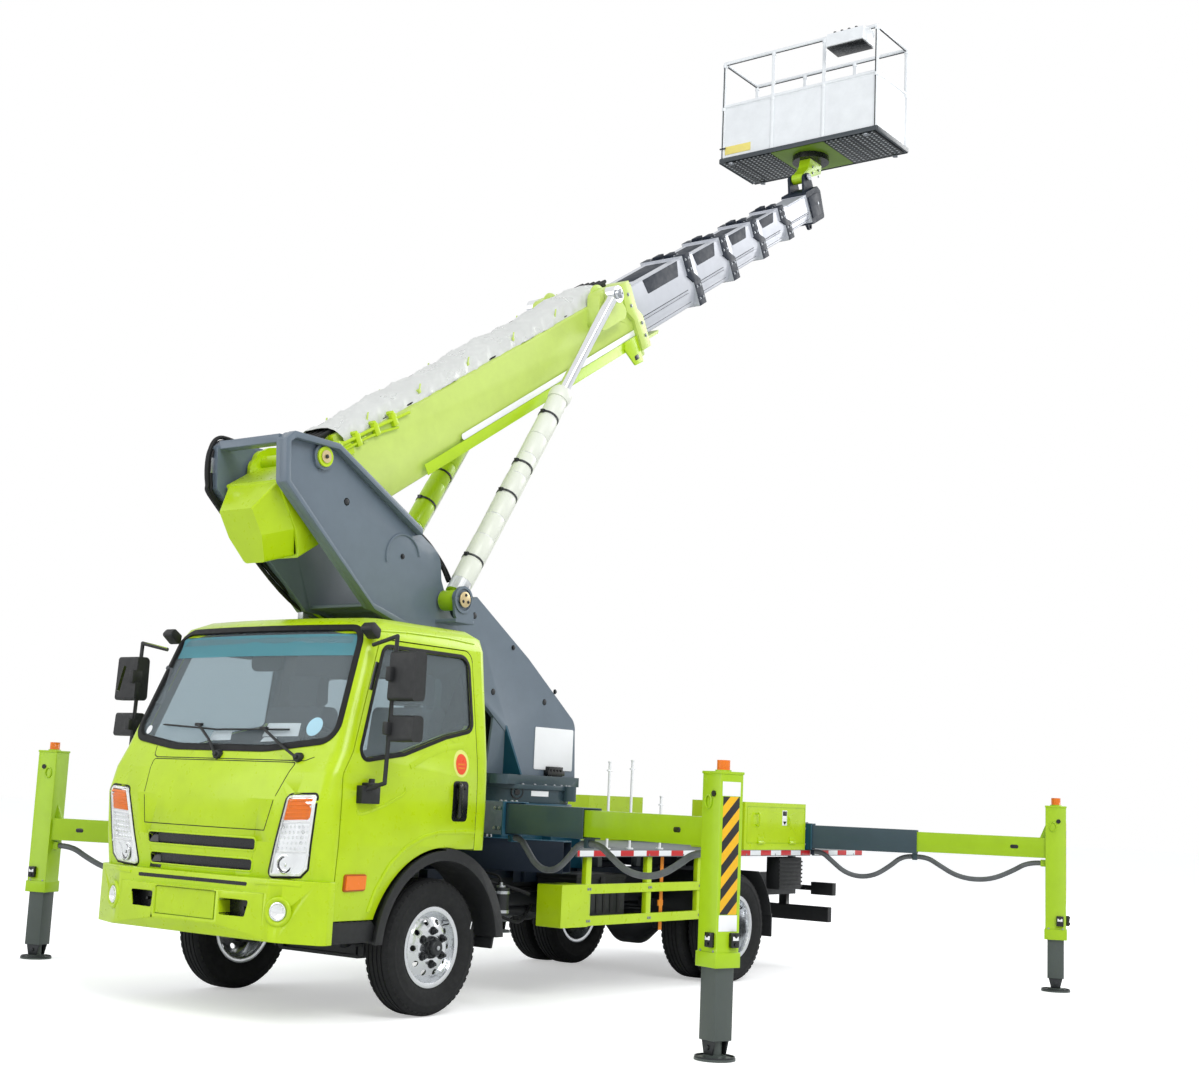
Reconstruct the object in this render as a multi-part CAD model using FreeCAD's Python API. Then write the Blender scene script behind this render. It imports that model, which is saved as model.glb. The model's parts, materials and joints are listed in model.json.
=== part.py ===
"""Truck-mounted boom lift: a light cab-over truck with splayed outriggers, turret, boom and basket.

Millimetres. While modelling, +X points forward, +Y to the vehicle's left and +Z up, with X = 0 at
the front axle, Y = 0 on the centre plane and Z = 0 on the ground. Each sub-part is written with
the origin moved to the middle of the whole vehicle's length, on the ground.
"""
import FreeCAD, Part
import math
import os

V = FreeCAD.Vector
X_AXIS, Y_AXIS, Z_AXIS = V(1, 0, 0), V(0, 1, 0), V(0, 0, 1)
SIDES = {"left": 1, "right": -1}

# ---------------------------------------------------------------- driving dimensions
WHEELBASE = 3260.0
TYRE_RADIUS = 386.0
TYRE_WIDTH = 196.0
TYRE_SIDES = 48
RIM_RADIUS = 214.0
FRONT_TYRE_Y = 782.0
REAR_OUTER_TYRE_Y = 827.0
TWIN_SPACING = 236.0
KINGPIN_Y = 640.0
HUB_RADIUS = 62.0
RIM_HOLES = 10
RIM_HOLE_CIRCLE = 146.0
RIM_HOLE_RADIUS = 17.0

RAIL_Y = 375.0
RAIL_WIDTH = 70.0
RAIL_HEIGHT = 180.0
RAIL_TOP = 730.0
RAIL_FRONT_X = 960.0
RAIL_REAR_X = -5080.0
RAIL_WALL = 8.0

CAB_WALL = 48.0
CAB_REAR_X = -376.0
ARCH_RADIUS = 560.0
FLARE_RADIUS = 490.0
DOOR_GAP = 6.0
DOOR_INNER_Y = 745.0
ARCH_TOP_Z = 935.0
GLASS_THICKNESS = 6.0

BUMPER_FRONT_X = 1100.0
BUMPER_LOW_Z = 440.0
BUMPER_TOP_Z = 768.0

DECK_FRONT_X = -2120.0
DECK_REAR_X = -5150.0
DECK_HALF_WIDTH = 930.0
DECK_TOP = 938.0
DECK_THICKNESS = 45.0
SEAM = 0.3

BEAM_WALL = 8.0
BEAM_CLEARANCE = 5.0
STAGE1_HEIGHT = 175.0
STAGE1_WIDTH = 130.0
LEG_WIDTH = 148.0
LEG_WALL = 9.0
LEG_LENGTH = 975.0
JACK_WIDTH = 118.0
FOOT_HEIGHT = 26.0
FOOT_RADIUS = 105.0
PAD_GAP = 0.3
HOSE_RADIUS = 19.0
HOSE_DROP = -STAGE1_HEIGHT / 2 - HOSE_RADIUS - 7

SLEW_X = -1550.0
RING_RADIUS = 500.0
RING_LOW_Z = 1215.0
RING_HEIGHT = 120.0
RING_GAP = 0.3
BASE_PLATE_TOP = 1398.0
ARM_PLATE_Y = 250.0
ARM_PLATE_THICKNESS = 30.0

PIVOT_X = 560.0
PIVOT_Z = 3190.0
BOOM_ELEVATION_DEG = 32.0
BOOM_AXIS_DROP = 250.0
BOOM_WALL = 8.0
BASE_HEIGHT = 470.0
BASE_WIDTH = 420.0
BASE_TAIL_S = -330.0
BASE_COLLAR_S = 3710.0
PIVOT_PIN_RADIUS = 45.0
PIVOT_BOSS = 22.0

FOOT_PIN_X = -580.0
FOOT_PIN_Z = 2470.0
LIFT_LANE_Y = 360.0
LIFT_PIN_S = 3240.0
LIFT_PIN_T = 10.0
BARREL_RADIUS = 68.0
ROD_RADIUS = 42.0
BARREL_LENGTH = 1890.0
ROD_TIP = 840.0

BASKET_X = -5700.0
BASKET_FLOOR_Z = 7260.0
BASKET_LENGTH = 1650.0
BASKET_WIDTH = 640.0
BASKET_HEIGHT = 1010.0
RAIL_TUBE_RADIUS = 17.0

BASKET_REAR_X = BASKET_X - 30.0 - BASKET_WIDTH / 2
ORIGIN_X = (BUMPER_FRONT_X + BASKET_REAR_X) / 2


# ---------------------------------------------------------------- helpers
def box(x0, x1, y0, y1, z0, z1):
    """Block between two corners."""
    corner = V(min(x0, x1), min(y0, y1), min(z0, z1))
    return Part.makeBox(abs(x1 - x0), abs(y1 - y0), abs(z1 - z0), corner)


def cyl(radius, start, end):
    """Round bar between two points."""
    start, end = V(*start), V(*end)
    return Part.makeCylinder(radius, (end - start).Length, start, end - start)


def fuse(shapes):
    """One shape from a list that touches or overlaps."""
    shapes = list(shapes)
    if len(shapes) == 1:
        return shapes[0]
    return shapes[0].multiFuse(shapes[1:]).removeSplitter()


def group(shapes):
    """Separate solids kept in one shape."""
    solids = []
    for shape in shapes:
        solids.extend(shape.Solids)
    return Part.makeCompound(solids)


def mirrored(shape):
    """Copy on the other side of the centre plane."""
    return shape.mirror(V(0, 0, 0), Y_AXIS)


def both_sides(shape):
    """A left shape with its right copy, as separate solids."""
    return group([shape, mirrored(shape)])


def point_on(plane, u, v, w):
    """Point with in-plane coordinates u, v and the third coordinate w."""
    return {"XZ": V(u, w, v), "XY": V(u, v, w), "YZ": V(w, u, v)}[plane]


def outline(points, plane, w):
    """Closed wire through (u, v) or (u, v, corner radius) points."""
    corners = [point_on(plane, p[0], p[1], w) for p in points]
    radii = [p[2] if len(p) > 2 else 0.0 for p in points]
    count = len(points)
    starts, ends, middles = [], [], []
    for i, corner in enumerate(corners):
        before, after = corners[i - 1] - corner, corners[(i + 1) % count] - corner
        turn = before.getAngle(after)
        if radii[i] > 0 and turn < math.pi - 1e-3:
            cut = min(radii[i] / math.tan(turn / 2), 0.49 * min(before.Length, after.Length))
            radius = cut * math.tan(turn / 2)
            before.normalize()
            after.normalize()
            inward = (before + after).normalize()
            starts.append(corner + before * cut)
            ends.append(corner + after * cut)
            middles.append(corner + inward * (radius / math.sin(turn / 2) - radius))
        else:
            starts.append(corner)
            ends.append(corner)
            middles.append(None)
    edges = []
    for i in range(count):
        if middles[i] is not None:
            edges.append(Part.Arc(starts[i], middles[i], ends[i]).toShape())
        following = starts[(i + 1) % count]
        if (following - ends[i]).Length > 1e-3:
            edges.append(Part.LineSegment(ends[i], following).toShape())
    return Part.Wire(edges)


def slab(points, plane, low, high):
    """Outline of rounded corners pushed from low to high along its normal."""
    depth = {"XZ": V(0, high - low, 0), "XY": V(0, 0, high - low), "YZ": V(high - low, 0, 0)}[plane]
    return Part.Face(outline(points, plane, low)).extrude(depth)


def tube(outer, inner, start, end):
    """Round tube between two points."""
    return cyl(outer, start, end).cut(cyl(inner, start, end))


def turned(shape, point, axis, angle):
    """Copy of a shape turned about an axis."""
    copy = shape.copy()
    copy.rotate(V(*point), axis, angle)
    return copy


def moved(shape, dx=0.0, dy=0.0, dz=0.0):
    """Copy of a shape moved by an offset."""
    copy = shape.copy()
    copy.translate(V(dx, dy, dz))
    return copy


def spun(points, x, y, z):
    """Body of revolution about a Y-parallel axis from (radius, y offset, corner radius) points."""
    profile = [(p[0], p[1]) + tuple(p[2:]) for p in points]
    face = Part.Face(outline(profile, "XY", 0.0))
    body = face.revolve(V(0, 0, 0), Y_AXIS, 360)
    return moved(body, x, y, z)


# ---------------------------------------------------------------- wheels and axles
def tyre(x, y):
    """Tyre as a faceted ring, open at its rim, one corner line on the ground."""
    half = TYRE_WIDTH / 2
    bead = (RIM_RADIUS + 0.3) / math.cos(math.pi / TYRE_SIDES)
    profile = [
        (bead, -half * 0.7), (RIM_RADIUS + 26, -half * 0.735), (300, -half), (366, -half * 0.96),
        (TYRE_RADIUS, -half * 0.6),
    ]
    profile += [(radius, -offset) for radius, offset in reversed(profile)]
    rings = []
    for i in range(TYRE_SIDES):
        angle = 2 * math.pi * i / TYRE_SIDES - math.pi / 2
        rings.append([V(x + radius * math.cos(angle), y + offset,
                        TYRE_RADIUS + radius * math.sin(angle)) for radius, offset in profile])
    faces, count = [], len(profile)
    for i in range(TYRE_SIDES):
        near, far = rings[i], rings[(i + 1) % TYRE_SIDES]
        for j in range(count):
            k = (j + 1) % count
            faces.append(Part.Face(Part.makePolygon([near[j], near[k], far[k], far[j], near[j]])))
    solid = Part.Solid(Part.Shell(faces))
    if solid.Volume < 0:
        solid.reverse()
    return solid


def rim(x, y, side, seat, face):
    """Disc wheel: rim well and a dished disc from the well at y + seat to the hub at y + face."""
    half = TYRE_WIDTH / 2 * 0.72
    outer = RIM_RADIUS
    barrel = [
        (outer + 14, -half - 10), (outer + 14, -half - 2), (outer, -half), (outer, half),
        (outer + 14, half + 2), (outer + 14, half + 10), (outer - 12, half + 8),
        (outer - 22, half - 30), (outer - 22, -half + 30), (outer - 12, -half - 8),
    ]
    wall = 9.0
    disc = [
        (HUB_RADIUS, face), (HUB_RADIUS + 56, face), (outer - 48, (seat + face) / 2),
        (outer - 20, seat), (outer - 20, seat - wall), (outer - 50, (seat + face) / 2 - wall),
        (HUB_RADIUS + 58, face - wall), (HUB_RADIUS, face - wall),
    ]
    disc = [(p[0], side * p[1]) + tuple(p[2:]) for p in disc]
    body = fuse([spun(barrel, x, y, TYRE_RADIUS), spun(disc, x, y, TYRE_RADIUS)])
    holes = []
    for i in range(RIM_HOLES):
        angle = 2 * math.pi * i / RIM_HOLES
        hole_x = x + RIM_HOLE_CIRCLE * math.cos(angle)
        hole_z = TYRE_RADIUS + RIM_HOLE_CIRCLE * math.sin(angle)
        holes.append(cyl(RIM_HOLE_RADIUS, (hole_x, y - 160, hole_z), (hole_x, y + 160, hole_z)))
    return body.cut(Part.makeCompound(holes))


def front_wheel(side):
    """Tyre and rim of one front wheel."""
    y = side * FRONT_TYRE_Y
    return tyre(0, y), rim(0, y, side, 40, 82)


def rear_wheels(side):
    """Twin tyres and the two rims bolted back to back."""
    outer_y = side * REAR_OUTER_TYRE_Y
    inner_y = side * (REAR_OUTER_TYRE_Y - TWIN_SPACING)
    tyres = group([tyre(-WHEELBASE, outer_y), tyre(-WHEELBASE, inner_y)])
    meet = TWIN_SPACING / 2
    outer_rim = rim(-WHEELBASE, outer_y, side, -38, 9 - meet)
    inner_rim = rim(-WHEELBASE, inner_y, side, 38 + 9, meet)
    return tyres, fuse([outer_rim, inner_rim])


def knuckle(side):
    """Steering knuckle: kingpin barrel, stub axle with hub flange and steering arm."""
    z = TYRE_RADIUS
    kingpin = cyl(34, (0, side * KINGPIN_Y, z - 95), (0, side * KINGPIN_Y, z + 95))
    gap = cyl(60, (0, side * KINGPIN_Y, z - 45.3), (0, side * KINGPIN_Y, z + 45.3))
    yoke_back = box(-42, 42, side * (KINGPIN_Y + 64), side * (KINGPIN_Y + 96), z - 95, z + 95)
    yoke_low = box(-36, 36, side * KINGPIN_Y, side * (KINGPIN_Y + 70), z - 95, z - 52)
    yoke_high = box(-36, 36, side * KINGPIN_Y, side * (KINGPIN_Y + 70), z + 52, z + 95)
    stub = cyl(44, (0, side * (KINGPIN_Y + 90), z), (0, side * (FRONT_TYRE_Y + 60), z))
    hub = cyl(HUB_RADIUS - 0.3, (0, side * (FRONT_TYRE_Y + 30), z), (0, side * (FRONT_TYRE_Y + 90), z))
    arm = box(-170, -30, side * (KINGPIN_Y - 20), side * (KINGPIN_Y + 20), z - 95, z - 65)
    body = fuse([kingpin.cut(gap), yoke_back, yoke_low, yoke_high, stub, hub, arm])
    return body


def axles():
    """Front beam and rear casing, each with its pair of leaf springs."""
    z = TYRE_RADIUS
    half = KINGPIN_Y
    beam_points = [
        (-half + 40, z + 40), (-half + 40, z - 40), (-430, z - 48, 60), (-330, z - 110, 60),
        (330, z - 110, 60), (430, z - 48, 60), (half - 40, z - 40), (half - 40, z + 40),
        (430, z + 32, 60), (330, z - 30, 60), (-330, z - 30, 60), (-430, z + 32, 60),
    ]
    beam = slab(beam_points, "YZ", -34, 34)
    web = 14.0
    for face in (1, -1):
        pocket = [(-300, z - 92, 10), (300, z - 92, 10), (300, z - 48, 10), (-300, z - 48, 10)]
        beam = beam.cut(slab(pocket, "YZ", face * web, face * 40))
    eyes = [cyl(44, (0, s * half, z - 45), (0, s * half, z + 45)) for s in (1, -1)]
    eye_bores = [cyl(34.3, (0, s * half, z - 60), (0, s * half, z + 60)) for s in (1, -1)]
    front = fuse([beam] + eyes)
    for bore in eye_bores:
        front = front.cut(bore)
    front = fuse([front] + [leaf_spring(0.0, s, z - 30, 640) for s in (1, -1)])
    outer = REAR_OUTER_TYRE_Y - TWIN_SPACING / 2 + 110
    casing = [
        (0, -outer), (HUB_RADIUS, -outer), (HUB_RADIUS, -430, 40), (74, -230, 60), (185, -90, 90),
        (185, 90, 90), (74, 230, 60), (HUB_RADIUS, 430, 40), (HUB_RADIUS, outer), (0, outer),
    ]
    rear = spun(casing, -WHEELBASE, 0, z)
    rear = fuse([rear] + [leaf_spring(-WHEELBASE, s, z + 40, 760) for s in (1, -1)])
    return group([front, rear])


def leaf_spring(x, side, z, half_length):
    """Stack of leaves with rolled eyes under one frame rail."""
    y0, y1 = side * (RAIL_Y - 68), side * (RAIL_Y - 4)
    rise = 60
    leaves = []
    for i in range(4):
        reach = half_length * (1 - 0.22 * i)
        low = z + 6 + 13 * (3 - i)
        lift = rise * (reach / half_length) ** 2
        points = [
            (x - reach, low + lift), (x, low, 4000), (x + reach, low + lift),
            (x + reach, low + lift + 13.2), (x, low + 13.2, 4000), (x - reach, low + lift + 13.2),
        ]
        leaves.append(slab(points, "XZ", min(y0, y1), max(y0, y1)))
    clamp = box(x - 52, x + 52, y0, y1, z - 10, z + 6 + 13 * 4 + 30)
    bracket_low = z + 6 + 13 * 3 + rise
    hangers = []
    for end in (1, -1):
        hx = x + end * (half_length - 25)
        hangers.append(box(hx - 30, hx + 30, y0, y1, bracket_low, RAIL_TOP - RAIL_HEIGHT))
    return fuse(leaves + [clamp] + hangers)


def chassis_frame():
    """Ladder frame: two channel rails, cross members, tanks and spare brackets."""
    low, high = RAIL_TOP - RAIL_HEIGHT, RAIL_TOP
    rail = box(RAIL_REAR_X, RAIL_FRONT_X, RAIL_Y - RAIL_WIDTH, RAIL_Y, low, high)
    hollow = box(RAIL_REAR_X - 1, RAIL_FRONT_X + 1, RAIL_Y - RAIL_WIDTH - 1, RAIL_Y - RAIL_WALL,
                 low + RAIL_WALL, high - RAIL_WALL)
    rail = rail.cut(hollow)
    members = []
    for x in (900, 420, -620, -1500, -2500, -4200, -5020):
        members.append(box(x - 40, x + 40, -RAIL_Y + RAIL_WALL, RAIL_Y - RAIL_WALL,
                           low + 30, high - 30))
    tank = slab([(-1450, 470, 60), (-2250, 470, 60), (-2250, 740, 40), (-1450, 740, 40)],
                "XZ", -820, -450)
    tank_arms = [box(x - 20, x + 20, -460, -RAIL_Y, 560, 640) for x in (-1600, -2080)]
    battery = slab([(-1500, 480, 20), (-2050, 480, 20), (-2050, 760, 20), (-1500, 760, 20)],
                   "XZ", 440, 760)
    battery_arm = box(-1800, -1750, RAIL_Y, 445, 560, 640)
    bottles = []
    for x in (-760, -900):
        bottles.append(cyl(55, (x, 620, 520), (x, 620, 690)))
        bottles.append(box(x - 20, x + 20, RAIL_Y, 590, 590, 620))
    pieces = [rail, mirrored(rail)] + members + [tank, battery, battery_arm] + tank_arms + bottles
    return fuse(pieces)


def engine_block():
    """Plain block of the engine's size, between the rails under the cab."""
    return box(-560, 300, -270, 270, 470, 900)


# ---------------------------------------------------------------- cab
# z, front x at the centre, half width, rear x, front corner radius
CAB_SECTIONS = [
    (560, 1000, 896, CAB_REAR_X, 84),
    (960, 1036, 922, CAB_REAR_X, 84),
    (1190, 1048, 926, CAB_REAR_X, 84),
    (1340, 1006, 922, CAB_REAR_X - 2, 84),
    (1455, 944, 914, CAB_REAR_X - 5, 84),
    (2110, 690, 822, CAB_REAR_X - 26, 80),
    (2185, 645, 790, CAB_REAR_X - 26, 86),
    (2232, 560, 716, CAB_REAR_X + 20, 110),
    (2252, 400, 560, CAB_REAR_X + 130, 120),
]
CAB_CROWN = 62.0


def cab_section(z, front, half, rear, corner, inset):
    """Plan outline of the cab at one height, moved inwards by the inset."""
    front, half, rear = front - inset, half - inset, rear + inset
    corner = max(corner - inset, 25)
    rear_corner = max(60 - inset, 12)
    edge = front - CAB_CROWN
    slant = 1 - math.sqrt(0.5)
    points = {
        "front": V(front, 0, z),
        "front_left": V(edge, half - corner, z), "front_right": V(edge, -half + corner, z),
        "corner_left": V(edge - corner * slant, half - corner * slant, z),
        "corner_right": V(edge - corner * slant, -half + corner * slant, z),
        "side_left": V(edge - corner, half, z), "side_right": V(edge - corner, -half, z),
        "back_left": V(rear + rear_corner, half, z), "back_right": V(rear + rear_corner, -half, z),
        "turn_left": V(rear + rear_corner * slant, half - rear_corner * slant, z),
        "turn_right": V(rear + rear_corner * slant, -half + rear_corner * slant, z),
        "rear_left": V(rear, half - rear_corner, z), "rear_right": V(rear, -half + rear_corner, z),
    }
    p = points
    return Part.Wire([
        Part.Arc(p["front_right"], p["front"], p["front_left"]).toShape(),
        Part.Arc(p["front_left"], p["corner_left"], p["side_left"]).toShape(),
        Part.LineSegment(p["side_left"], p["back_left"]).toShape(),
        Part.Arc(p["back_left"], p["turn_left"], p["rear_left"]).toShape(),
        Part.LineSegment(p["rear_left"], p["rear_right"]).toShape(),
        Part.Arc(p["rear_right"], p["turn_right"], p["back_right"]).toShape(),
        Part.LineSegment(p["back_right"], p["side_right"]).toShape(),
        Part.Arc(p["side_right"], p["corner_right"], p["front_right"]).toShape(),
    ])


def cab_volume(inset):
    """Solid of the cab's outer form, moved inwards by the inset."""
    sections = []
    for z, front, half, rear, corner in CAB_SECTIONS:
        if z == CAB_SECTIONS[0][0]:
            level = z
        else:
            level = z - inset * (z - 560) / (2252 - 560)
        sections.append(cab_section(level, front, half, rear, corner, inset))
    return Part.makeLoft(sections, True, True)


DOOR_OUTLINE = [
    (866, 540), (866, 1340, 40), (790, 1465, 40), (540, 2108, 70), (-262, 2108, 70), (-262, 540),
]
DOOR_WINDOW = [
    (736, 1425, 40), (380, 1478, 60), (20, 1590, 60), (-215, 1640, 50), (-215, 2056, 60),
    (500, 2056, 60),
]
WINDSCREEN_OUTLINE = [
    (-818, 1535, 80), (-380, 1478, 900), (380, 1478, 900), (818, 1535, 80),
    (738, 2150, 90), (-738, 2150, 90),
]
REAR_WINDOW_OUTLINE = [(-520, 1500, 60), (520, 1500, 60), (520, 1960, 60), (-520, 1960, 60)]
LAMP_OUTLINE = [(545, 772, 25), (705, 772, 30), (842, 1218, 25), (682, 1222, 40)]


def shrunk(points, plane, low, high, gap):
    """Slab whose outline is moved inwards by a gap."""
    wire = outline(points, plane, low).makeOffset2D(-gap, 0, False, False, True)
    depth = {"XZ": V(0, high - low, 0), "XY": V(0, 0, high - low), "YZ": V(high - low, 0, 0)}[plane]
    return Part.Face(wire).extrude(depth)


def cab_parts():
    """Cab shell, glass, doors, door glass and lamps, all cut from the same outer form."""
    outer = cab_volume(0)
    shell = outer.cut(cab_volume(CAB_WALL))
    floor_low, toe_low = 900.7, 775.0
    floor = cab_volume(CAB_WALL - 2).common(
        slab([(CAB_REAR_X, floor_low), (300, floor_low), (500, toe_low), (1000, toe_low),
              (1000, toe_low + 45), (520, toe_low + 45), (320, floor_low + 50),
              (CAB_REAR_X, floor_low + 50)], "XZ", -1000, 1000))
    shell = shell.fuse(floor).cut(box(866, 1200, -1200, 1200, 0, BUMPER_TOP_Z + 0.3))
    arch = cyl(ARCH_RADIUS, (0, -1200, TYRE_RADIUS), (0, 1200, TYRE_RADIUS))
    below = box(-1000, 10, -1200, 1200, 0, ARCH_TOP_Z)
    shell = shell.cut(arch).cut(below)
    for side in (1, -1):
        low, high = (DOOR_INNER_Y, 1200) if side > 0 else (-1200, -DOOR_INNER_Y)
        shell = shell.cut(slab(DOOR_OUTLINE, "XZ", low, high))
        lamp_points = [(side * p[0],) + tuple(p[1:]) for p in LAMP_OUTLINE]
        shell = shell.cut(slab(lamp_points, "YZ", 700, 1300))
    shell = shell.cut(slab(WINDSCREEN_OUTLINE, "YZ", 560, 1300))
    shell = shell.cut(slab(REAR_WINDOW_OUTLINE, "YZ", CAB_REAR_X - 100, CAB_REAR_X + 100))
    # grille: half width, centre z, height of each slot
    for half, z, height in ((438, 942, 58), (414, 830, 56), (446, 731, 20)):
        slot = slab([(-half, z - height / 2, 16), (half, z - height / 2, 16),
                     (half + 8, z + height / 2, 16), (-half - 8, z + height / 2, 16)],
                    "YZ", 900, 1200)
        shell = shell.cut(slot.cut(cab_volume(CAB_WALL - 12)))
    lamps = []
    lamp_skin = cab_volume(-7).cut(cab_volume(CAB_WALL - 4))
    for side in (1, -1):
        lamp_points = [(side * p[0],) + tuple(p[1:]) for p in LAMP_OUTLINE]
        lamps.append(lamp_skin.common(shrunk(lamp_points, "YZ", 700, 1300, 0.5)))
    pane = cab_volume(10).cut(cab_volume(10 + GLASS_THICKNESS))
    glass = [
        pane.common(shrunk(WINDSCREEN_OUTLINE, "YZ", 560, 1300, 1.0)),
        pane.common(shrunk(REAR_WINDOW_OUTLINE, "YZ", CAB_REAR_X - 100, CAB_REAR_X + 100, 1.0)),
    ]
    door_wall = outer.cut(cab_volume(CAB_WALL))
    door = door_wall.common(shrunk(DOOR_OUTLINE, "XZ", DOOR_INNER_Y, 1200, DOOR_GAP))
    door = door.cut(cyl(ARCH_RADIUS + 4, (0, 0, TYRE_RADIUS), (0, 1200, TYRE_RADIUS)))
    door = door.cut(box(-1000, 10, 0, 1200, 0, ARCH_TOP_Z + DOOR_GAP))
    door = door.cut(slab(DOOR_WINDOW, "XZ", 0, 1200))
    door = fuse([door] + mirror_set(1))
    windows = {"left": pane.common(shrunk(DOOR_WINDOW, "XZ", DOOR_INNER_Y, 1200, 0.5)),
               "right": pane.common(shrunk(DOOR_WINDOW, "XZ", -1200, -DOOR_INNER_Y, 0.5))}
    doors = {"left": door, "right": mirrored(door)}
    return shell, group(glass), doors, windows, group(lamps)


def mirror_set(side):
    """Door mirror: bent tube arm on two feet with a large and a small mirror head."""
    arm_y = 1075.0
    points = [(640, 870, 2060), (668, arm_y, 2100), (700, arm_y, 1300), (730, 905, 1245)]
    points = [(p[0], side * p[1], p[2]) for p in points]
    pieces = []
    for start, end in zip(points[:-1], points[1:]):
        pieces.append(cyl(12, start, end))
    for point in points[1:-1]:
        pieces.append(Part.makeSphere(12.2, V(*point)))
    for z0, z1, depth in ((1745, 2015, 62), (1525, 1668, 50)):
        y0, y1 = side * (arm_y - 12), side * (arm_y + 175)
        head = slab([(610, z0, 30), (610 + depth + 40, z0, 20), (610 + depth + 30, z1, 20),
                     (610, z1, 30)], "XZ", min(y0, y1), max(y0, y1))
        pieces.append(head)
    return pieces


def arch_flares():
    """Black arch flares over the front wheels with their mudflaps and the cab steps."""
    z = TYRE_RADIUS
    ring = cyl(ARCH_RADIUS - 0.4, (0, 640, z), (0, 934, z))
    ring = ring.cut(cyl(FLARE_RADIUS, (0, 600, z), (0, 1000, z)))
    ring = ring.cut(box(-700, 700, 600, 1000, -300, z + 40))
    hollow = cyl(ARCH_RADIUS - 14, (0, 600, z), (0, 905, z)).cut(
        cyl(FLARE_RADIUS + 10, (0, 600, z), (0, 1000, z)))
    ring = ring.cut(hollow.cut(box(-700, 700, 590, 650, -300, 2000)))
    for radius, outer_y in ((ARCH_RADIUS - 52, 880), (ARCH_RADIUS - 14, 1000)):
        swing = tube(ARCH_RADIUS + 10, radius, (0, 600, z), (0, outer_y, z))
        ring = ring.cut(swing.common(box(0, 700, 600, 1000, z, 1200)))
    flap = slab([(-FLARE_RADIUS - 30, z + 60), (-FLARE_RADIUS - 12, z + 60), (-FLARE_RADIUS + 6, 360),
                 (-FLARE_RADIUS - 12, 360)], "XZ", 660, 900)
    step = slab([(505, 440, 20), (860, 440, 40), (860, 553), (546, 553, 10), (520, 520, 20)],
                "XZ", 640, 900)
    step = step.cut(box(560, 840, 700, 905, 470, 530))
    inner = box(500, 560, 640, 720, 430, 700)
    return both_sides(fuse([ring, flap])), step, inner


def front_bumper():
    """Bumper with recessed plate area, two square openings and lamp wells."""
    half, depth = 930.0, 150.0
    points = [
        (BUMPER_FRONT_X - 40, -640, 500), (BUMPER_FRONT_X, -250, 900), (BUMPER_FRONT_X, 250, 900),
        (BUMPER_FRONT_X - 40, 640, 500), (BUMPER_FRONT_X - 150, half, 110), (874, half),
        (874, half - 40), (BUMPER_FRONT_X - 200, half - 60, 90), (BUMPER_FRONT_X - depth, 600),
        (BUMPER_FRONT_X - depth, -600), (BUMPER_FRONT_X - 200, -half + 60, 90),
        (874, -half + 40), (874, -half), (BUMPER_FRONT_X - 150, -half, 110),
    ]
    body = slab(points, "XY", BUMPER_LOW_Z, BUMPER_TOP_Z)
    wedge = slab([(900, 700), (1062, BUMPER_TOP_Z), (1200, BUMPER_TOP_Z + 20), (1200, 640),
                  (BUMPER_FRONT_X + 1, 690)], "XZ", -1000, 1000)
    low_wedge = slab([(1000, BUMPER_LOW_Z - 20), (1050, BUMPER_LOW_Z), (BUMPER_FRONT_X + 1, 510),
                      (1200, 510), (1200, BUMPER_LOW_Z - 20)], "XZ", -1000, 1000)
    body = body.cut(wedge.common(box(1062, 1300, -1000, 1000, 0, 1000))).cut(low_wedge)
    body = body.cut(box(BUMPER_FRONT_X - 12, 1200, -252, 252, 528, 682))
    body = body.cut(box(0, 1200, -RAIL_Y - 10, -RAIL_Y + 90, 500, 740).common(
        box(0, 960.3, -2000, 2000, 0, 2000)))
    body = body.cut(box(0, 960.3, RAIL_Y - 90, RAIL_Y + 10, 500, 740))
    for side in (1, -1):
        body = body.cut(slab([(side * 284, 560, 12), (side * 462, 560, 12), (side * 486, 648, 12),
                              (side * 272, 648, 12)], "YZ", 1010, 1200))
        well = cyl(52, (1000, side * 682, 602), (1200, side * 682, 602))
        body = body.cut(well.cut(cyl(44, (900, side * 682, 602), (1052, side * 682, 602))))
    return body


def cab_interior():
    """Dashboard shelf and two seats."""
    dash = slab([(560, 952), (955, 952), (925, 1360, 60), (600, 1400, 60), (560, 1300, 40)],
                "XZ", -830, 830)
    dash = dash.common(cab_volume(CAB_WALL + 0.4)).cut(engine_hood())
    cx, cy, cz = STEERING_CENTRE
    shroud = cyl(34, (cx, cy, cz - 118.4), (cx, cy, cz - 250))
    dash = fuse([dash, turned(shroud, STEERING_CENTRE, Y_AXIS, -STEERING_TILT_DEG)])
    seats = []
    for y in (450, -450):
        cushion = slab([(-40, 1085, 20), (440, 1085, 40), (460, 1230, 50), (-40, 1190, 20)],
                       "XZ", y - 245, y + 245)
        base = box(0, 380, y - 200, y + 200, 951, 1085)
        back = slab([(-150, 1130, 30), (10, 1130, 40), (-75, 1760, 50), (-215, 1760, 50)],
                    "XZ", y - 235, y + 235)
        rest = slab([(-220, 1775, 30), (-120, 1775, 30), (-130, 1960, 40), (-215, 1960, 40)],
                    "XZ", y - 130, y + 130)
        neck = box(-185, -160, y - 60, y + 60, 1750, 1790)
        seats.append(fuse([cushion, base, back, rest, neck]))
    return group([dash] + seats)


def engine_hood():
    """Space taken by the wheel wells under the dashboard."""
    return cyl(ARCH_RADIUS + 40, (0, -1000, TYRE_RADIUS), (0, 1000, TYRE_RADIUS))


STEERING_CENTRE = (470.0, 450.0, 1470.0)
STEERING_TILT_DEG = 38.0


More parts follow.
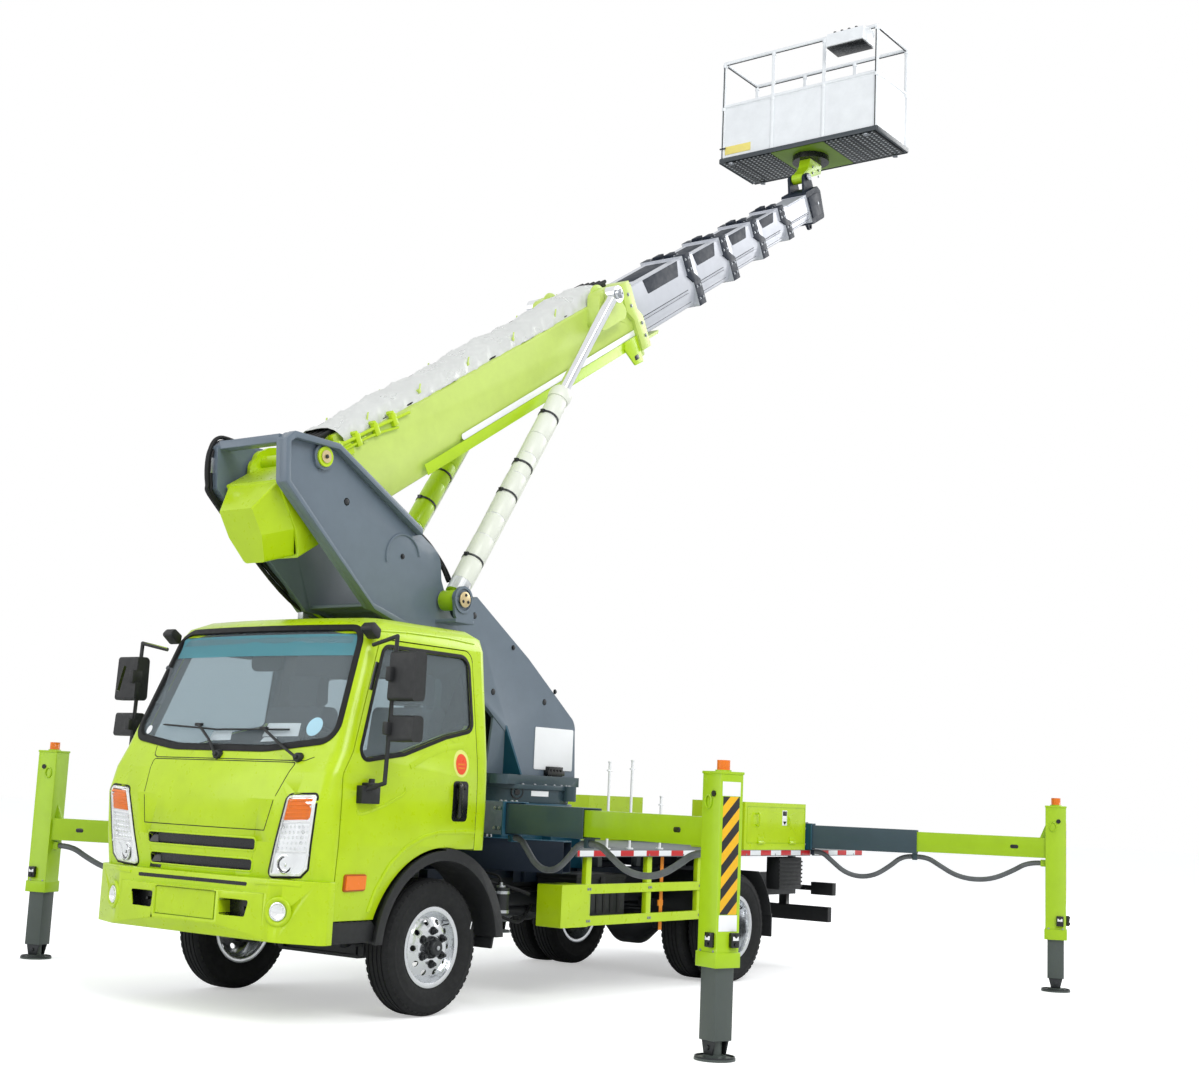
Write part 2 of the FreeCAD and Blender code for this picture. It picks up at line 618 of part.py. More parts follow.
def steering_wheel():
    """Rim, hub and spokes, tilted towards the driver."""
    cx, cy, cz = STEERING_CENTRE
    ring = Part.makeTorus(205, 15, V(cx, cy, cz), Z_AXIS)
    hub = cyl(48, (cx, cy, cz - 30), (cx, cy, cz + 8))
    column = cyl(24, (cx, cy, cz - 118), (cx, cy, cz - 20))
    spokes = []
    for angle in (90, 210, 330):
        bar = box(cx + 30, cx + 205, cy - 16, cy + 16, cz - 16, cz - 2)
        spokes.append(turned(bar, (cx, cy, cz), Z_AXIS, angle + 90))
    wheel = fuse([ring, hub, column] + spokes)
    return turned(wheel, STEERING_CENTRE, Y_AXIS, -STEERING_TILT_DEG)


# ---------------------------------------------------------------- deck and body
def deck():
    """Chequer plate, side skirts, rear board and cross bearers on feet, each a hair apart."""
    top, low = DECK_TOP, DECK_TOP - DECK_THICKNESS
    half = DECK_HALF_WIDTH
    inside = half - 6 - SEAM
    bearer_top = top - 6 - SEAM
    plates = [box(DECK_REAR_X + 8 + SEAM, DECK_FRONT_X, -inside, inside, top - 6, top)]
    pieces = [box(DECK_REAR_X, DECK_REAR_X + 8, -inside, inside, low, top)]
    for side in (1, -1):
        pieces.append(box(DECK_REAR_X, -1250, side * (half - 6), side * (half + 14), low, top))
        plates.append(box(-2125, -1250, side * 640, side * inside, top - 6, top))
    pieces.append(fuse(plates))
    for x in (-2300, -2780, -3380, -4700, -5060):
        pieces.append(box(x - 25, x + 25, -inside, inside, low, bearer_top))
    for x, foot_low in ((-2300, SUBFRAME_TOP), (-2780, SUBFRAME_TOP), (-3380, SUBFRAME_TOP),
                        (-5060, RAIL_TOP)):
        for side in (1, -1):
            y0, y1 = side * (RAIL_Y - 60), side * (RAIL_Y - 10)
            pieces.append(box(x - 25, x + 25, y0, y1, foot_low + 0.3, low - SEAM))
    notches = [beam_room(LEGS[name], 3.0) for name in ("front_right", "rear_right")]
    upper = LEGS["rear_left"]
    end = along(upper, HOUSING_END_Y)
    notches.append(beam_frame(upper, box(-30, 30, end - CLIP_LENGTH - 4, end + 60, -200, -80)))
    notches.append(box(upper["x"] - SPACER - 1, upper["x"] + SPACER + 1, -SPACER - 1, SPACER + 1,
                       low - 10, top + 10))
    room = Part.makeCompound(notches)
    return group([piece.cut(room) for piece in pieces])


SUBFRAME_TOP = 789.5


def tool_boxes():
    """Two rear lockers on the deck."""
    points = [(-3290, 480), (-3290, 942, 8), (-4205, 942, 8), (-4035, 480)]
    locker = slab(points, "XY", DECK_TOP + 0.3, 1285)
    seam = slab([(-3320, 985), (-4180, 985), (-4180, 1255), (-3320, 1255)], "XZ", 938, 950)
    lid = slab([(-3326, 991), (-4174, 991), (-4174, 1249), (-3326, 1249)], "XZ", 936, 950)
    locker = locker.cut(seam.cut(lid))
    latch = slab([(-3905, 1120, 8), (-3945, 1120, 8), (-3945, 1200, 8), (-3905, 1200, 8)],
                 "XZ", 940, 950)
    return both_sides(locker.fuse(latch))


def side_guards():
    """Side underrun guards: box end, three posts and two rails a side."""
    y0, y1 = 880.0, 925.0
    front_end = slab([(-1130, 455, 10), (-1420, 455, 10), (-1420, 720, 10), (-1130, 720, 10)],
                     "XZ", y0 - 150, y1)
    front_end = front_end.cut(box(-1118 - 20, -1440, y0 - 160, y1 - 30, 467, 708))
    rear = -WHEELBASE + 490
    deck_low = DECK_TOP - DECK_THICKNESS - 0.3
    rails = [box(-1400, rear, y0 + 15, y1, z - 30, z + 30) for z in (490, 690)]
    posts = [box(x - 28, x + 28, y0, y1 - 8, 462, deck_low)
             for x in (-1420, (rear - 1450) / 2, rear + 30)]
    return both_sides(fuse([front_end] + rails + posts))


def rear_guards():
    """Rear mudguards with flaps, on brackets, and the underrun bar with its lamp blocks."""
    z = TYRE_RADIUS
    y0, y1 = 470.0, 925.0
    arc = cyl(485, (-WHEELBASE, y0, z), (-WHEELBASE, y1, z))
    arc = arc.cut(cyl(477, (-WHEELBASE, y0 - 1, z), (-WHEELBASE, y1 + 1, z)))
    arc = arc.cut(box(-WHEELBASE - 600, -WHEELBASE + 600, 0, 1000, -200, z + 70))
    arc = arc.cut(box(-WHEELBASE - 600, -WHEELBASE + 600, 0, 1000, z + 395, 1000))
    flap = box(-WHEELBASE - 492, -WHEELBASE - 476, y0, y1, 300, z + 82)
    arm = box(-WHEELBASE - 484, -WHEELBASE - 440, RAIL_Y, y0 + 20, 500, 550)
    front_arm = box(-WHEELBASE + 440, -WHEELBASE + 482, RAIL_Y, y0 + 20, 520, 570)
    mudguards = both_sides(fuse([arc, flap, arm, front_arm]))
    bar = slab([(-4990, 350, 10), (-4930, 350, 10), (-4930, 470, 10), (-4990, 470, 10)],
               "XZ", -760, 760)
    hangers = [box(-4985, -4935, s * 300, s * 370, 460, RAIL_TOP - RAIL_HEIGHT - 0.0)
               for s in (1, -1)]
    lamps = [box(-5060, -5000, s * 560, s * 760, 560, 660) for s in (1, -1)]
    lamp_arms = [box(-5050, -5010, s * (RAIL_Y + 0.0), s * 570, 590, 630) for s in (1, -1)]
    return group([mudguards, fuse([bar] + hangers)] + [fuse([a, b]) for a, b in
                                                        zip(lamps, lamp_arms)])


# ---------------------------------------------------------------- outriggers
# beam: crossing x on the centre plane, splay from the Y axis (positive forward), leg y, centre z,
# side, leg top z, how far the housing runs past the centre plane
LEGS = {
    "front_left": dict(x=-908.0, splay=18.0, leg_y=2780.0, z=1125.0, side=1, top=1430.0, inner=900.0,
                       lift=360.0),
    "front_right": dict(x=-908.0, splay=18.0, leg_y=2780.0, z=890.0, side=-1, top=1430.0, inner=900.0,
                       lift=360.0),
    "rear_left": dict(x=-3972.0, splay=-20.0, leg_y=2660.0, z=1040.0, side=1, top=1350.0, inner=430.0,
                      lift=280.0),
    "rear_right": dict(x=-3972.0, splay=-20.0, leg_y=2660.0, z=830.8, side=-1, top=1350.0, inner=430.0,
                      lift=280.0),
}
HOUSING_END_Y = 950.0
STAGE1_END_Y = 1700.0
LEG_PARK_Y = 1130.0
STAGE1_PARK = 60.0
CLIP_LENGTH = 36.0
SPACER = 80.0


def beam_frame(leg, shape):
    """Shape drawn along +Y from the centre plane, turned to the beam's splay and its side."""
    placed = turned(shape, (0, 0, 0), Z_AXIS, -leg["splay"])
    placed = moved(placed, leg["x"], 0, leg["z"])
    return placed if leg["side"] > 0 else mirrored(placed)


def along(leg, y):
    """Distance along the beam at which it reaches a given y."""
    return y / math.cos(math.radians(leg["splay"]))


def hollow_beam(width, height, wall, start, end):
    """Rectangular tube along +Y, centred on X = 0 and Z = 0."""
    body = box(-width / 2, width / 2, start, end, -height / 2, height / 2)
    inner = box(-width / 2 + wall, width / 2 - wall, start - 1, end + 1,
                -height / 2 + wall, height / 2 - wall)
    return body.cut(inner)


def housing_size(dimension):
    """Outer size of the tube that the first stage slides in."""
    return dimension + 2 * (BEAM_CLEARANCE + BEAM_WALL)


def stage2_size(dimension):
    """Outer size of the second stage tube."""
    return dimension - 2 * (BEAM_WALL + BEAM_CLEARANCE)


def guide_pads(width, height, clearance, start, end):
    """Four slide pads that fill a beam's clearance at the mouth of the tube round it."""
    skin = clearance - PAD_GAP
    half_w, half_h = width / 2 + PAD_GAP, height / 2 + PAD_GAP
    pads = []
    for side in (1, -1):
        pads.append(box(-half_w * 0.7, half_w * 0.7, start, end,
                        side * half_h, side * (half_h + skin + 1)))
        pads.append(box(side * half_w, side * (half_w + skin + 1), start, end,
                        -half_h * 0.7, half_h * 0.7))
    return pads


def outrigger(leg):
    """Housing, first stage, second stage with leg tube, and jack of one outrigger."""
    housing_start, housing_end = along(leg, -leg["inner"]), along(leg, HOUSING_END_Y)
    outer_w, outer_h = housing_size(STAGE1_WIDTH), housing_size(STAGE1_HEIGHT)
    housing = hollow_beam(outer_w, outer_h, BEAM_WALL, housing_start, housing_end)
    lip = hollow_beam(outer_w + 30, outer_h, BEAM_WALL + 15, housing_end - 14, housing_end)
    lip = lip.cut(box(-outer_w / 2 + BEAM_WALL, outer_w / 2 - BEAM_WALL, housing_end - 20,
                      housing_end + 1, -outer_h / 2 + BEAM_WALL, outer_h / 2 - BEAM_WALL))
    clip_low = HOSE_DROP - HOSE_RADIUS - 6
    gland = box(-26, 26, housing_end - CLIP_LENGTH, housing_end + 8, clip_low, -outer_h / 2 + 1)
    pads = guide_pads(STAGE1_WIDTH, STAGE1_HEIGHT, BEAM_CLEARANCE, housing_end - 120,
                      housing_end - 20)
    housing = fuse([housing, lip, gland] + pads)
    leg_s = along(leg, leg["leg_y"])
    stage1_end = along(leg, STAGE1_END_Y)
    stroke1 = stage1_end - housing_end - STAGE1_PARK
    stroke2 = leg_s - along(leg, LEG_PARK_Y) - stroke1
    stage1_start = housing_start + stroke1 + 10
    stage1 = hollow_beam(STAGE1_WIDTH, STAGE1_HEIGHT, BEAM_WALL, stage1_start, stage1_end)
    clip = box(-26, 26, stage1_end - CLIP_LENGTH, stage1_end, clip_low, -STAGE1_HEIGHT / 2 + 1)
    width2, height2 = stage2_size(STAGE1_WIDTH), stage2_size(STAGE1_HEIGHT)
    pads = guide_pads(width2, height2, BEAM_CLEARANCE, stage1_end - 110, stage1_end - 10)
    stage1 = fuse([stage1, clip] + pads)
    half = LEG_WIDTH / 2
    stage2_start = stage1_start + stroke2 + 10
    stage2 = hollow_beam(width2, height2, BEAM_WALL, stage2_start, leg_s - half + 2)
    top, bottom = leg["top"] - leg["z"], leg["top"] - LEG_LENGTH - leg["z"]
    leg_tube = box(-half, half, leg_s - half, leg_s + half, bottom, top)
    bore = box(-half + LEG_WALL, half - LEG_WALL, leg_s - half + LEG_WALL, leg_s + half - LEG_WALL,
               bottom - 1, top - 12)
    band = box(-half - 7, half + 7, leg_s - half - 7, leg_s + half + 7, bottom, bottom + 75)
    leg_tube = fuse([leg_tube, band]).cut(bore)
    jack_room = half - LEG_WALL - JACK_WIDTH / 2
    leg_pads = []
    for pad in guide_pads(JACK_WIDTH, JACK_WIDTH, jack_room, bottom + 10, bottom + 90):
        upright = turned(pad, (0, 0, 0), X_AXIS, 90)
        leg_pads.append(moved(upright, 0, leg_s, 0))
    beacon = fuse([cyl(42, (0, leg_s, top), (0, leg_s, top + 12)),
                   cyl(34, (0, leg_s, top + 10), (0, leg_s, top + 62))])
    bracket = slab([(leg_s - half - 42, height2 / 2 - 1), (leg_s - half + 1, height2 / 2 - 1),
                    (leg_s - half + 1, height2 / 2 + 100)], "YZ", -12, 12)
    gland = box(-26, 26, leg_s - half - CLIP_LENGTH, leg_s - half + 1, clip_low, HOSE_DROP + 25)
    stage2 = fuse([stage2, leg_tube, beacon, bracket, gland] + leg_pads)
    half_jack = JACK_WIDTH / 2
    ground = -leg["z"]
    jack = box(-half_jack, half_jack, leg_s - half_jack, leg_s + half_jack,
               ground + FOOT_HEIGHT + 70, top - 12 - leg["lift"] - 14)
    ball = cyl(34, (0, leg_s, ground + FOOT_HEIGHT - 2), (0, leg_s, ground + FOOT_HEIGHT + 75))
    pad = fuse([cyl(FOOT_RADIUS, (0, leg_s, ground), (0, leg_s, ground + 12)),
                cyl(FOOT_RADIUS * 0.55, (0, leg_s, ground + 10), (0, leg_s, ground + FOOT_HEIGHT))])
    jack = fuse([jack, ball, pad])
    return [beam_frame(leg, s) for s in (housing, stage1, stage2, jack)] + [(stroke1, stroke2)]


def hose(leg):
    """Hose in two sagging spans: housing gland to stage 1 clip, and clip to the leg's gland."""
    start = along(leg, HOUSING_END_Y) + 8
    clip = along(leg, STAGE1_END_Y)
    leg_gland = along(leg, leg["leg_y"]) - LEG_WIDTH / 2 - CLIP_LENGTH
    spans = []
    for low_end, high_end, sag in ((start, clip - CLIP_LENGTH, 175), (clip, leg_gland, 150)):
        points = hose_route(low_end, high_end, HOSE_DROP, sag)
        spans.append(tangent_tube([V(0, y, z) for y, z in points], HOSE_RADIUS))
    return [beam_frame(leg, span) for span in spans]


def hose_route(start, end, top, sag):
    """Points of one sagging span: straight out of each clip, and an uneven slack between."""
    span = end - start
    shares = ((0.0, 0.0), (0.08, 0.0), (0.18, 0.36), (0.31, 0.82), (0.46, 1.0), (0.62, 0.9),
              (0.77, 0.48), (0.9, 0.0), (1.0, 0.0))
    return [(start + span * u, top - sag * v) for u, v in shares]


def tangent_tube(points, radius):
    """Round tube along straight runs joined by tangent arcs."""
    edges, last, bends = [], points[0], []
    for i in range(1, len(points) - 1):
        before, after = points[i - 1] - points[i], points[i + 1] - points[i]
        turn = math.pi - before.getAngle(after)
        cut = 0.45 * min(before.Length, after.Length)
        bend = cut / math.tan(turn / 2)
        bends.append(round(bend))
        before.normalize()
        after.normalize()
        first, second = points[i] + before * cut, points[i] + after * cut
        inward = (before + after).normalize()
        middle = points[i] + inward * (bend / math.cos(turn / 2) - bend)
        edges.append(Part.LineSegment(last, first).toShape())
        edges.append(Part.Arc(first, middle, second).toShape())
        last = second
    edges.append(Part.LineSegment(last, points[-1]).toShape())
    path = Part.Wire(edges)
    profile = Part.Wire([Part.Circle(points[0], points[1] - points[0], radius).toShape()])
    print("hose bend radii", bends, "length", round(path.Length))
    return path.makePipeShell([profile], True, False)


def pedestal():
    """Subframe on the rails, the pedestal box with its ribs, and the fixed half of the slew ring."""
    half = 420.0
    top = RING_LOW_Z
    plates = []
    for side in (1, -1):
        y0, y1 = side * (RAIL_Y - RAIL_WIDTH), side * RAIL_Y
        plates.append(box(-3500, -480, y0, y1, RAIL_TOP, SUBFRAME_TOP))
    tower = slab([(-1130, -half, 30), (-1130, half, 30), (-1990, half, 30), (-1990, -half, 30)],
                 "XY", SUBFRAME_TOP, top - 30)
    tower = tower.cut(slab([(-1150, -half + 20), (-1150, half - 20), (-1970, half - 20),
                            (-1970, -half + 20)], "XY", SUBFRAME_TOP - 1, top - 50))
    cap = cyl(RING_RADIUS + 25, (SLEW_X, 0, top - 30), (SLEW_X, 0, top))
    ring = tube(RING_RADIUS - 30, RING_RADIUS - 120, (SLEW_X, 0, top - 1),
                (SLEW_X, 0, top + RING_HEIGHT - 40))
    ribs = []
    for x in (-1240, -1560, -1880):
        rib = slab([(half - 1, SUBFRAME_TOP), (half + 110, SUBFRAME_TOP), (half + 40, top - 30),
                    (half - 1, top - 30)], "YZ", x - 8, x + 8)
        ribs += [rib, mirrored(rib)]
    return plates, tower, cap, ring, ribs


# ---------------------------------------------------------------- turret
ARM_OUTLINE = [
    (-1480, BASE_PLATE_TOP), (-1330, 1640, 60), (-560, 2200, 120), (-60, 2330, 80), (90, 2338, 60),
    (880, 2985, 30), (900, 3235, 40), (835, 3290, 50), (470, 3285, 90), (-545, 2760, 160),
    (-560, 2600, 40), (-700, 2330, 60), (-860, 2480, 30), (-905, 2545, 30), (-1500, 2180, 700),
    (-2050, 1780, 120), (-2075, BASE_PLATE_TOP),
]


def turret_base():
    """Rotating half of the slew ring, its gear cover and the base plate."""
    low = RING_LOW_Z + RING_GAP
    ring = tube(RING_RADIUS, RING_RADIUS - 28, (SLEW_X, 0, low), (SLEW_X, 0, low + RING_HEIGHT))
    cover = cyl(RING_RADIUS + 14, (SLEW_X, 0, low + RING_HEIGHT - 30),
                (SLEW_X, 0, low + RING_HEIGHT))
    plate = slab([(-1060, -440, 90), (-1060, 440, 90), (-2090, 330, 60), (-2090, -330, 60)],
                 "XY", low + RING_HEIGHT - 1, BASE_PLATE_TOP)
    motor = cyl(52, (SLEW_X - 180, RING_RADIUS - 10, low + 20),
                (SLEW_X - 180, RING_RADIUS - 10, low + RING_HEIGHT - 1))
    return fuse([ring, cover, plate, motor])


def turret_arm():
    """Gooseneck: two side plates, webs between them, gussets, crossbar and cylinder ears."""
    y0, y1 = ARM_PLATE_Y, ARM_PLATE_Y + ARM_PLATE_THICKNESS
    plate = slab(ARM_OUTLINE, "XZ", y0, y1)
    boss = tube(78, PIVOT_PIN_RADIUS + 0.1, (PIVOT_X, y0 - 12, PIVOT_Z), (PIVOT_X, y1 + PIVOT_BOSS, PIVOT_Z))
    plate = fuse([plate, boss]).cut(cyl(PIVOT_PIN_RADIUS + 0.1, (PIVOT_X, y0 - 20, PIVOT_Z),
                                        (PIVOT_X, y1 + 30, PIVOT_Z)))
    for x, z, radius in ((-905, 2410, 22), (-1135, 1930, 22), (-1690, 1900, 22), (330, 2960, 24)):
        plate = plate.cut(cyl(radius, (x, y0 - 5, z), (x, y1 + 5, z)))
    gusset = slab([(-1110, BASE_PLATE_TOP), (-1500, BASE_PLATE_TOP), (-1350, 1650), (-1160, 1785)],
                  "XZ", y0 + 4, y0 + 24)
    gusset_rib = slab([(y0 + 20, BASE_PLATE_TOP), (y1 + 150, BASE_PLATE_TOP), (y0 + 20, 1740)],
                      "YZ", -1300, -1280)
    ear_y0, ear_y1 = LIFT_LANE_Y + 74, LIFT_LANE_Y + 94
    ear = slab([(-700, 2330, 40), (-520, 2330, 60), (-490, 2500, 60), (-560, 2560, 60),
                (-660, 2540, 50)], "XZ", ear_y0, ear_y1)
    shelf = box(-700, -520, y1 - 1, ear_y1, 2322, 2346)
    pin = cyl(32, (FOOT_PIN_X, y1 - 5, FOOT_PIN_Z), (FOOT_PIN_X, ear_y1 + 14, FOOT_PIN_Z))
    side = fuse([plate, gusset, gusset_rib, ear, shelf, pin])
    webs = [
        slab([(-2070, BASE_PLATE_TOP), (-2055, 1780, 120), (-1500, 2172, 700), (-915, 2532),
              (-925, 2512), (-1490, 2152, 690), (-2030, 1768, 110), (-2045, BASE_PLATE_TOP)],
             "XZ", -y0 - 1, y0 + 1),
        slab([(-1100, 1830), (-560, 2222, 120), (-80, 2350, 80), (-80, 2372), (-570, 2245, 120),
              (-1112, 1850)], "XZ", -y0 - 1, y0 + 1),
        slab([(-150, 2352), (60, 2360), (60, 2382), (-150, 2376)], "XZ", -y0 - 1, y0 + 1),
    ]
    crossbar = slab([(800, 3222), (884, 3222), (884, 3272), (800, 3272)], "XZ", -y0 - 1, y0 + 1)
    return fuse([side, mirrored(side), crossbar] + webs)


# ---------------------------------------------------------------- boom
# The boom is drawn lying along +X with its pivot at the origin: s runs along X away from the
# pivot, t upwards. raised() turns it round to its rest elevation behind the pivot.
# number, height, width, outer end s, collar length, collar height over the section
SECTIONS = [
    (2, 410.0, 376.0, 4710.0),
    (3, 366.0, 336.0, 5360.0),
    (4, 324.0, 298.0, 5960.0),
    (5, 284.0, 262.0, 6520.0),
    (6, 246.0, 228.0, 7140.0),
]
SECTION_LENGTH = 3560.0
COLLAR_LENGTH = 110.0


def raised(shape):
    """Turn a shape from the boom's own frame to its rest position."""
    half_turn = turned(shape, (0, 0, 0), Z_AXIS, 180)
    lifted = turned(half_turn, (0, 0, 0), Y_AXIS, BOOM_ELEVATION_DEG)
    return moved(lifted, PIVOT_X, 0, PIVOT_Z)


def boom_profile(height, width):
    """Cross-section of a boom tube about its own axis, t downwards from the pivot line."""
    half, low, high = width / 2, -BOOM_AXIS_DROP - height / 2, -BOOM_AXIS_DROP + height / 2
    crease = low + 0.36 * height
    return [(-half, high, 18), (-half, crease), (-half + 0.13 * width, low, 24),
            (half - 0.13 * width, low, 24), (half, crease), (half, high, 18)]


def boom_tube(height, width, start, end, wall):
    """Boom section: flat top, sides creased inwards to a narrower bottom."""
    outer = slab(boom_profile(height, width), "YZ", start, end)
    inner = slab(boom_profile(height - 2 * wall, width - 2 * wall), "YZ", start - 1, end + 1)
    return outer.cut(inner)


def collar(height, width, end, length, margin, set_back):
    """Collar round a section's outer end, its top part set back along the boom."""
    low, high = -BOOM_AXIS_DROP - height / 2, -BOOM_AXIS_DROP + height / 2
    points = [
        (end - length, low - margin), (end, low - margin), (end, low + 0.45 * height),
        (end - set_back, low + 0.62 * height), (end - set_back, high + margin),
        (end - set_back - length, high + margin), (end - set_back - length, low + 0.62 * height),
        (end - length, low + 0.45 * height),
    ]
    block = slab(points, "XZ", -width / 2 - margin, width / 2 + margin)
    bore = slab(boom_profile(height - BOOM_WALL, width - BOOM_WALL), "YZ", end - 2000, end + 100)
    return block.cut(bore)


def slide_pads(height, width, outer_height, outer_width, end):
    """Slide pads in the mouth of a section, filling the gap to the section inside it."""
    low, high = -BOOM_AXIS_DROP - height / 2, -BOOM_AXIS_DROP + height / 2
    gap_z, gap_y = (outer_height - height) / 2 - BOOM_WALL, (outer_width - width) / 2 - BOOM_WALL
    pads = [box(end - 110, end - 20, -0.3 * width, 0.3 * width, high + PAD_GAP, high + gap_z + 1),
            box(end - 110, end - 20, -0.22 * width, 0.22 * width, low - gap_z - 1, low - PAD_GAP)]
    for side in (1, -1):
        pads.append(box(end - 110, end - 20, side * (width / 2 + PAD_GAP),
                        side * (width / 2 + gap_y + 1), low + 0.5 * height, high - 0.14 * height))
    return pads


def boom_base():
    """Base section with its pivot cheeks, tail hood, collar and lift brackets."""
    low, high = -BOOM_AXIS_DROP - BASE_HEIGHT / 2, -BOOM_AXIS_DROP + BASE_HEIGHT / 2
    body = boom_tube(BASE_HEIGHT, BASE_WIDTH, BASE_TAIL_S, BASE_COLLAR_S, BOOM_WALL)
    half = BASE_WIDTH / 2
    cheek = slab([(-190, high - 60, 40), (-110, 50, 60), (60, 80, 60), (330, high - 2, 60),
                  (330, high - 80)], "XZ", half - 12, half + 14)
    hinge = tube(82, PIVOT_PIN_RADIUS + 0.1, (0, half - 12, 0), (0, ARM_PLATE_Y - 14, 0))
    cheek = fuse([cheek, hinge]).cut(cyl(PIVOT_PIN_RADIUS + 0.1, (0, half - 40, 0),
                                         (0, half + 60, 0)))
    pin_end = ARM_PLATE_Y + ARM_PLATE_THICKNESS + PIVOT_BOSS + 1
    pin = tube(PIVOT_PIN_RADIUS, 18, (0, -pin_end, 0), (0, pin_end, 0))
    pin_caps = [cyl(60, (0, s * pin_end, 0), (0, s * (pin_end + 12), 0)) for s in (1, -1)]
    mouth = [collar(BASE_HEIGHT, BASE_WIDTH, BASE_COLLAR_S, 130, 34, 60)]
    mouth += slide_pads(SECTIONS[0][1], SECTIONS[0][2], BASE_HEIGHT, BASE_WIDTH, BASE_COLLAR_S)
    bracket = slab([(LIFT_PIN_S - 260, high - 190, 60), (LIFT_PIN_S - 90, 72, 90),
                    (LIFT_PIN_S + 90, 72, 90), (LIFT_PIN_S + 200, high - 190, 60)],
                   "XZ", half - 8, LIFT_LANE_Y - 46.5)
    trough = slab([(BASE_COLLAR_S - 10, low - 20), (BASE_COLLAR_S + 300, low - 20, 10),
                   (BASE_COLLAR_S + 330, low + 2), (BASE_COLLAR_S - 10, low + 2)],
                  "XZ", -130, 130)
    lug = slab([(BASE_COLLAR_S - 150, low + 10), (BASE_COLLAR_S - 60, low - 95, 20),
                (BASE_COLLAR_S - 20, low - 95, 20), (BASE_COLLAR_S - 5, low + 10)],
               "XZ", half - 60, half - 36)
    tray = slab([(260, high - 2), (3380, high - 2), (3380, high + 62, 20), (260, high + 62, 40)],
                "XZ", -150, 150)
    return fuse([body, cheek, mirrored(cheek), pin, bracket, mirrored(bracket), trough, lug,
                 mirrored(lug), tray, tail_hood()] + pin_caps + mouth)


def tail_hood():
    """Tapered hood that closes the base section's tail."""
    low, high = -BOOM_AXIS_DROP - BASE_HEIGHT / 2, -BOOM_AXIS_DROP + BASE_HEIGHT / 2
    start, end = BASE_TAIL_S, BASE_TAIL_S - 190
    half = BASE_WIDTH / 2

    def section(s, scale_w, lift, top_drop):
        w = half * scale_w
        points = [(-w, high - top_drop, 12), (-w, low + 0.36 * BASE_HEIGHT + lift, 12),
                  (-w * 0.6, low + lift, 30), (w * 0.6, low + lift, 30),
                  (w, low + 0.36 * BASE_HEIGHT + lift, 12), (w, high - top_drop, 12)]
        return outline(points, "YZ", s)
    outer = Part.makeLoft([section(start + 2, 1.0, 0, 0), section(end, 0.66, 46, 84)], True, True)
    skirt = boom_tube(BASE_HEIGHT + 24, BASE_WIDTH + 24, start - 2, start + 260, 14)
    return fuse([outer, skirt])


def boom_section(number, height, width, end):
    """One telescopic section with its collar; the last one carries the head."""
    start = end - SECTION_LENGTH
    body = boom_tube(height, width, start, end, BOOM_WALL)
    pieces = [body]
    if number < 6:
        pieces.append(collar(height, width, end, COLLAR_LENGTH, 16, 70))
        inner = SECTIONS[number - 1]
        pieces += slide_pads(inner[1], inner[2], height, width, end)
    else:
        low, high = -BOOM_AXIS_DROP - height / 2, -BOOM_AXIS_DROP + height / 2
        head = slab([(end - 190, low - 30, 20), (end + 60, low - 30, 30), (end + 100, high - 30, 30),
                     (end + 60, high + 22, 20), (end - 190, high + 22, 20)],
                    "XZ", -width / 2 - 14, width / 2 + 14)
        ear = slab([(end - 130, high + 20), (end + 70, high + 20), (end + 60, high + 165, 50),
                    (end - 60, high + 165, 50)], "XZ", 62, 84)
        ear = fuse([ear])
        hook_plate = slab([(end - 90, low - 28), (end + 20, low - 28), (end - 10, low - 100, 25),
                           (end - 60, low - 100, 25)], "XZ", -12, 12)
        hook_plate = hook_plate.cut(cyl(18, (end - 35, -20, low - 72), (end - 35, 20, low - 72)))
        pin = cyl(22, (HEAD_PIN_S, -96, HEAD_PIN_T), (HEAD_PIN_S, 96, HEAD_PIN_T))
        pieces += [head, ear, mirrored(ear), hook_plate, pin]
    return fuse(pieces)


HEAD_PIN_S = 7140.0
HEAD_PIN_T = 0.0


def head_pin():
    """World X and Z of the basket levelling pin."""
    angle = math.radians(BOOM_ELEVATION_DEG)
    x = PIVOT_X - HEAD_PIN_S * math.cos(angle) + HEAD_PIN_T * math.sin(angle)
    z = PIVOT_Z + HEAD_PIN_S * math.sin(angle) + HEAD_PIN_T * math.cos(angle)
    return x, z


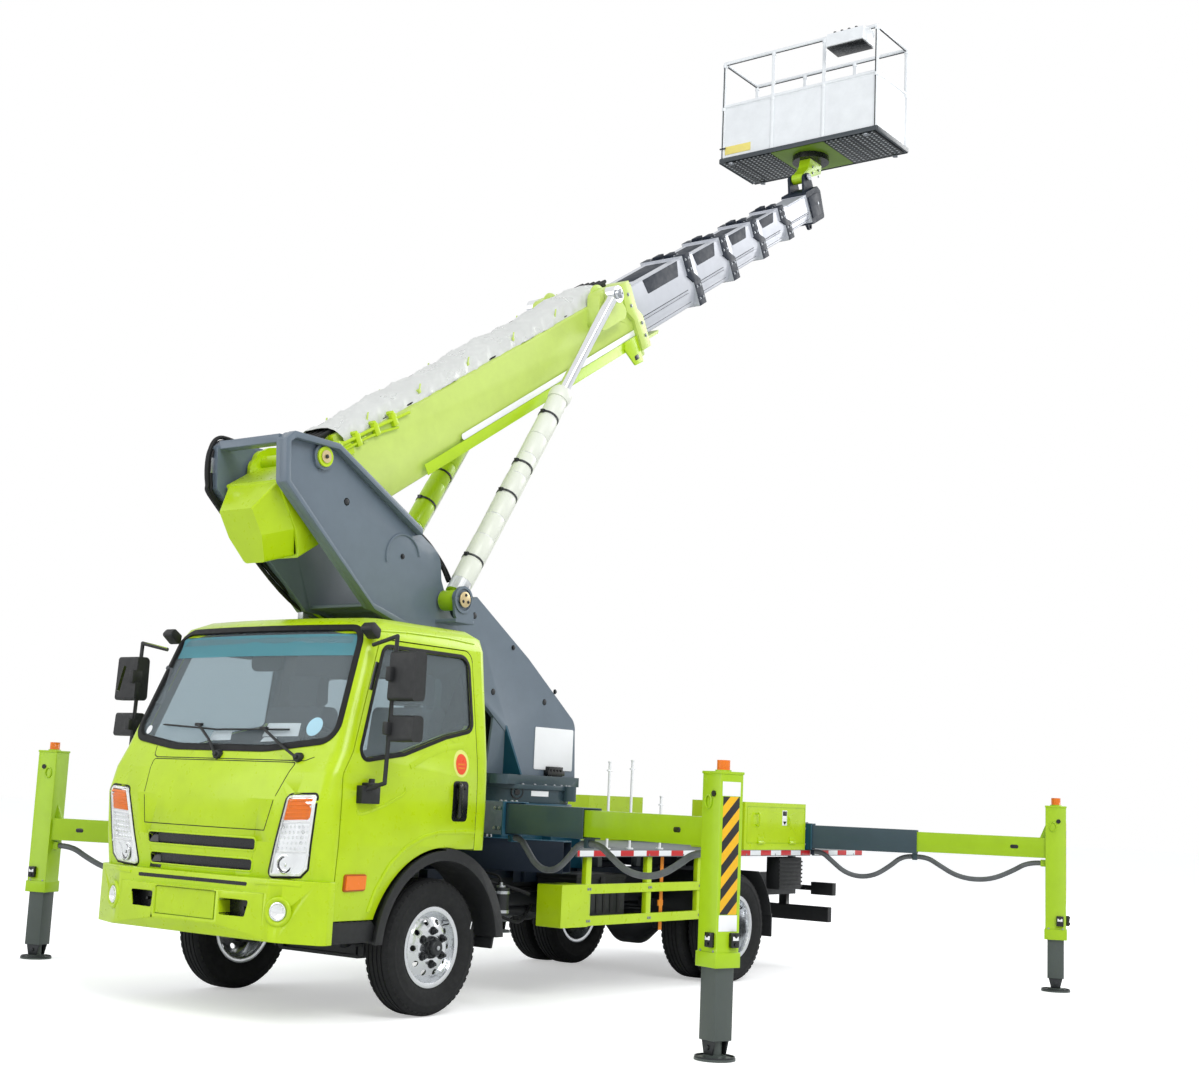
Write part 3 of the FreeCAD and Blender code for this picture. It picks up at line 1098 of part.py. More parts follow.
def lift_cylinders():
    """Pair of barrels and pair of rods from the turret ears to the boom's brackets."""
    angle = math.radians(BOOM_ELEVATION_DEG)
    top_x = PIVOT_X - LIFT_PIN_S * math.cos(angle) + LIFT_PIN_T * math.sin(angle)
    top_z = PIVOT_Z + LIFT_PIN_S * math.sin(angle) + LIFT_PIN_T * math.cos(angle)
    low, high = V(FOOT_PIN_X, 0, FOOT_PIN_Z), V(top_x, 0, top_z)
    line = (high - low).normalize()

    def at(distance, y):
        point = low + line * distance
        return (point.x, y, point.z)
    barrels, rods = [], []
    length = (high - low).Length
    for side in (1, -1):
        y = side * LIFT_LANE_Y
        barrel = tube(BARREL_RADIUS, ROD_RADIUS + 4, at(105, y), at(BARREL_LENGTH, y))
        plug = cyl(BARREL_RADIUS, at(58, y), at(110, y))
        gland = tube(BARREL_RADIUS + 7, ROD_RADIUS + 0.1, at(BARREL_LENGTH - 70, y),
                     at(BARREL_LENGTH, y))
        neck = cyl(44, at(30, y), at(80, y))
        bore = cyl(32.1, (low.x, y - 60, low.z), (low.x, y + 60, low.z))
        eye = tube(66, 32.1, (low.x, y - 62, low.z), (low.x, y + 62, low.z))
        foot = fuse([eye, neck, plug]).cut(bore)
        barrels.append(fuse([foot, barrel, gland]))
        rod = cyl(ROD_RADIUS, at(ROD_TIP, y), at(length - 60, y))
        rod_eye = cyl(64, (high.x, y - 45.5, high.z), (high.x, y + 45.5, high.z))
        cap = cyl(30, (high.x, y - 45, high.z), (high.x, y + side * 60, high.z))
        rods.append(fuse([rod, rod_eye, cap]))
    return group(barrels), group(rods)


# ---------------------------------------------------------------- basket
def basket_bracket():
    """Bracket from the levelling pin up to the basket's turntable."""
    pin_x, pin_z = head_pin()
    top = BASKET_FLOOR_Z - 62
    eye = tube(48, 22.1, (pin_x, -56, pin_z), (pin_x, 56, pin_z))
    stem = slab([(pin_x - 45, pin_z + 10), (pin_x + 45, pin_z + 10), (BASKET_X + 130, top - 90, 30),
                 (BASKET_X + 110, top), (BASKET_X - 110, top), (BASKET_X - 95, top - 90, 30)],
                "XZ", -56, 56)
    stem = stem.cut(cyl(22.1, (pin_x, -80, pin_z), (pin_x, 80, pin_z)))
    window = box(BASKET_X - 60, BASKET_X + 70, -38, 38, top - 110, top - 14)
    disc = cyl(170, (BASKET_X, 0, top - 1), (BASKET_X, 0, top + 26))
    return fuse([eye, stem.cut(window), disc])


def basket_floor():
    """Turntable disc, centre plate, floor frame and tread plates."""
    half_l, half_w = BASKET_LENGTH / 2, BASKET_WIDTH / 2
    cx, z = BASKET_X - 30, BASKET_FLOOR_Z
    disc = cyl(150, (BASKET_X, 0, z - 35.7), (BASKET_X, 0, z + 1))
    floor = slab([(cx - half_w, -half_l, 10), (cx - half_w, half_l, 10), (cx + half_w, half_l, 10),
                  (cx + half_w, -half_l, 10)], "XY", z, z + 36)
    pockets = []
    for y0, y1 in ((-half_l + 30, -280), (280, half_l - 30)):
        pockets.append(box(cx - half_w + 30, cx + half_w - 30, y0, y1, z - 1, z + 32))
    for pocket in pockets:
        floor = floor.cut(pocket)
    feet = []
    for fx in (cx - half_w + 24, cx + half_w - 24):
        for fy in (-half_l + 120, half_l - 120):
            feet.append(cyl(20, (fx, fy, z - 30), (fx, fy, z + 2)))
    return fuse([disc, floor] + feet)


def basket_rails():
    """Tubular guard rails, kick panels, gate and the control box."""
    half_l, half_w = BASKET_LENGTH / 2 - 22, BASKET_WIDTH / 2 - 22
    cx, z = BASKET_X - 30, BASKET_FLOOR_Z + 36
    top = BASKET_FLOOR_Z + BASKET_HEIGHT
    r = RAIL_TUBE_RADIUS
    corners = [(cx - half_w, -half_l), (cx - half_w, half_l), (cx + half_w, half_l),
               (cx + half_w, -half_l)]
    pieces = []
    for level in (top - r, z + 520):
        for i in range(4):
            (x0, y0), (x1, y1) = corners[i], corners[(i + 1) % 4]
            pieces.append(cyl(r, (x0, y0, level), (x1, y1, level)))
        for x0, y0 in corners:
            pieces.append(Part.makeSphere(r * 1.01, V(x0, y0, level)))
    posts = corners + [(cx + s * half_w, y) for s in (1, -1) for y in (-half_l / 3, half_l / 3)]
    for x0, y0 in posts:
        pieces.append(cyl(r, (x0, y0, z), (x0, y0, top - r)))
    panel_top = z + 500
    for s in (1, -1):
        pieces.append(box(cx + s * (half_w - 3), cx + s * (half_w + 3), -half_l, half_l, z, panel_top))
        pieces.append(box(cx - half_w, cx + half_w, s * (half_l - 3), s * (half_l + 3), z, panel_top))
    control = slab([(cx + half_w - 60, top - 190, 12), (cx + half_w + 170, top - 190, 12),
                    (cx + half_w + 150, top - 60, 12), (cx + half_w - 60, top - 20, 12)],
                   "XZ", half_l - 430, half_l - 60)
    pieces.append(control)
    return fuse(pieces)


# ---------------------------------------------------------------- assembly
def build():
    """All sub-parts by node name."""
    parts = {"chassis_frame": chassis_frame(), "axles": axles(), "engine_block": engine_block()}
    shell, glass, doors, door_glass, lamps = cab_parts()
    flares, step, inner = arch_flares()
    step = fuse([step, inner])
    parts.update({
        "cab_shell": shell, "cab_glass": glass, "head_lamps": lamps,
        "arch_flares": group([flares, step, mirrored(step)]),
        "front_bumper": front_bumper(), "cab_interior": cab_interior(),
        "steering_wheel": steering_wheel(), "deck": deck(), "tool_boxes": tool_boxes(),
        "side_guards": side_guards(), "rear_guards": rear_guards(),
    })
    for name, side in SIDES.items():
        parts["door_" + name] = doors[name]
        parts["door_glass_" + name] = door_glass[name]
        parts["knuckle_" + name] = knuckle(side)
        parts["tyre_front_" + name], parts["rim_front_" + name] = front_wheel(side)
        parts["tyres_rear_" + name], parts["rims_rear_" + name] = rear_wheels(side)
    housings = []
    for name, leg in LEGS.items():
        housing, stage1, stage2, jack, strokes = outrigger(leg)
        housings.append(housing)
        parts["outrigger_stage1_" + name] = stage1
        parts["outrigger_leg_" + name] = stage2
        parts["outrigger_jack_" + name] = jack
        parts["outrigger_hose_" + name] = group(hose(leg))
        print(name, "strokes", [round(value, 1) for value in strokes])
    parts["outrigger_housings"] = group(housing_pairs(housings))
    plates, tower, cap, ring, ribs = pedestal()
    parts["pedestal"] = fuse(plates + [tower, cap, ring] + ribs).cut(
        Part.makeCompound([beam_room(leg, 0.3) for leg in LEGS.values()]))
    parts["turret_base"] = turret_base()
    parts["turret_arm"] = turret_arm()
    parts["boom_base"] = raised(boom_base())
    for number, height, width, end in SECTIONS:
        parts["boom_section_%d" % number] = raised(boom_section(number, height, width, end))
    parts["lift_barrels"], parts["lift_rods"] = lift_cylinders()
    parts["basket_bracket"] = basket_bracket()
    parts["basket_floor"] = basket_floor()
    parts["basket_rails"] = basket_rails()
    return parts


def housing_pairs(housings):
    """Front and rear housings, each upper one joined to the lower one by a spacer plate."""
    pairs = []
    names = list(LEGS)
    for upper, lower in (("front_left", "front_right"), ("rear_left", "rear_right")):
        top = LEGS[upper]["z"] - housing_size(STAGE1_HEIGHT) / 2
        low = LEGS[lower]["z"] + housing_size(STAGE1_HEIGHT) / 2
        x = LEGS[upper]["x"]
        spacer = box(x - SPACER, x + SPACER, -SPACER, SPACER, low - 1, top + 1)
        pairs.append(fuse([housings[names.index(upper)], housings[names.index(lower)], spacer]))
    return pairs


def beam_room(leg, margin):
    """Block round one housing, used to notch what it passes through."""
    half_w = housing_size(STAGE1_WIDTH) / 2 + margin
    half_h = housing_size(STAGE1_HEIGHT) / 2 + margin
    body = box(-half_w, half_w, along(leg, -leg["inner"]) - margin, along(leg, HOUSING_END_Y) + 60,
               -half_h, half_h)
    return beam_frame(leg, body)


def main():
    """Write one STEP file for each sub-part."""
    os.makedirs("parts", exist_ok=True)
    for name, shape in build().items():
        solid = moved(shape, -ORIGIN_X)
        print("%-34s solids %2d volume %10.0f cm3 valid %s" % (
            name, len(solid.Solids), solid.Volume / 1000, solid.isValid()))
        solid.exportStep("parts/%s.step" % name)


main()
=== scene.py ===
"""Looks of the cherry picker truck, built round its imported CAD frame."""

import json
import logging
from dataclasses import dataclass, field
from enum import Enum
from functools import partial
from math import ceil, cos, hypot, radians, sin, tan, tau
from typing import Callable, ClassVar, Iterable, Optional, Sequence

import bmesh
import bpy
from mathutils import Matrix, Vector
from mathutils.bvhtree import BVHTree

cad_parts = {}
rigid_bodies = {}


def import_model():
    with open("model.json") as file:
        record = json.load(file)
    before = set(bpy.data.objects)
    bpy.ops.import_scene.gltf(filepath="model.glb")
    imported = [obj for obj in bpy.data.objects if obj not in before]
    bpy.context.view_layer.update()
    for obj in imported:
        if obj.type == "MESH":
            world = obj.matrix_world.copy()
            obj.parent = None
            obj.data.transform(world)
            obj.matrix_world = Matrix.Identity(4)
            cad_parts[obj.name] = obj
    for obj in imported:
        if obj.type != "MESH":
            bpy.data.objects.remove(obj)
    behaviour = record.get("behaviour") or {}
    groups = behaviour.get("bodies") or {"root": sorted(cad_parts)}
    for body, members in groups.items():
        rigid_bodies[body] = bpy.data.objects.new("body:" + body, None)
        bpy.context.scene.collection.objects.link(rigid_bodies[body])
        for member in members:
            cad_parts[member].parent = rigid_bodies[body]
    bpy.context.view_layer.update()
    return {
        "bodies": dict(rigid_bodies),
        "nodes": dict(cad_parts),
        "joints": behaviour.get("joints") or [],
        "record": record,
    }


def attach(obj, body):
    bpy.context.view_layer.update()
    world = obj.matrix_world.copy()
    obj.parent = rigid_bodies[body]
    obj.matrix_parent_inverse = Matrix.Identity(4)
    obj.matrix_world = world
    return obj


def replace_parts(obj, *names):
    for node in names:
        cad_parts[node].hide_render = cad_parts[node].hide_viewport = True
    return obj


LOG = logging.getLogger("truck")
Point = Sequence[float]
Socket = bpy.types.NodeSocket
Mesh = bmesh.types.BMesh
SIDES = {"left": 1, "right": -1}

# ---- shared dimensions, millimetres of the vehicle's own frame (front axle at X = 0)
ORIGIN_X = -2475.0
WHEELBASE = 3260.0
TYRE_RADIUS = 386.0
FRONT_TYRE_Y, REAR_OUTER_TYRE_Y, TWIN_SPACING = 782.0, 827.0, 236.0
SLEW_X, RING_LOW_Z = -1550.0, 1215.0
PIVOT_X, PIVOT_Z, BOOM_ELEVATION = 560.0, 3190.0, radians(32.0)
BOOM_AXIS_DROP, BASE_HEIGHT, BASE_WIDTH = 250.0, 470.0, 420.0
BASE_COLLAR_S = 3710.0
FOOT_PIN, LIFT_LANE_Y, LIFT_PIN_S, LIFT_PIN_T = (-580.0, 2470.0), 360.0, 3240.0, 10.0
BASKET_X, BASKET_FLOOR_Z = -5700.0, 7260.0
BASKET_LENGTH, BASKET_WIDTH, BASKET_HEIGHT = 1650.0, 640.0, 1010.0
DECK_TOP = 938.0
STAGE1_HEIGHT, STAGE1_WIDTH, LEG_WIDTH, LEG_LENGTH = 175.0, 130.0, 148.0, 975.0
HOUSING_END_Y, STAGE1_END_Y, CLIP_LENGTH, HOSE_RADIUS = 950.0, 1700.0, 36.0, 19.0


# ---------------------------------------------------------------- finishes
class Surface(Enum):
    """What kind of surface a finish describes."""

    PAINT = "paint"
    METAL = "metal"
    PLASTIC = "plastic"
    RUBBER = "rubber"
    GLASS = "glass"
    FILM = "film"
    STRIPES = "stripes"
    TAPE = "tape"
    TREAD = "tread"
    MESH = "mesh"


def linear(colour: str) -> tuple[float, float, float, float]:
    """Linear RGBA of an sRGB hex colour.

    Args:
        colour: six hex digits.

    Returns:
        Linear red, green, blue and an alpha of one.
    """
    values = [int(colour[i:i + 2], 16) / 255 for i in (0, 2, 4)]
    return tuple(v / 12.92 if v <= 0.04045 else ((v + 0.055) / 1.055) ** 2.4 for v in values) + (1.0,)


@dataclass(frozen=True)
class Finish:
    """One procedural finish and the record slot it belongs to."""

    name: str
    surface: Surface
    colour: str
    slot: str
    second: str = "000000"
    roughness: float = 0.4
    metallic: float = 0.0
    grain: float = 60.0
    mottle: float = 0.06
    bump: float = 0.02
    scale: float = 1.0
    made: ClassVar[dict] = {}

    def material(self) -> bpy.types.Material:
        """The Blender material of this finish, made once.

        Returns:
            The material.
        """
        if self.name in Finish.made:
            return Finish.made[self.name]
        material = bpy.data.materials.new(self.name)
        material.use_nodes = True
        Graph(material, self).fill()
        Finish.made[self.name] = material
        return material


@dataclass
class Graph:
    """Node graph of one finish."""

    material: bpy.types.Material
    finish: Finish

    def node(self, kind: str, **values: object) -> bpy.types.Node:
        """A node of a kind, with properties or input values set.

        Args:
            kind: the type of node.
            **values: properties and inputs to set.

        Returns:
            The new node.
        """
        made = self.material.node_tree.nodes.new(kind)
        for key, value in values.items():
            if hasattr(made, key):
                setattr(made, key, value)
            else:
                made.inputs[key.replace("_", " ")].default_value = value
        return made

    def link(self, start: Socket, end: Socket) -> None:
        """Join two sockets."""
        self.material.node_tree.links.new(start, end)

    def coords(self) -> Socket:
        """Object coordinates, in metres."""
        return self.node("ShaderNodeTexCoord").outputs["Object"]

    def noise(self, scale: float, detail: float = 3.0) -> Socket:
        """A noise value over the object's own space.

        Args:
            scale: cells to the metre.
            detail: octaves.

        Returns:
            The socket with the value.
        """
        made = self.node("ShaderNodeTexNoise", Scale=scale, Detail=detail, Roughness=0.6)
        self.link(self.coords(), made.inputs["Vector"])
        return made.outputs["Fac"]

    def ramp(self, value: Socket, low: float, high: float) -> Socket:
        """A value spread to a range.

        Args:
            value: socket to spread.
            low: value for 0.3 and less.
            high: value for 0.7 and more.

        Returns:
            The socket with the spread value.
        """
        made = self.node("ShaderNodeMapRange")
        for i, number in enumerate((0.3, 0.7, low, high)):
            made.inputs[i + 1].default_value = number
        self.link(value, made.inputs[0])
        return made.outputs[0]

    def mix(self, factor: Socket, first: Point, second: Point) -> Socket:
        """A colour mixed by a value.

        Args:
            factor: socket of the share.
            first: colour at 0.
            second: colour at 1.

        Returns:
            The socket with the colour.
        """
        made = self.node("ShaderNodeMix", data_type="RGBA")
        made.inputs[6].default_value = first
        made.inputs[7].default_value = second
        self.link(factor, made.inputs[0])
        return made.outputs[2]

    def math(self, operation: str, *values: object) -> Socket:
        """A math node over sockets and numbers.

        Args:
            operation: what the node does.
            *values: sockets or numbers.

        Returns:
            The socket with the result.
        """
        made = self.node("ShaderNodeMath", operation=operation)
        for i, value in enumerate(values):
            if isinstance(value, (int, float)):
                made.inputs[i].default_value = value
            else:
                self.link(value, made.inputs[i])
        return made.outputs[0]

    def axes(self) -> list:
        """The three object coordinates as values.

        Returns:
            Sockets of x, y and z.
        """
        split = self.node("ShaderNodeSeparateXYZ")
        self.link(self.coords(), split.inputs[0])
        return list(split.outputs)

    def pattern(self) -> Optional[Socket]:
        """The 0 to 1 pattern of a two-colour finish.

        Returns:
            The socket, or None for a plain finish.
        """
        f = self.finish
        if f.surface is Surface.STRIPES:
            x, y, z = self.axes()
            slant = self.math("ADD", z, self.math("MULTIPLY", x, 1.4))
            slant = self.math("ADD", slant, self.math("MULTIPLY", y, f.scale))
            return self.math("GREATER_THAN", self.math("FRACT", self.math("DIVIDE", slant, 0.118)), 0.5)
        if f.surface is Surface.TAPE:
            x, y, _ = self.axes()
            run = self.math("ADD", x, self.math("MULTIPLY", y, 0.0 if f.scale else 1.0))
            return self.math("GREATER_THAN", self.math("FRACT", self.math("DIVIDE", run, 0.3)), 0.5)
        if f.surface is Surface.MESH:
            x, y, _ = self.axes()
            cells = [self.math("GREATER_THAN", self.math("FRACT", self.math("MULTIPLY", axis, f.scale)), 0.58)
                     for axis in (x, y)]
            return self.math("MULTIPLY", *cells)
        return None

    def relief(self) -> Socket:
        """The height that drives the bump.

        Returns:
            The socket with the height.
        """
        f = self.finish
        if f.surface is Surface.TREAD:
            x, y, _ = self.axes()
            u, v = self.math("ADD", x, y), self.math("SUBTRACT", x, y)
            waves = []
            for along, across in ((u, v), (v, u)):
                bar = self.math("ABSOLUTE", self.math("SINE", self.math("MULTIPLY", along, 60.0)))
                tip = self.math("GREATER_THAN", self.math("SINE", self.math("MULTIPLY", across, 120.0)), 0.1)
                waves.append(self.math("MULTIPLY", self.math("GREATER_THAN", bar, 0.9), tip))
            return self.math("MAXIMUM", *waves)
        return self.noise(f.grain * 6, 4.0)

    def fill(self) -> None:
        """Build the graph."""
        f = self.finish
        tree = self.material.node_tree
        shader = tree.nodes["Principled BSDF"]
        base = linear(f.colour)
        if f.surface is Surface.GLASS:
            shader.inputs["Base Color"].default_value = base
            shader.inputs["Transmission Weight"].default_value = f.scale
            shader.inputs["IOR"].default_value = 1.12
            shader.inputs["Alpha"].default_value = 1.0
            self.link(self.ramp(self.noise(1.5), f.roughness, f.roughness + 0.015),
                      shader.inputs["Roughness"])
            return
        shader.inputs["Metallic"].default_value = f.metallic
        if f.surface is Surface.PAINT:
            shader.inputs["Specular IOR Level"].default_value = 0.35
            shader.inputs["Coat Weight"].default_value = 0.2
            shader.inputs["Coat Roughness"].default_value = 0.1
        if f.surface is Surface.RUBBER:
            shader.inputs["Specular IOR Level"].default_value = 0.3
        if f.surface is Surface.FILM:
            shader.inputs["Transmission Weight"].default_value = 0.25
        shade = tuple(c * (1 - f.mottle) for c in base[:3]) + (1.0,)
        tint = tuple(min(1.0, c * (1 + f.mottle * 0.5)) for c in base[:3]) + (1.0,)
        colour = self.mix(self.ramp(self.noise(f.grain * 0.12, 4.0), 0.0, 1.0), shade, tint)
        cells = self.pattern()
        if cells is not None:
            blend = self.node("ShaderNodeMix", data_type="RGBA")
            self.link(cells, blend.inputs[0])
            self.link(colour, blend.inputs[6])
            blend.inputs[7].default_value = linear(f.second)
            colour = blend.outputs[2]
        self.link(colour, shader.inputs["Base Color"])
        spread = 0.08 if f.surface is Surface.PAINT else 0.14
        self.link(self.ramp(self.noise(f.grain * 0.4), f.roughness, min(1.0, f.roughness + spread)),
                  shader.inputs["Roughness"])
        bump = self.node("ShaderNodeBump", Strength=f.bump, Distance=0.002)
        self.link(self.relief(), bump.inputs["Height"])
        self.link(bump.outputs[0], shader.inputs["Normal"])


PAINT, METAL, PLASTIC, RUBBER = Surface.PAINT, Surface.METAL, Surface.PLASTIC, Surface.RUBBER
LIME = Finish("lime_gloss", PAINT, "B9D80F", "lime_paint", roughness=0.26)
LIME_BOOM = Finish("lime_boom_satin", PAINT, "C3DA68", "lime_paint", roughness=0.36)
LIME_DEEP = Finish("lime_leg_satin", PAINT, "A6CC12", "lime_paint", roughness=0.34)
SLATE = Finish("slate_satin", PAINT, "66737F", "slate_paint", roughness=0.38)
SLATE_DARK = Finish("slate_dark_satin", PAINT, "33474F", "dark_slate_paint", roughness=0.4)
TEAL = Finish("teal_dark_satin", PAINT, "12485C", "dark_teal_paint", roughness=0.4)
SILVER = Finish("silver_satin", PAINT, "C6C9D0", "silver_paint", roughness=0.34, metallic=0.3)
WHITE = Finish("white_gloss", PAINT, "F2F3F4", "white_paint", roughness=0.3, mottle=0.03)
CHASSIS = Finish("chassis_satin", PAINT, "202326", "chassis_black", roughness=0.5)
CAST = Finish("cast_grey", METAL, "6C7072", "engine_grey", roughness=0.55, metallic=0.5, bump=0.25)
STEEL = Finish("bright_steel", METAL, "B9BCC0", "chrome", roughness=0.28, metallic=0.9)
CHROME = Finish("hard_chrome", METAL, "E4E6E8", "chrome", roughness=0.1, metallic=1.0, bump=0.01)
ZINC = Finish("zinc_bolt", METAL, "9FA3A8", "chrome", roughness=0.4, metallic=0.8)
TRIM = Finish("black_moulded", PLASTIC, "17191B", "black_plastic", roughness=0.5, bump=0.12)
GLOSS_BLACK = Finish("black_gloss_moulded", PLASTIC, "0E1012", "black_plastic", roughness=0.2)
INTERIOR = Finish("grained_trim", PLASTIC, "55585C", "interior_grey", roughness=0.65, bump=0.3)
TYRE = Finish("tyre_rubber", RUBBER, "1E1F20", "tyre", roughness=0.7, grain=90, mottle=0.18, bump=0.25)
SEAL = Finish("seal_rubber", RUBBER, "0F1011", "black_plastic", roughness=0.55)
HOSE = Finish("hose_rubber", RUBBER, "686B6E", "hose", roughness=0.6, mottle=0.3, bump=0.3)
HOSE_BLACK = Finish("hose_black", RUBBER, "17181A", "hose", roughness=0.5)
GLASS = Finish("tinted_glass", Surface.GLASS, "C9D5DA", "glass", roughness=0.0, scale=0.87)
LENS = Finish("lamp_lens_clear", Surface.GLASS, "FFFFFF", "lamp_lens", roughness=0.0)
AMBER = Finish("amber_lens", PLASTIC, "F07A12", "lamp_lens", roughness=0.15)
RED_LENS = Finish("red_lens", PLASTIC, "B5140F", "lamp_lens", roughness=0.15)
FILM = Finish("wrapping_film", Surface.FILM, "EEF0EC", "white_paint", roughness=0.25, grain=14, bump=0.9)
TAPE = Finish("reflective_tape", Surface.TAPE, "C4161C", "white_paint", second="E9ECEE", roughness=0.3)
DECK = Finish("chequer_plate", Surface.TREAD, "6F7577", "deck_steel", roughness=0.5, metallic=0.4, bump=0.8)
FLOOR_MESH = Finish("perforated_floor", Surface.MESH, "1F2224", "dark_steel", second="A4A9AC",
                    roughness=0.5, scale=22.0)
DARK_STEEL = Finish("dark_steel_paint", PAINT, "3B4247", "dark_steel", roughness=0.45)
LABEL = Finish("blank_label", PLASTIC, "F4F5F6", "white_paint", roughness=0.35, mottle=0.02, bump=0.01)
YELLOW = Finish("yellow_plate", PLASTIC, "F0E07C", "white_paint", roughness=0.35)
ORANGE = Finish("orange_strap", PLASTIC, "E98A17", "black_plastic", roughness=0.6, grain=160, bump=0.3)
OLIVE = Finish("olive_plate", PAINT, "5C7A12", "lime_paint", roughness=0.45)
TINT = Finish("sun_band_glass", Surface.GLASS, "74B4C0", "glass", roughness=0.0, scale=0.5)
WHITE_PLASTIC = Finish("white_moulded", PLASTIC, "ECEEEF", "lamp_lens", roughness=0.2, mottle=0.02)
CRYSTAL = Finish("lamp_crystal", METAL, "F4F6F7", "lamp_lens", roughness=0.08, metallic=0.85)
ORANGE_ROUND = Finish("orange_reflector", PLASTIC, "EE4B12", "lamp_lens", roughness=0.25)
PALE_LIME = Finish("pale_lime_sticker", PLASTIC, "E6EE7C", "lime_paint", roughness=0.4)
PALE_BLUE = Finish("pale_blue_sticker", PLASTIC, "A9D4E4", "white_paint", roughness=0.35)
MIRROR_GLASS = Finish("mirror_glass", METAL, "C9D2D6", "chrome", roughness=0.04, metallic=1.0)
CHROME_RIM = Finish("rim_polished", METAL, "D5D8DB", "silver_rim", roughness=0.14, metallic=0.95)
NUT = Finish("nut_dark", METAL, "3A3C3E", "chassis_black", roughness=0.35, metallic=0.7)
JACK_GREY = Finish("jack_grey", PAINT, "4C5450", "dark_steel", roughness=0.42)
TAPE_REAR = Finish("reflective_tape_rear", Surface.TAPE, "C4161C", "white_paint", second="E9ECEE",
                   roughness=0.3, scale=0.0)
STRIPE_PANEL = Finish("leg_stripes", Surface.STRIPES, "F2B90C", "white_paint", second="17181A", scale=0.9)
LIME_TUBE = Finish("lime_tube", PAINT, "B4D81E", "lime_paint", roughness=0.3)
NAVY = Finish("navy_satin", RUBBER, "101C2B", "dark_slate_paint", roughness=0.5)
BRASS = Finish("brass_plate", METAL, "CDB98C", "chrome", roughness=0.35, metallic=0.6)
WRAP_SHADE = Finish("cylinder_wrap", PLASTIC, "E9ECDF", "white_paint", roughness=0.3, grain=10, bump=0.5)
RAIL_WHITE = Finish("basket_white", PAINT, "ECEFF1", "white_paint", roughness=0.35)
ORANGE_FRAME = Finish("orange_moulded", PLASTIC, "B4550F", "lamp_lens")


# ---------------------------------------------------------------- frames
def to_part(x: float, y: float, z: float) -> Vector:
    """Vehicle millimetres to the part's metres."""
    return Vector(((x - ORIGIN_X) / 1000, y / 1000, z / 1000))


VEHICLE = Matrix.Translation((-ORIGIN_X / 1000, 0, 0)) @ Matrix.Scale(0.001, 4)


def boom_matrix() -> Matrix:
    """Boom millimetres (s, y, t) to the part's metres.

    Returns:
        The matrix.
    """
    c, s = cos(BOOM_ELEVATION), sin(BOOM_ELEVATION)
    turn = Matrix(((-c, 0, s, PIVOT_X), (0, 1, 0, 0), (s, 0, c, PIVOT_Z), (0, 0, 0, 1)))
    return VEHICLE @ turn


BOOM = boom_matrix()


def boom_place(point: Vector) -> tuple[float, float, float]:
    """Boom millimetres (s, y, t) of a point of the part."""
    inverse = BOOM.inverted() @ point
    return inverse.x, inverse.y, inverse.z


@dataclass(frozen=True)
class Leg:
    """Where one outrigger sits."""

    name: str
    x: float
    splay: float
    leg_y: float
    z: float
    side: int
    top: float

    def matrix(self) -> Matrix:
        """Beam millimetres (across, along, up) to the part's metres.

        Returns:
            The matrix.
        """
        c, s = cos(radians(self.splay)), sin(radians(self.splay))
        turn = Matrix(((c, s, 0, self.x), (-s * self.side, c * self.side, 0, 0), (0, 0, 1, self.z),
                       (0, 0, 0, 1)))
        return VEHICLE @ turn

    def along(self, y: float) -> float:
        """Distance along the beam at a given y."""
        return y / cos(radians(self.splay))


LEGS = (
    Leg("front_left", -908.0, 18.0, 2780.0, 1125.0, 1, 1430.0),
    Leg("front_right", -908.0, 18.0, 2780.0, 890.0, -1, 1430.0),
    Leg("rear_left", -3972.0, -20.0, 2660.0, 1040.0, 1, 1350.0),
    Leg("rear_right", -3972.0, -20.0, 2660.0, 830.8, -1, 1350.0),
)


@dataclass(frozen=True)
class Section:
    """Sizes of one telescopic section, and where its collar ends along the boom."""

    number: int
    height: float
    width: float
    end: float


SECTIONS = tuple(Section(*row) for row in (
    (2, 410.0, 376.0, 4710.0), (3, 366.0, 336.0, 5360.0), (4, 324.0, 298.0, 5960.0),
    (5, 284.0, 262.0, 6520.0), (6, 246.0, 228.0, 7140.0)))


# ---------------------------------------------------------------- outlines
class Plane(Enum):
    """A plane that outlines are drawn in: which of u, v and w gives x, y and z."""

    XY = (0, 1, 2)
    XZ = (0, 2, 1)
    YZ = (2, 0, 1)

    def point(self, u: float, v: float, w: float) -> Vector:
        """The point at (u, v) of the plane and w along its normal."""
        return Vector([(u, v, w)[i] for i in self.value])

    def depth(self, point: Vector) -> float:
        """How far along the normal a point lies."""
        return point[self.value.index(2)]


XY, XZ, YZ = Plane


def spline(path: Sequence[Vector], steps: int) -> list[Vector]:
    """Catmull-Rom points through a path.

    Args:
        path: points to go through.
        steps: pieces between two points.

    Returns:
        The points of the curve.
    """
    padded = [path[0] * 2 - path[1]] + list(path) + [path[-1] * 2 - path[-2]]
    result = []
    for a, b, c, d in zip(padded, padded[1:], padded[2:], padded[3:]):
        for k in range(steps):
            t = k / steps
            result.append(0.5 * (2 * b + (c - a) * t + (2 * a - 5 * b + 4 * c - d) * t * t
                                 + (3 * b - a - 3 * c + d) * t ** 3))
    return result + [path[-1]]


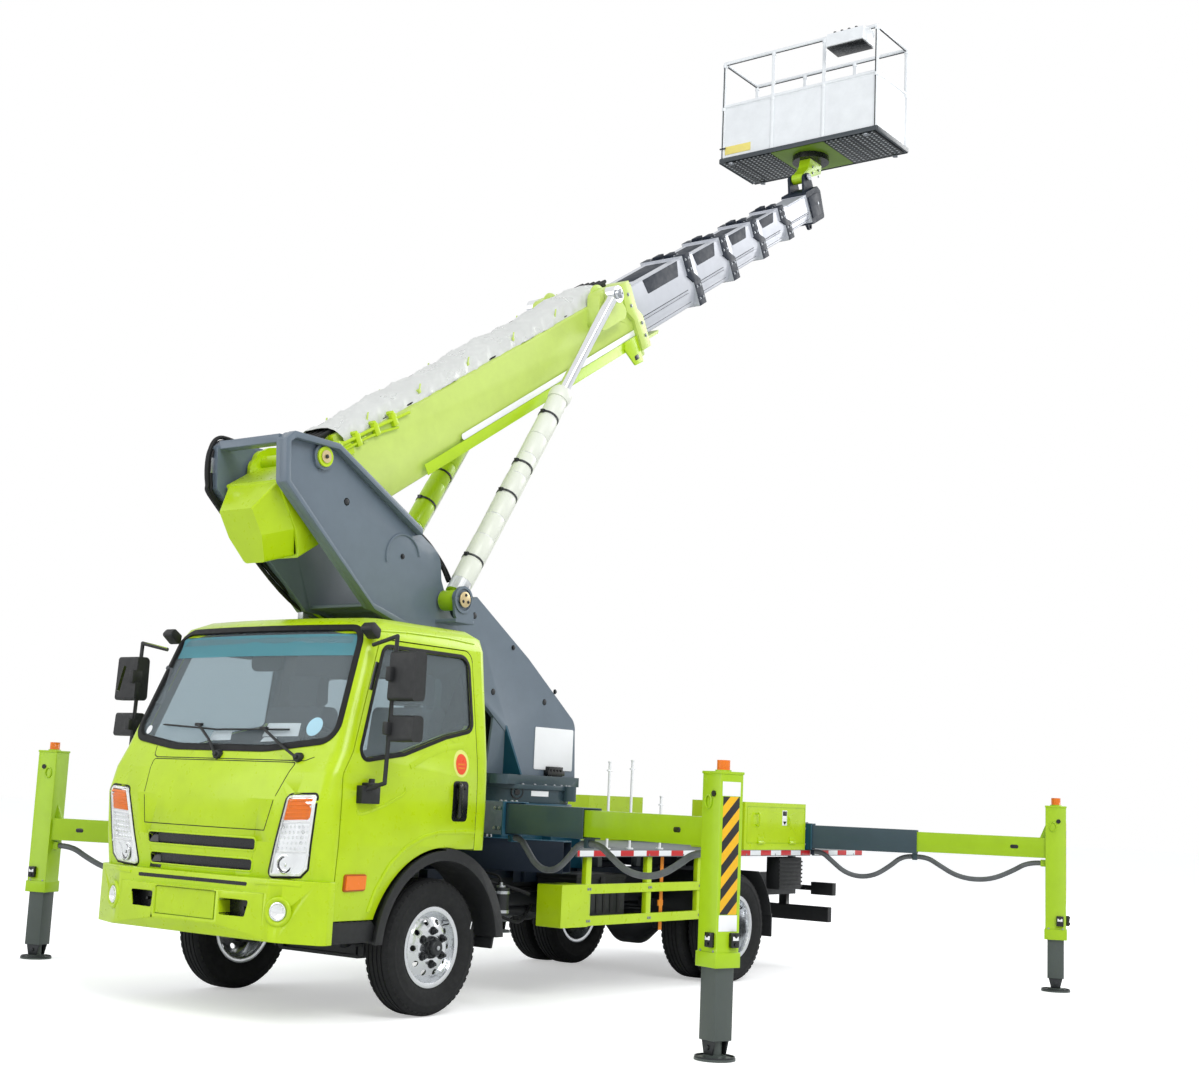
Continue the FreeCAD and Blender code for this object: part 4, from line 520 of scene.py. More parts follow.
def rounded(points: Sequence[Point], steps: int = 6) -> list[tuple[float, float]]:
    """A polygon whose corners, given as (u, v, radius), are rounded.

    Args:
        points: corners (u, v) or (u, v, radius).
        steps: pieces in a corner.

    Returns:
        The outline.
    """
    result = []
    for i, point in enumerate(points):
        u, v = point[0], point[1]
        radius = point[2] if len(point) > 2 else 0.0
        here = Vector((u, v))
        before = Vector(points[i - 1][:2]) - here
        after = Vector(points[(i + 1) % len(points)][:2]) - here
        if not radius:
            result.append((u, v))
            continue
        half = before.angle(after) / 2
        cut = min(radius / tan(half), 0.49 * before.length, 0.49 * after.length)
        radius = cut * tan(half)
        first, last = here + before.normalized() * cut, here + after.normalized() * cut
        centre = here + (before.normalized() + after.normalized()).normalized() * radius / sin(half)
        a, b = first - centre, last - centre
        turn = a.angle_signed(b) if a.length and b.length else 0.0
        for k in range(steps + 1):
            angle = -turn * k / steps
            c, s = cos(angle), sin(angle)
            result.append((centre.x + a.x * c - a.y * s, centre.y + a.x * s + a.y * c))
    return result


def corners(u0: float, u1: float, v0: float, v1: float, radius: float = 0.0) -> list[Point]:
    """A rectangle whose corners are rounded by a radius."""
    return [(u0, v0, radius), (u1, v0, radius), (u1, v1, radius), (u0, v1, radius)]


def turns(count: int, number: int = 0, shift: float = 0.0) -> list[float]:
    """Angles evenly spread over a turn, count to the turn."""
    return [tau * (k + shift) / count for k in range(number or count)]


def resampled(points: Sequence[Point], step: float, closed: bool) -> list[tuple[float, float]]:
    """A polyline with extra points so that no piece is longer than a step.

    Args:
        points: the points in order.
        step: longest piece allowed.
        closed: whether the last point joins the first.

    Returns:
        The denser polyline.
    """
    result = []
    ends = list(points) + ([points[0]] if closed else [])
    for a, b in zip(ends, ends[1:]):
        a, b = Vector(a[:2]), Vector(b[:2])
        parts = max(1, ceil((b - a).length / step))
        result += [tuple(a.lerp(b, k / parts)) for k in range(parts)]
    if not closed:
        result.append(tuple(Vector(ends[-1][:2])))
    return result


def oval(u: float, v: float, ru: float, rv: float, sides: int = 32) -> list[tuple[float, float]]:
    """An ellipse as a polygon."""
    return [(u + ru * cos(tau * k / sides), v + rv * sin(tau * k / sides))
            for k in range(sides)]


def grown(points: Sequence[Point], offset: float) -> list[tuple[float, float]]:
    """A polygon moved outwards by an offset (inwards if negative).

    Args:
        points: the outline.
        offset: how far.

    Returns:
        The moved outline.
    """
    area = sum(a[0] * b[1] - b[0] * a[1] for a, b in zip(points, list(points[1:]) + [points[0]]))
    turn = 1 if area > 0 else -1
    result = []
    for i, p in enumerate(points):
        before = Vector(points[i - 1][:2])
        after = Vector(points[(i + 1) % len(points)][:2])
        along = (after - before).normalized()
        result.append((p[0] + along.y * offset * turn, p[1] - along.x * offset * turn))
    return result


# ---------------------------------------------------------------- mesh maker
@dataclass
class Maker:
    """Collects solids drawn in one frame's millimetres and turns them into one object."""

    name: str
    finish: Finish
    matrix: Matrix = field(default_factory=VEHICLE.copy)
    mesh: Mesh = field(default_factory=bmesh.new)

    def add(self, piece: Mesh, bevel: float = 0.0, angle: float = 30.0) -> "Maker":
        """Bevel a piece's sharp edges and take it in.

        Args:
            piece: the new solid, in millimetres; it is freed.
            bevel: bevel width in millimetres, or 0 for none.
            angle: edges sharper than this are bevelled.

        Returns:
            The maker itself.
        """
        bmesh.ops.recalc_face_normals(piece, faces=piece.faces)
        if bevel:
            edges = [e for e in piece.edges if len(e.link_faces) == 2
                     and e.calc_face_angle(0.0) > radians(angle)]
            bmesh.ops.bevel(piece, geom=edges, offset=bevel, affect="EDGES", segments=2,
                            profile=0.5, material=-1, clamp_overlap=True)
        data = bpy.data.meshes.new("piece")
        piece.to_mesh(data)
        piece.free()
        self.mesh.from_mesh(data)
        bpy.data.meshes.remove(data)
        return self

    def box(self, x0: float, x1: float, y0: float, y1: float, z0: float, z1: float,
            bevel: float = 3.0) -> "Maker":
        """A box between two corners.

        Args:
            x0, x1: its ends along x.
            y0, y1: its ends along y.
            z0, z1: its ends along z.
            bevel: bevel width in millimetres, or 0.

        Returns:
            The maker itself.
        """
        piece = bmesh.new()
        bmesh.ops.create_cube(piece, size=1.0)
        size = Matrix.Diagonal((abs(x1 - x0), abs(y1 - y0), abs(z1 - z0), 1))
        middle = Matrix.Translation(((x0 + x1) / 2, (y0 + y1) / 2, (z0 + z1) / 2))
        bmesh.ops.transform(piece, matrix=middle @ size, verts=piece.verts)
        limit = 0.3 * min(abs(x1 - x0), abs(y1 - y0), abs(z1 - z0))
        return self.add(piece, min(bevel, limit))

    def rod(self, start: Point, end: Point, radius: float, tip: Optional[float] = None,
            sides: int = 24, bevel: float = 0.0) -> "Maker":
        """A round bar or cone between two points.

        Args:
            start: middle of the first end.
            end: middle of the other end.
            radius: radius in millimetres.
            tip: the other end's radius, if it differs.
            sides: faces round it.
            bevel: bevel width in millimetres, or 0.

        Returns:
            The maker itself.
        """
        a, b = Vector(start), Vector(end)
        piece = bmesh.new()
        bmesh.ops.create_cone(piece, cap_ends=True, segments=sides, radius1=radius,
                              radius2=radius if tip is None else tip, depth=(b - a).length)
        turn = (b - a).to_track_quat("Z", "Y").to_matrix().to_4x4()
        bmesh.ops.transform(piece, matrix=Matrix.Translation((a + b) / 2) @ turn, verts=piece.verts)
        return self.add(piece, bevel, 50.0)

    def slab(self, outline: Sequence[Point], plane: Plane, low: float, high: float,
             bevel: float = 3.0) -> "Maker":
        """A polygon of a plane, its corners (u, v[, radius]), given depth along the third axis.

        Args:
            outline: its corners.
            plane: XZ, YZ or XY.
            low: start of its depth.
            high: end of its depth.
            bevel: bevel width in millimetres, or 0.

        Returns:
            The maker itself.
        """
        piece = bmesh.new()
        face = piece.faces.new([piece.verts.new(plane.point(u, v, low)) for u, v in rounded(outline)])
        raised = bmesh.ops.extrude_face_region(piece, geom=[face])
        moved = [v for v in raised["geom"] if isinstance(v, bmesh.types.BMVert)]
        bmesh.ops.translate(piece, vec=plane.point(0, 0, high - low), verts=moved)
        return self.add(piece, min(bevel, 0.3 * abs(high - low)))

    def spin(self, profile: Sequence[Point], centre: Point, axis: Point, sides: int = 48,
             closed: bool = True) -> "Maker":
        """A profile of (radius, along) spun fully about an axis.

        Args:
            profile: points (radius, along).
            centre: where the axis starts.
            axis: way of the axis.
            sides: faces round it.
            closed: whether the last point joins the first.

        Returns:
            The maker itself.
        """
        piece = bmesh.new()
        turn = Vector(axis).to_track_quat("Z", "Y").to_matrix().to_4x4()
        verts = [piece.verts.new((r, 0, a)) for r, a in profile]
        edges = [piece.edges.new(pair) for pair in zip(verts, verts[1:])]
        if closed:
            edges.append(piece.edges.new((verts[-1], verts[0])))
        bmesh.ops.spin(piece, geom=verts + edges, cent=(0, 0, 0), axis=(0, 0, 1), dvec=(0, 0, 0),
                       angle=tau, steps=sides, use_merge=True, use_duplicate=False)
        bmesh.ops.remove_doubles(piece, verts=piece.verts, dist=0.01)
        bmesh.ops.transform(piece, matrix=Matrix.Translation(centre) @ turn, verts=piece.verts)
        return self.add(piece)

    def ring(self, inner: float, outer: float, low: float, high: float, centre: Point, axis: Point,
             sides: int) -> "Maker":
        """A flat ring about an axis."""
        return self.spin(((inner, low), (outer, low), (outer, high), (inner, high)), centre, axis, sides)

    def pipe(self, points: Sequence[Point], radius: float, sides: int = 10,
             smooth: bool = True) -> "Maker":
        """A round tube along points, smoothed to a spline if wanted.

        Args:
            points: its line.
            radius: radius in millimetres.
            sides: faces round it.
            smooth: whether the line becomes a spline.

        Returns:
            The maker itself.
        """
        path = [Vector(p) for p in points]
        if smooth and len(path) > 2:
            path = spline(path, 8)
        piece = bmesh.new()
        rings, normal = [], None
        for i, p in enumerate(path):
            ahead = (path[min(i + 1, len(path) - 1)] - path[max(i - 1, 0)]).normalized()
            if normal is None:
                normal = ahead.orthogonal().normalized()
            normal = (normal - ahead * normal.dot(ahead)).normalized()
            side = ahead.cross(normal)
            rings.append([piece.verts.new(p + radius * (cos(a) * normal + sin(a) * side))
                          for a in (tau * k / sides for k in range(sides))])
        for first, second in zip(rings, rings[1:]):
            for k in range(sides):
                piece.faces.new((first[k], first[(k + 1) % sides], second[(k + 1) % sides], second[k]))
        piece.faces.new(rings[0][::-1])
        piece.faces.new(rings[-1])
        return self.add(piece)

    def bolts(self, centres: Iterable[Point], axis: Point, radius: float = 12.0,
              height: float = 9.0) -> "Maker":
        """Hexagon bolt heads with washers, standing out along an axis.

        Args:
            centres: where the heads sit.
            axis: way out of the surface.
            radius: radius in millimetres.
            height: height of a head.

        Returns:
            The maker itself.
        """
        out = Vector(axis).normalized()
        for centre in centres:
            c = Vector(centre)
            self.rod(c, c + out * height * 0.25, radius * 1.35, sides=20)
            self.rod(c, c + out * height, radius, sides=6, bevel=radius * 0.08)
        return self

    def mirror(self) -> "Maker":
        """Repeat what has been drawn so far on the other side of the middle plane.

        Returns:
            The maker itself.
        """
        drawn = self.mesh.verts[:] + self.mesh.edges[:] + self.mesh.faces[:]
        copied = bmesh.ops.duplicate(self.mesh, geom=drawn)["geom"]
        verts = [v for v in copied if isinstance(v, bmesh.types.BMVert)]
        bmesh.ops.scale(self.mesh, vec=(1, -1, 1), verts=verts)
        return self

    def done(self, body: str, smooth: float = 32.0) -> bpy.types.Object:
        """Finish the object, give it its material and let it ride on its body.

        Args:
            body: the body that it rides on.
            smooth: edges sharper than this angle stay sharp.

        Returns:
            The object.
        """
        bmesh.ops.transform(self.mesh, matrix=self.matrix, verts=self.mesh.verts)
        bmesh.ops.recalc_face_normals(self.mesh, faces=self.mesh.faces)
        return settle(self.mesh, self.name, [self.finish], body, smooth)


def settle(mesh: Mesh, name: str, finishes: Sequence[Finish], body: str,
           smooth: float) -> bpy.types.Object:
    """Turn a bmesh in metres into a shown object that rides on a body.

    Args:
        mesh: the mesh, in metres; it is freed.
        name: name of the object.
        finishes: its finishes, the main one first.
        body: the body that it rides on.
        smooth: edges sharper than this angle stay sharp.

    Returns:
        The object.
    """
    data = bpy.data.meshes.new(name)
    mesh.to_mesh(data)
    mesh.free()
    for finish in finishes:
        data.materials.append(finish.material())
    data.polygons.foreach_set("use_smooth", [True] * len(data.polygons))
    data.set_sharp_from_angle(angle=radians(smooth))
    made = bpy.data.objects.new(name, data)
    bpy.context.scene.collection.objects.link(made)
    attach(made, body)
    LOG.info("%s rides on %s", name, body)
    return made


# ---------------------------------------------------------------- CAD nodes
@dataclass
class Dressed:
    """A CAD node shown as a cleaned and bevelled copy with its own finishes."""

    node: str
    body: str
    finish: Finish
    bevel: float = 3.0
    others: tuple = ()
    smooth: float = 30.0
    merge: bool = True

    def build(self, frame: dict) -> bpy.types.Object:
        """Copy the node's mesh, merge flat faces, bevel long edges and assign finishes.


        Returns:
            The piece that stands for the node.
        """
        mesh = bmesh.new()
        mesh.from_mesh(frame["nodes"][self.node].data)
        bmesh.ops.remove_doubles(mesh, verts=mesh.verts, dist=2e-5)
        bmesh.ops.dissolve_degenerate(mesh, edges=mesh.edges, dist=1e-5)
        if self.merge:
            bmesh.ops.dissolve_limit(mesh, angle_limit=radians(1.0), verts=mesh.verts,
                                     edges=mesh.edges, delimit=set())
        self.soften(mesh)
        for i, (_, test) in enumerate(self.others):
            for face in mesh.faces:
                if test(face.calc_center_median(), face.normal):
                    face.material_index = i + 1
        return self.show(mesh)

    def soften(self, mesh: Mesh) -> None:
        """Bevel the edges that have room for it.

        Args:
            mesh: the mesh.
        """
        if not self.bevel:
            return
        width = self.bevel / 1000
        room = {}
        for face in mesh.faces:
            longest = max(e.calc_length() for e in face.edges)
            room[face] = face.calc_area() / max(longest, 1e-9)
        edges = [e for e in mesh.edges
                 if len(e.link_faces) == 2 and e.calc_length() > 4 * width
                 and e.calc_face_angle(0.0) > radians(35)
                 and all(room[f] > 3.2 * width for f in e.link_faces)]
        if edges:
            bmesh.ops.bevel(mesh, geom=edges, offset=width, affect="EDGES", segments=2, profile=0.5,
                            material=-1, clamp_overlap=False)

    def show(self, mesh: Mesh) -> bpy.types.Object:
        """Turn the mesh into the shown piece.

        Args:
            mesh: the mesh; it is freed.

        Returns:
            The piece.
        """
        finishes = [self.finish] + [other[0] for other in self.others]
        made = settle(mesh, self.node + "_dressed", finishes, self.body, self.smooth)
        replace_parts(made, self.node)
        return made


# ---------------------------------------------------------------- work on curved panels
@dataclass
class Skin:
    """Lays strips and plates on the outside of some CAD nodes.

    Args:
        nodes: the nodes whose faces count.
        reach: how far out from the centre a look at the skin starts.
    """

    frame: dict
    nodes: Sequence[str]
    reach: float = 9000.0
    tree: BVHTree = field(init=False)

    def __post_init__(self) -> None:
        """Gather the nodes' faces into one search tree."""
        verts, faces = [], []
        for name in self.nodes:
            data = self.frame["nodes"][name].data
            base = len(verts)
            verts += [v.co.copy() for v in data.vertices]
            faces += [[base + i for i in p.vertices] for p in data.polygons]
        self.tree = BVHTree.FromPolygons(verts, faces)

    def spot(self, plane: Plane, side: int, u: float, v: float, height: float = 0.0) -> Vector:
        """Where a line along the plane's normal meets the skin, in vehicle millimetres.

        Args:
            plane: XZ, YZ or XY.
            side: 1 to look from the positive end of the normal, -1 from the other.
            u: first in-plane coordinate.
            v: second in-plane coordinate.
            height: how far outside the skin the point shall lie.

        Returns:
            The point.
        """
        far = VEHICLE @ plane.point(u, v, side * self.reach)
        way = plane.point(0, 0, -side)
        hit = self.tree.ray_cast(far, way)[0]
        if hit is None:
            hit = self.tree.find_nearest(VEHICLE @ plane.point(u, v, side * 1000.0))[0]
        back = VEHICLE.inverted() @ hit
        return plane.point(u, v, plane.depth(back) + side * height)

    def band(self, maker: Maker, points: Sequence[Point], plane: Plane, side: int, width: float,
             proud: float, sunk: float = 4.0, closed: bool = False, step: float = 35.0) -> None:
        """A rounded strip along a line on the skin.

        Args:
            maker: takes the mesh.
            points: its middle line, in the plane.
            plane: XZ, YZ or XY.
            side: the side that is looked at.
            width: its width.
            proud: how far it stands out.
            sunk: how deep its foot goes.
            closed: whether the last point joins the first.
            step: longest piece of it.
        """
        path = [Vector(p) for p in resampled(points, step, closed)]
        piece, rings, count = bmesh.new(), [], len(path)
        out = plane.point(0, 0, side)
        section = ((-0.5, -sunk), (-0.5, proud * 0.55), (-0.3, proud), (0.3, proud), (0.5, proud * 0.55),
                   (0.5, -sunk))
        for i, p in enumerate(path):
            before = path[i - 1] if closed or i else p
            after = path[(i + 1) % count] if closed or i < count - 1 else p
            along = (after - before).normalized()
            across = Vector((-along.y, along.x))
            ring = []
            for share, height in section:
                q = p + across * (share * width)
                ring.append(piece.verts.new(self.spot(plane, side, q.x, q.y) + out * height))
            rings.append(ring)
        size = len(section)
        pairs = list(zip(rings, rings[1:])) + ([(rings[-1], rings[0])] if closed else [])
        for first, second in pairs:
            for k in range(size):
                piece.faces.new((first[k], first[(k + 1) % size], second[(k + 1) % size], second[k]))
        if not closed:
            piece.faces.new(rings[0][::-1])
            piece.faces.new(rings[-1])
        maker.add(piece)

    def patch(self, maker: Maker, outline: Sequence[Point], plane: Plane, side: int, proud: float,
              thick: float, grid: float = 45.0) -> None:
        """A plate of even thickness that follows the skin inside an outline.

        Args:
            maker: takes the mesh.
            outline: its corners, in the plane.
            plane: XZ, YZ or XY.
            side: the side that is looked at.
            proud: how far it stands out.
            thick: thickness.
            grid: spacing of its mesh.
        """
        piece, outline = bmesh.new(), rounded(outline)
        piece.faces.new([piece.verts.new((u, v, 0)) for u, v in outline])
        for axis in (0, 1):
            values = [p[axis] for p in outline]
            cut = min(values) + grid
            while cut < max(values) - 1:
                where = Vector((cut, 0, 0)) if axis == 0 else Vector((0, cut, 0))
                normal = Vector((1, 0, 0)) if axis == 0 else Vector((0, 1, 0))
                geometry = piece.verts[:] + piece.edges[:] + piece.faces[:]
                bmesh.ops.bisect_plane(piece, geom=geometry, plane_co=where, plane_no=normal)
                cut += grid
        out = plane.point(0, 0, side)
        for vert in piece.verts:
            vert.co = self.spot(plane, side, vert.co.x, vert.co.y, proud)
        raised = bmesh.ops.extrude_face_region(piece, geom=piece.faces[:])
        moved = [v for v in raised["geom"] if isinstance(v, bmesh.types.BMVert)]
        bmesh.ops.translate(piece, vec=-out * thick, verts=moved)
        maker.add(piece)


# ---------------------------------------------------------------- cab
@dataclass
class Cab:
    """Seals, seams, lamps, wipers and furniture of the cab."""

    frame: dict
    windscreen: tuple = ((-818, 1535, 80), (-380, 1478, 900), (380, 1478, 900), (818, 1535, 80),
                         (738, 2150, 90), (-738, 2150, 90))
    rear_window: tuple = ((-520, 1500, 60), (520, 1500, 60), (520, 1960, 60), (-520, 1960, 60))
    door_window: tuple = ((736, 1425, 40), (380, 1478, 60), (20, 1590, 60), (-215, 1640, 50),
                          (-215, 2056, 60), (500, 2056, 60))
    lamp: tuple = ((535, 775), (800, 790), (862, 1228), (664, 1218))
    slots: tuple = ((438, 942, 52), (414, 830, 50))
    plate: tuple = ((-246, 533, 6), (232, 533, 6), (234, 678, 6), (-248, 678, 6))
    skin: Skin = field(init=False)

    def __post_init__(self) -> None:
        """Make the skin that the trim lies on."""
        self.skin = Skin(self.frame, ("cab_shell", "cab_glass", "head_lamps", "door_left", "door_right",
                                      "door_glass_left", "door_glass_right"))

    def seals(self) -> None:
        """Rubber round the windscreen and the rear window, and the tinted band."""
        seal, band = Maker("windscreen_seal", SEAL), self.skin.band
        band(seal, grown(rounded(self.windscreen, 8), 14), YZ, 1, 40, 7, 12, closed=True, step=40)
        band(seal, grown(rounded(self.rear_window), 13), YZ, -1, 36, 6, 10, closed=True, step=60)
        seal.done("chassis", 40)
        tint = Maker("windscreen_sun_band", TINT)
        self.skin.patch(tint, [(-741, 2000), (741, 2000), (728, 2128), (-728, 2128)], YZ, 1, 1.2, 1.0, 60)
        tint.done("chassis")

    def seams(self) -> None:
        """Shut lines of the hood and cowl, grille backing and pressed edges."""
        seam = Maker("hood_seams", SEAL)
        hood = rounded([(-523, 1388, 16), (-488, 1022, 4), (503, 1021, 4), (638, 1392, 12)])
        self.skin.band(seam, hood, YZ, 1, 5, 0.7, 2, closed=True)
        cowl = rounded([(-560, 1462, 0), (-540, 1410, 25), (-505, 1398, 0), (690, 1402, 20), (745, 1424, 0)])
        self.skin.band(seam, cowl, YZ, 1, 5, 0.7, 2)
        for y in (-905, 905):
            self.skin.band(seam, [(y, 560), (y, 760)], YZ, 1, 4, 0.5, 2)
        seam.done("chassis")
        dark, lip = Maker("grille_backing", GLOSS_BLACK), Maker("grille_lips", LIME)
        for half, z, height in self.slots:
            low, top = z - height / 2, z + height / 2
            inside = [(4 - half, low), (half - 4, low), (half + 2, top), (-half - 2, top)]
            self.skin.patch(dark, inside, YZ, 1, 2.0, 3)
            low, top = low - 9, top + 9
            loop = [(-half - 4, low, 20), (half + 4, low, 20), (half + 13, top, 20), (-half - 13, top, 20)]
            self.skin.band(lip, rounded(loop, 4), YZ, 1, 10, 4, 3, closed=True)
        slit = rounded([(-446, 722, 9), (446, 722, 9), (452, 742, 9), (-452, 742, 9)], 4)
        Skin(self.frame, ("front_bumper",)).patch(dark, slit, YZ, 1, 1.0, 2)
        dark.done("chassis")
        lip.done("chassis", 45)

    def lamp_spot(self, side: int, a: float, b: float) -> tuple[float, float]:
        """A place on a head lamp's face from its shares across and up.

        Args:
            side: 1 for the left lamp, -1 for the right one.
            a: share from the inner edge to the outer one.
            b: share from the bottom to the top.

        Returns:
            The place's y and z.
        """
        low_in, low_out, top_out, top_in = (Vector(corner) for corner in self.lamp)
        spot = low_in.lerp(top_in, b).lerp(low_out.lerp(top_out, b), a)
        return side * spot.x, spot.y

    def head_lamp(self, name: str, side: int) -> None:
        """Frame, amber turn lamp, cells, round dipped lamp and clear cover of one head lamp.

        Args:
            name: left or right.
            side: 1 for the left side, -1 for the right.
        """
        at, band, patch = partial(self.lamp_spot, side), self.skin.band, self.skin.patch
        edge = rounded([at(a, b) + (radius,) for a, b, radius in (
            (0, 0, 25), (0.84, 0, 8), (1, 0.09, 8), (1, 0.26, 30), (1, 1, 25), (0, 1, 40))], 5)
        shell = Maker("head_lamp_shell_" + name, CRYSTAL)
        patch(shell, grown(edge, -4), YZ, 1, 1.0, 4, 40)
        shell.done("chassis", 50)
        gap = Maker("head_lamp_gap_" + name, SEAL)
        band(gap, grown(edge, 3), YZ, 1, 12, 1.5, 5, closed=True)
        gap.done("chassis")
        rim = Maker("head_lamp_frame_" + name, WHITE_PLASTIC)
        band(rim, grown(edge, -12), YZ, 1, 15, 5, 3, closed=True)
        for b in (0.66, 0.3):
            band(rim, [at(0.06, b), at(0.94, b)], YZ, 1, 12, 5, 3)
        rim.done("chassis", 45)
        amber = Maker("head_lamp_turn_" + name, AMBER)
        patch(amber, [at(0.12, 0.69), at(0.88, 0.69), at(0.88, 0.945), at(0.12, 0.945)], YZ, 1, 2.5, 4)
        for k in range(5):
            b = 0.72 + 0.05 * k
            band(amber, [at(0.13, b), at(0.87, b)], YZ, 1, 9, 6, 1)
        amber.done("chassis", 45)
        cells = Maker("head_lamp_cells_" + name, CRYSTAL)
        for i in range(7):
            for j in range(5):
                base = self.skin.spot(YZ, 1, *at(0.14 + 0.12 * i, 0.345 + 0.065 * j))
                cells.rod(base - Vector((4, 0, 0)), base + Vector((8, 0, 0)), 11, 4, sides=6)
        base, way = self.skin.spot(YZ, 1, *at(0.42, 0.15)), (1, 0.25 * side, 0)
        bowl = [(54, -2), (54, 6), (48, 8), (44, 2), (24, -3), (0, -4)]
        cells.spin(bowl, base, way, 32, closed=False)
        cells.rod(base, base + Vector((9, 0, 0)), 12, 8, sides=16)
        cells.done("chassis", 30)
        dark = Maker("head_lamp_shade_" + name, GLOSS_BLACK)
        dark.spin([(42, 0), (42, 4), (36, 4), (36, 0)], base, way, 32).done("chassis")
        cover = Maker("head_lamp_cover_" + name, LENS)
        patch(cover, grown(edge, -3), YZ, 1, 13, 2.0, 40)
        cover.done("chassis", 50)

    def wipers(self) -> None:
        """Two wipers with pivots, arms and blades."""
        arms, spot = Maker("wipers", TRIM), partial(self.skin.spot, YZ, 1)
        rows = (((37, 1419), (-70, 1500), (-228, 1592), (-573, 1590), (-35, 1564)),
                ((645, 1417), (500, 1490), (319, 1575), (-30, 1566), (497, 1572)))
        for pivot, knee, tip, start, end in rows:
            base = spot(*pivot)
            arms.rod(base - Vector((6, 0, 0)), base + Vector((26, 0, 4)), 30, 24, bevel=3)
            arms.rod(base, base + Vector((40, 0, 8)), 13, sides=16, bevel=2)
            arms.pipe([base + Vector((34, 0, 6)), spot(*knee, height=34), spot(*tip, height=26)], 8)
            for shift, radius in ((0, 5.5), (7, 4.1)):
                blade = [Vector(start).lerp(Vector(end), k / 8) for k in range(9)]
                arms.pipe([spot(p.x, p.y, height=12 + shift) for p in blade], radius, 8)
            mid = spot(*tip, height=20)
            arms.box(mid.x - 10, mid.x + 14, mid.y - 26, mid.y + 26, mid.z - 9, mid.z + 9, 3)
        arms.done("chassis", 40)

    def inside(self) -> None:
        """Inner mirror, grab handle, blank papers and blank stickers behind the windscreen."""
        top = self.skin.spot(YZ, 1, -20, 2080)
        mirror = Maker("inner_mirror", TRIM)
        mirror.rod(top + Vector((-14, 0, 0)), (top.x - 90, -20, 2010), 8, sides=12)
        mirror.slab(corners(-150, 110, 1922, 2027, 45), YZ, top.x - 112, top.x - 86, 6)
        mirror.done("chassis", 40)
        handle = Maker("grab_handle", INTERIOR)
        handle.pipe([(760, -792, 1720), (735, -765, 1725), (718, -765, 1760), (690, -765, 1900),
                     (685, -765, 1930), (700, -790, 1945)], 12, 12)
        handle.done("chassis", 40)
        papers = Maker("blank_papers", LABEL)
        for y0, y1, z0, z1 in ((300, 560, 1530, 1610), (-120, 60, 1500, 1560), (300, 420, 1500, 1530)):
            sheet = [(y0, z0), (y1, z0 + 6), (y1 - 12, z1), (y0 + 14, z1 - 4)]
            self.skin.patch(papers, sheet, YZ, 1, -5, 1.5)
        papers.done("chassis")
        for name, finish, disc in (("blank_round_sticker", PALE_BLUE, oval(655, 1592, 52, 52)),
                                   ("blank_small_sticker", LABEL, oval(-730, 1560, 26, 26, 20))):
            sticker = Maker(name, finish)
            self.skin.patch(sticker, disc, YZ, 1, 0.8, 1.5, 30)
            sticker.done("chassis")
        dials = Maker("dashboard_trim", TRIM)
        dials.slab([(300, 1385, 40), (620, 1385, 40), (590, 1470, 60), (330, 1470, 60)], YZ, 640, 780, 12)
        for y in (-620, -250, 120, 720):
            dials.box(612, 622, y - 70, y + 70, 1290, 1340, 4)
        dials.rod((330, 60, 960), (350, 60, 1280), 12, sides=14)
        dials.rod((350, 60, 1270), (352, 60, 1330), 26, 20, sides=18, bevel=4)
        dials.done("chassis", 40)

    def door(self, name: str, side: int) -> None:
        """Window rubber, creases, handle and marker lamp of one door.

        Args:
            name: left or right.
            side: 1 for the left side, -1 for the right.
        """
        body = "door_" + name
        skin = Skin(self.frame, (body, "door_glass_" + name), 932.0)
        band, patch = skin.band, skin.patch
        seal = Maker("door_seal_" + name, SEAL)
        band(seal, grown(rounded(self.door_window), 10), XZ, side, 26, 4, 9, closed=True, step=50)
        seal.done(body, 40)
        crease = Maker("door_creases_" + name, LIME)
        band(crease, [(585, 600), (540, 720), (452, 850), (330, 950), (190, 1010), (60, 1036), (-140, 1042),
                      (-250, 1042)], XZ, side, 26, 5, 3)
        band(crease, [(745, 1150), (735, 1132), (700, 1130), (540, 1175), (390, 1240), (362, 1262),
                      (366, 1284)], XZ, side, 15, 4, 3)
        band(crease, [(330, 1400), (180, 1470), (20, 1520), (-140, 1540)], XZ, side, 34, 3, 3)
        crease.done(body, 50)
        handle = Maker("door_handle_" + name, GLOSS_BLACK)
        bezel = rounded([(-38, 1100, 26), (-172, 1100, 26), (-176, 1332, 26), (-44, 1332, 26)])
        patch(handle, bezel, XZ, side, 2.5, 4)
        y = skin.spot(XZ, side, -100, 1200).y
        handle.pipe([(-88, y, 1128), (-84, y + side * 18, 1150), (-84, y + side * 20, 1290),
                     (-92, y, 1312)], 15, 14)
        handle.rod((-140, y - side * 4, 1296), (-140, y + side * 6, 1296), 14, sides=20, bevel=2)
        handle.done(body, 40)
        frame = rounded([(632, 720, 14), (798, 716, 14), (798, 806, 14), (632, 806, 14)])
        lamp = Maker("side_marker_lamp_" + name, AMBER)
        patch(lamp, grown(frame, -7), XZ, side, 17, 18)
        lamp.done(body, 50)
        rim = Maker("side_marker_frame_" + name, ORANGE_FRAME)
        band(rim, grown(frame, -4), XZ, side, 12, 11, 3, closed=True)
        rim.done(body, 50)
        if side > 0:
            self.reflector(skin)

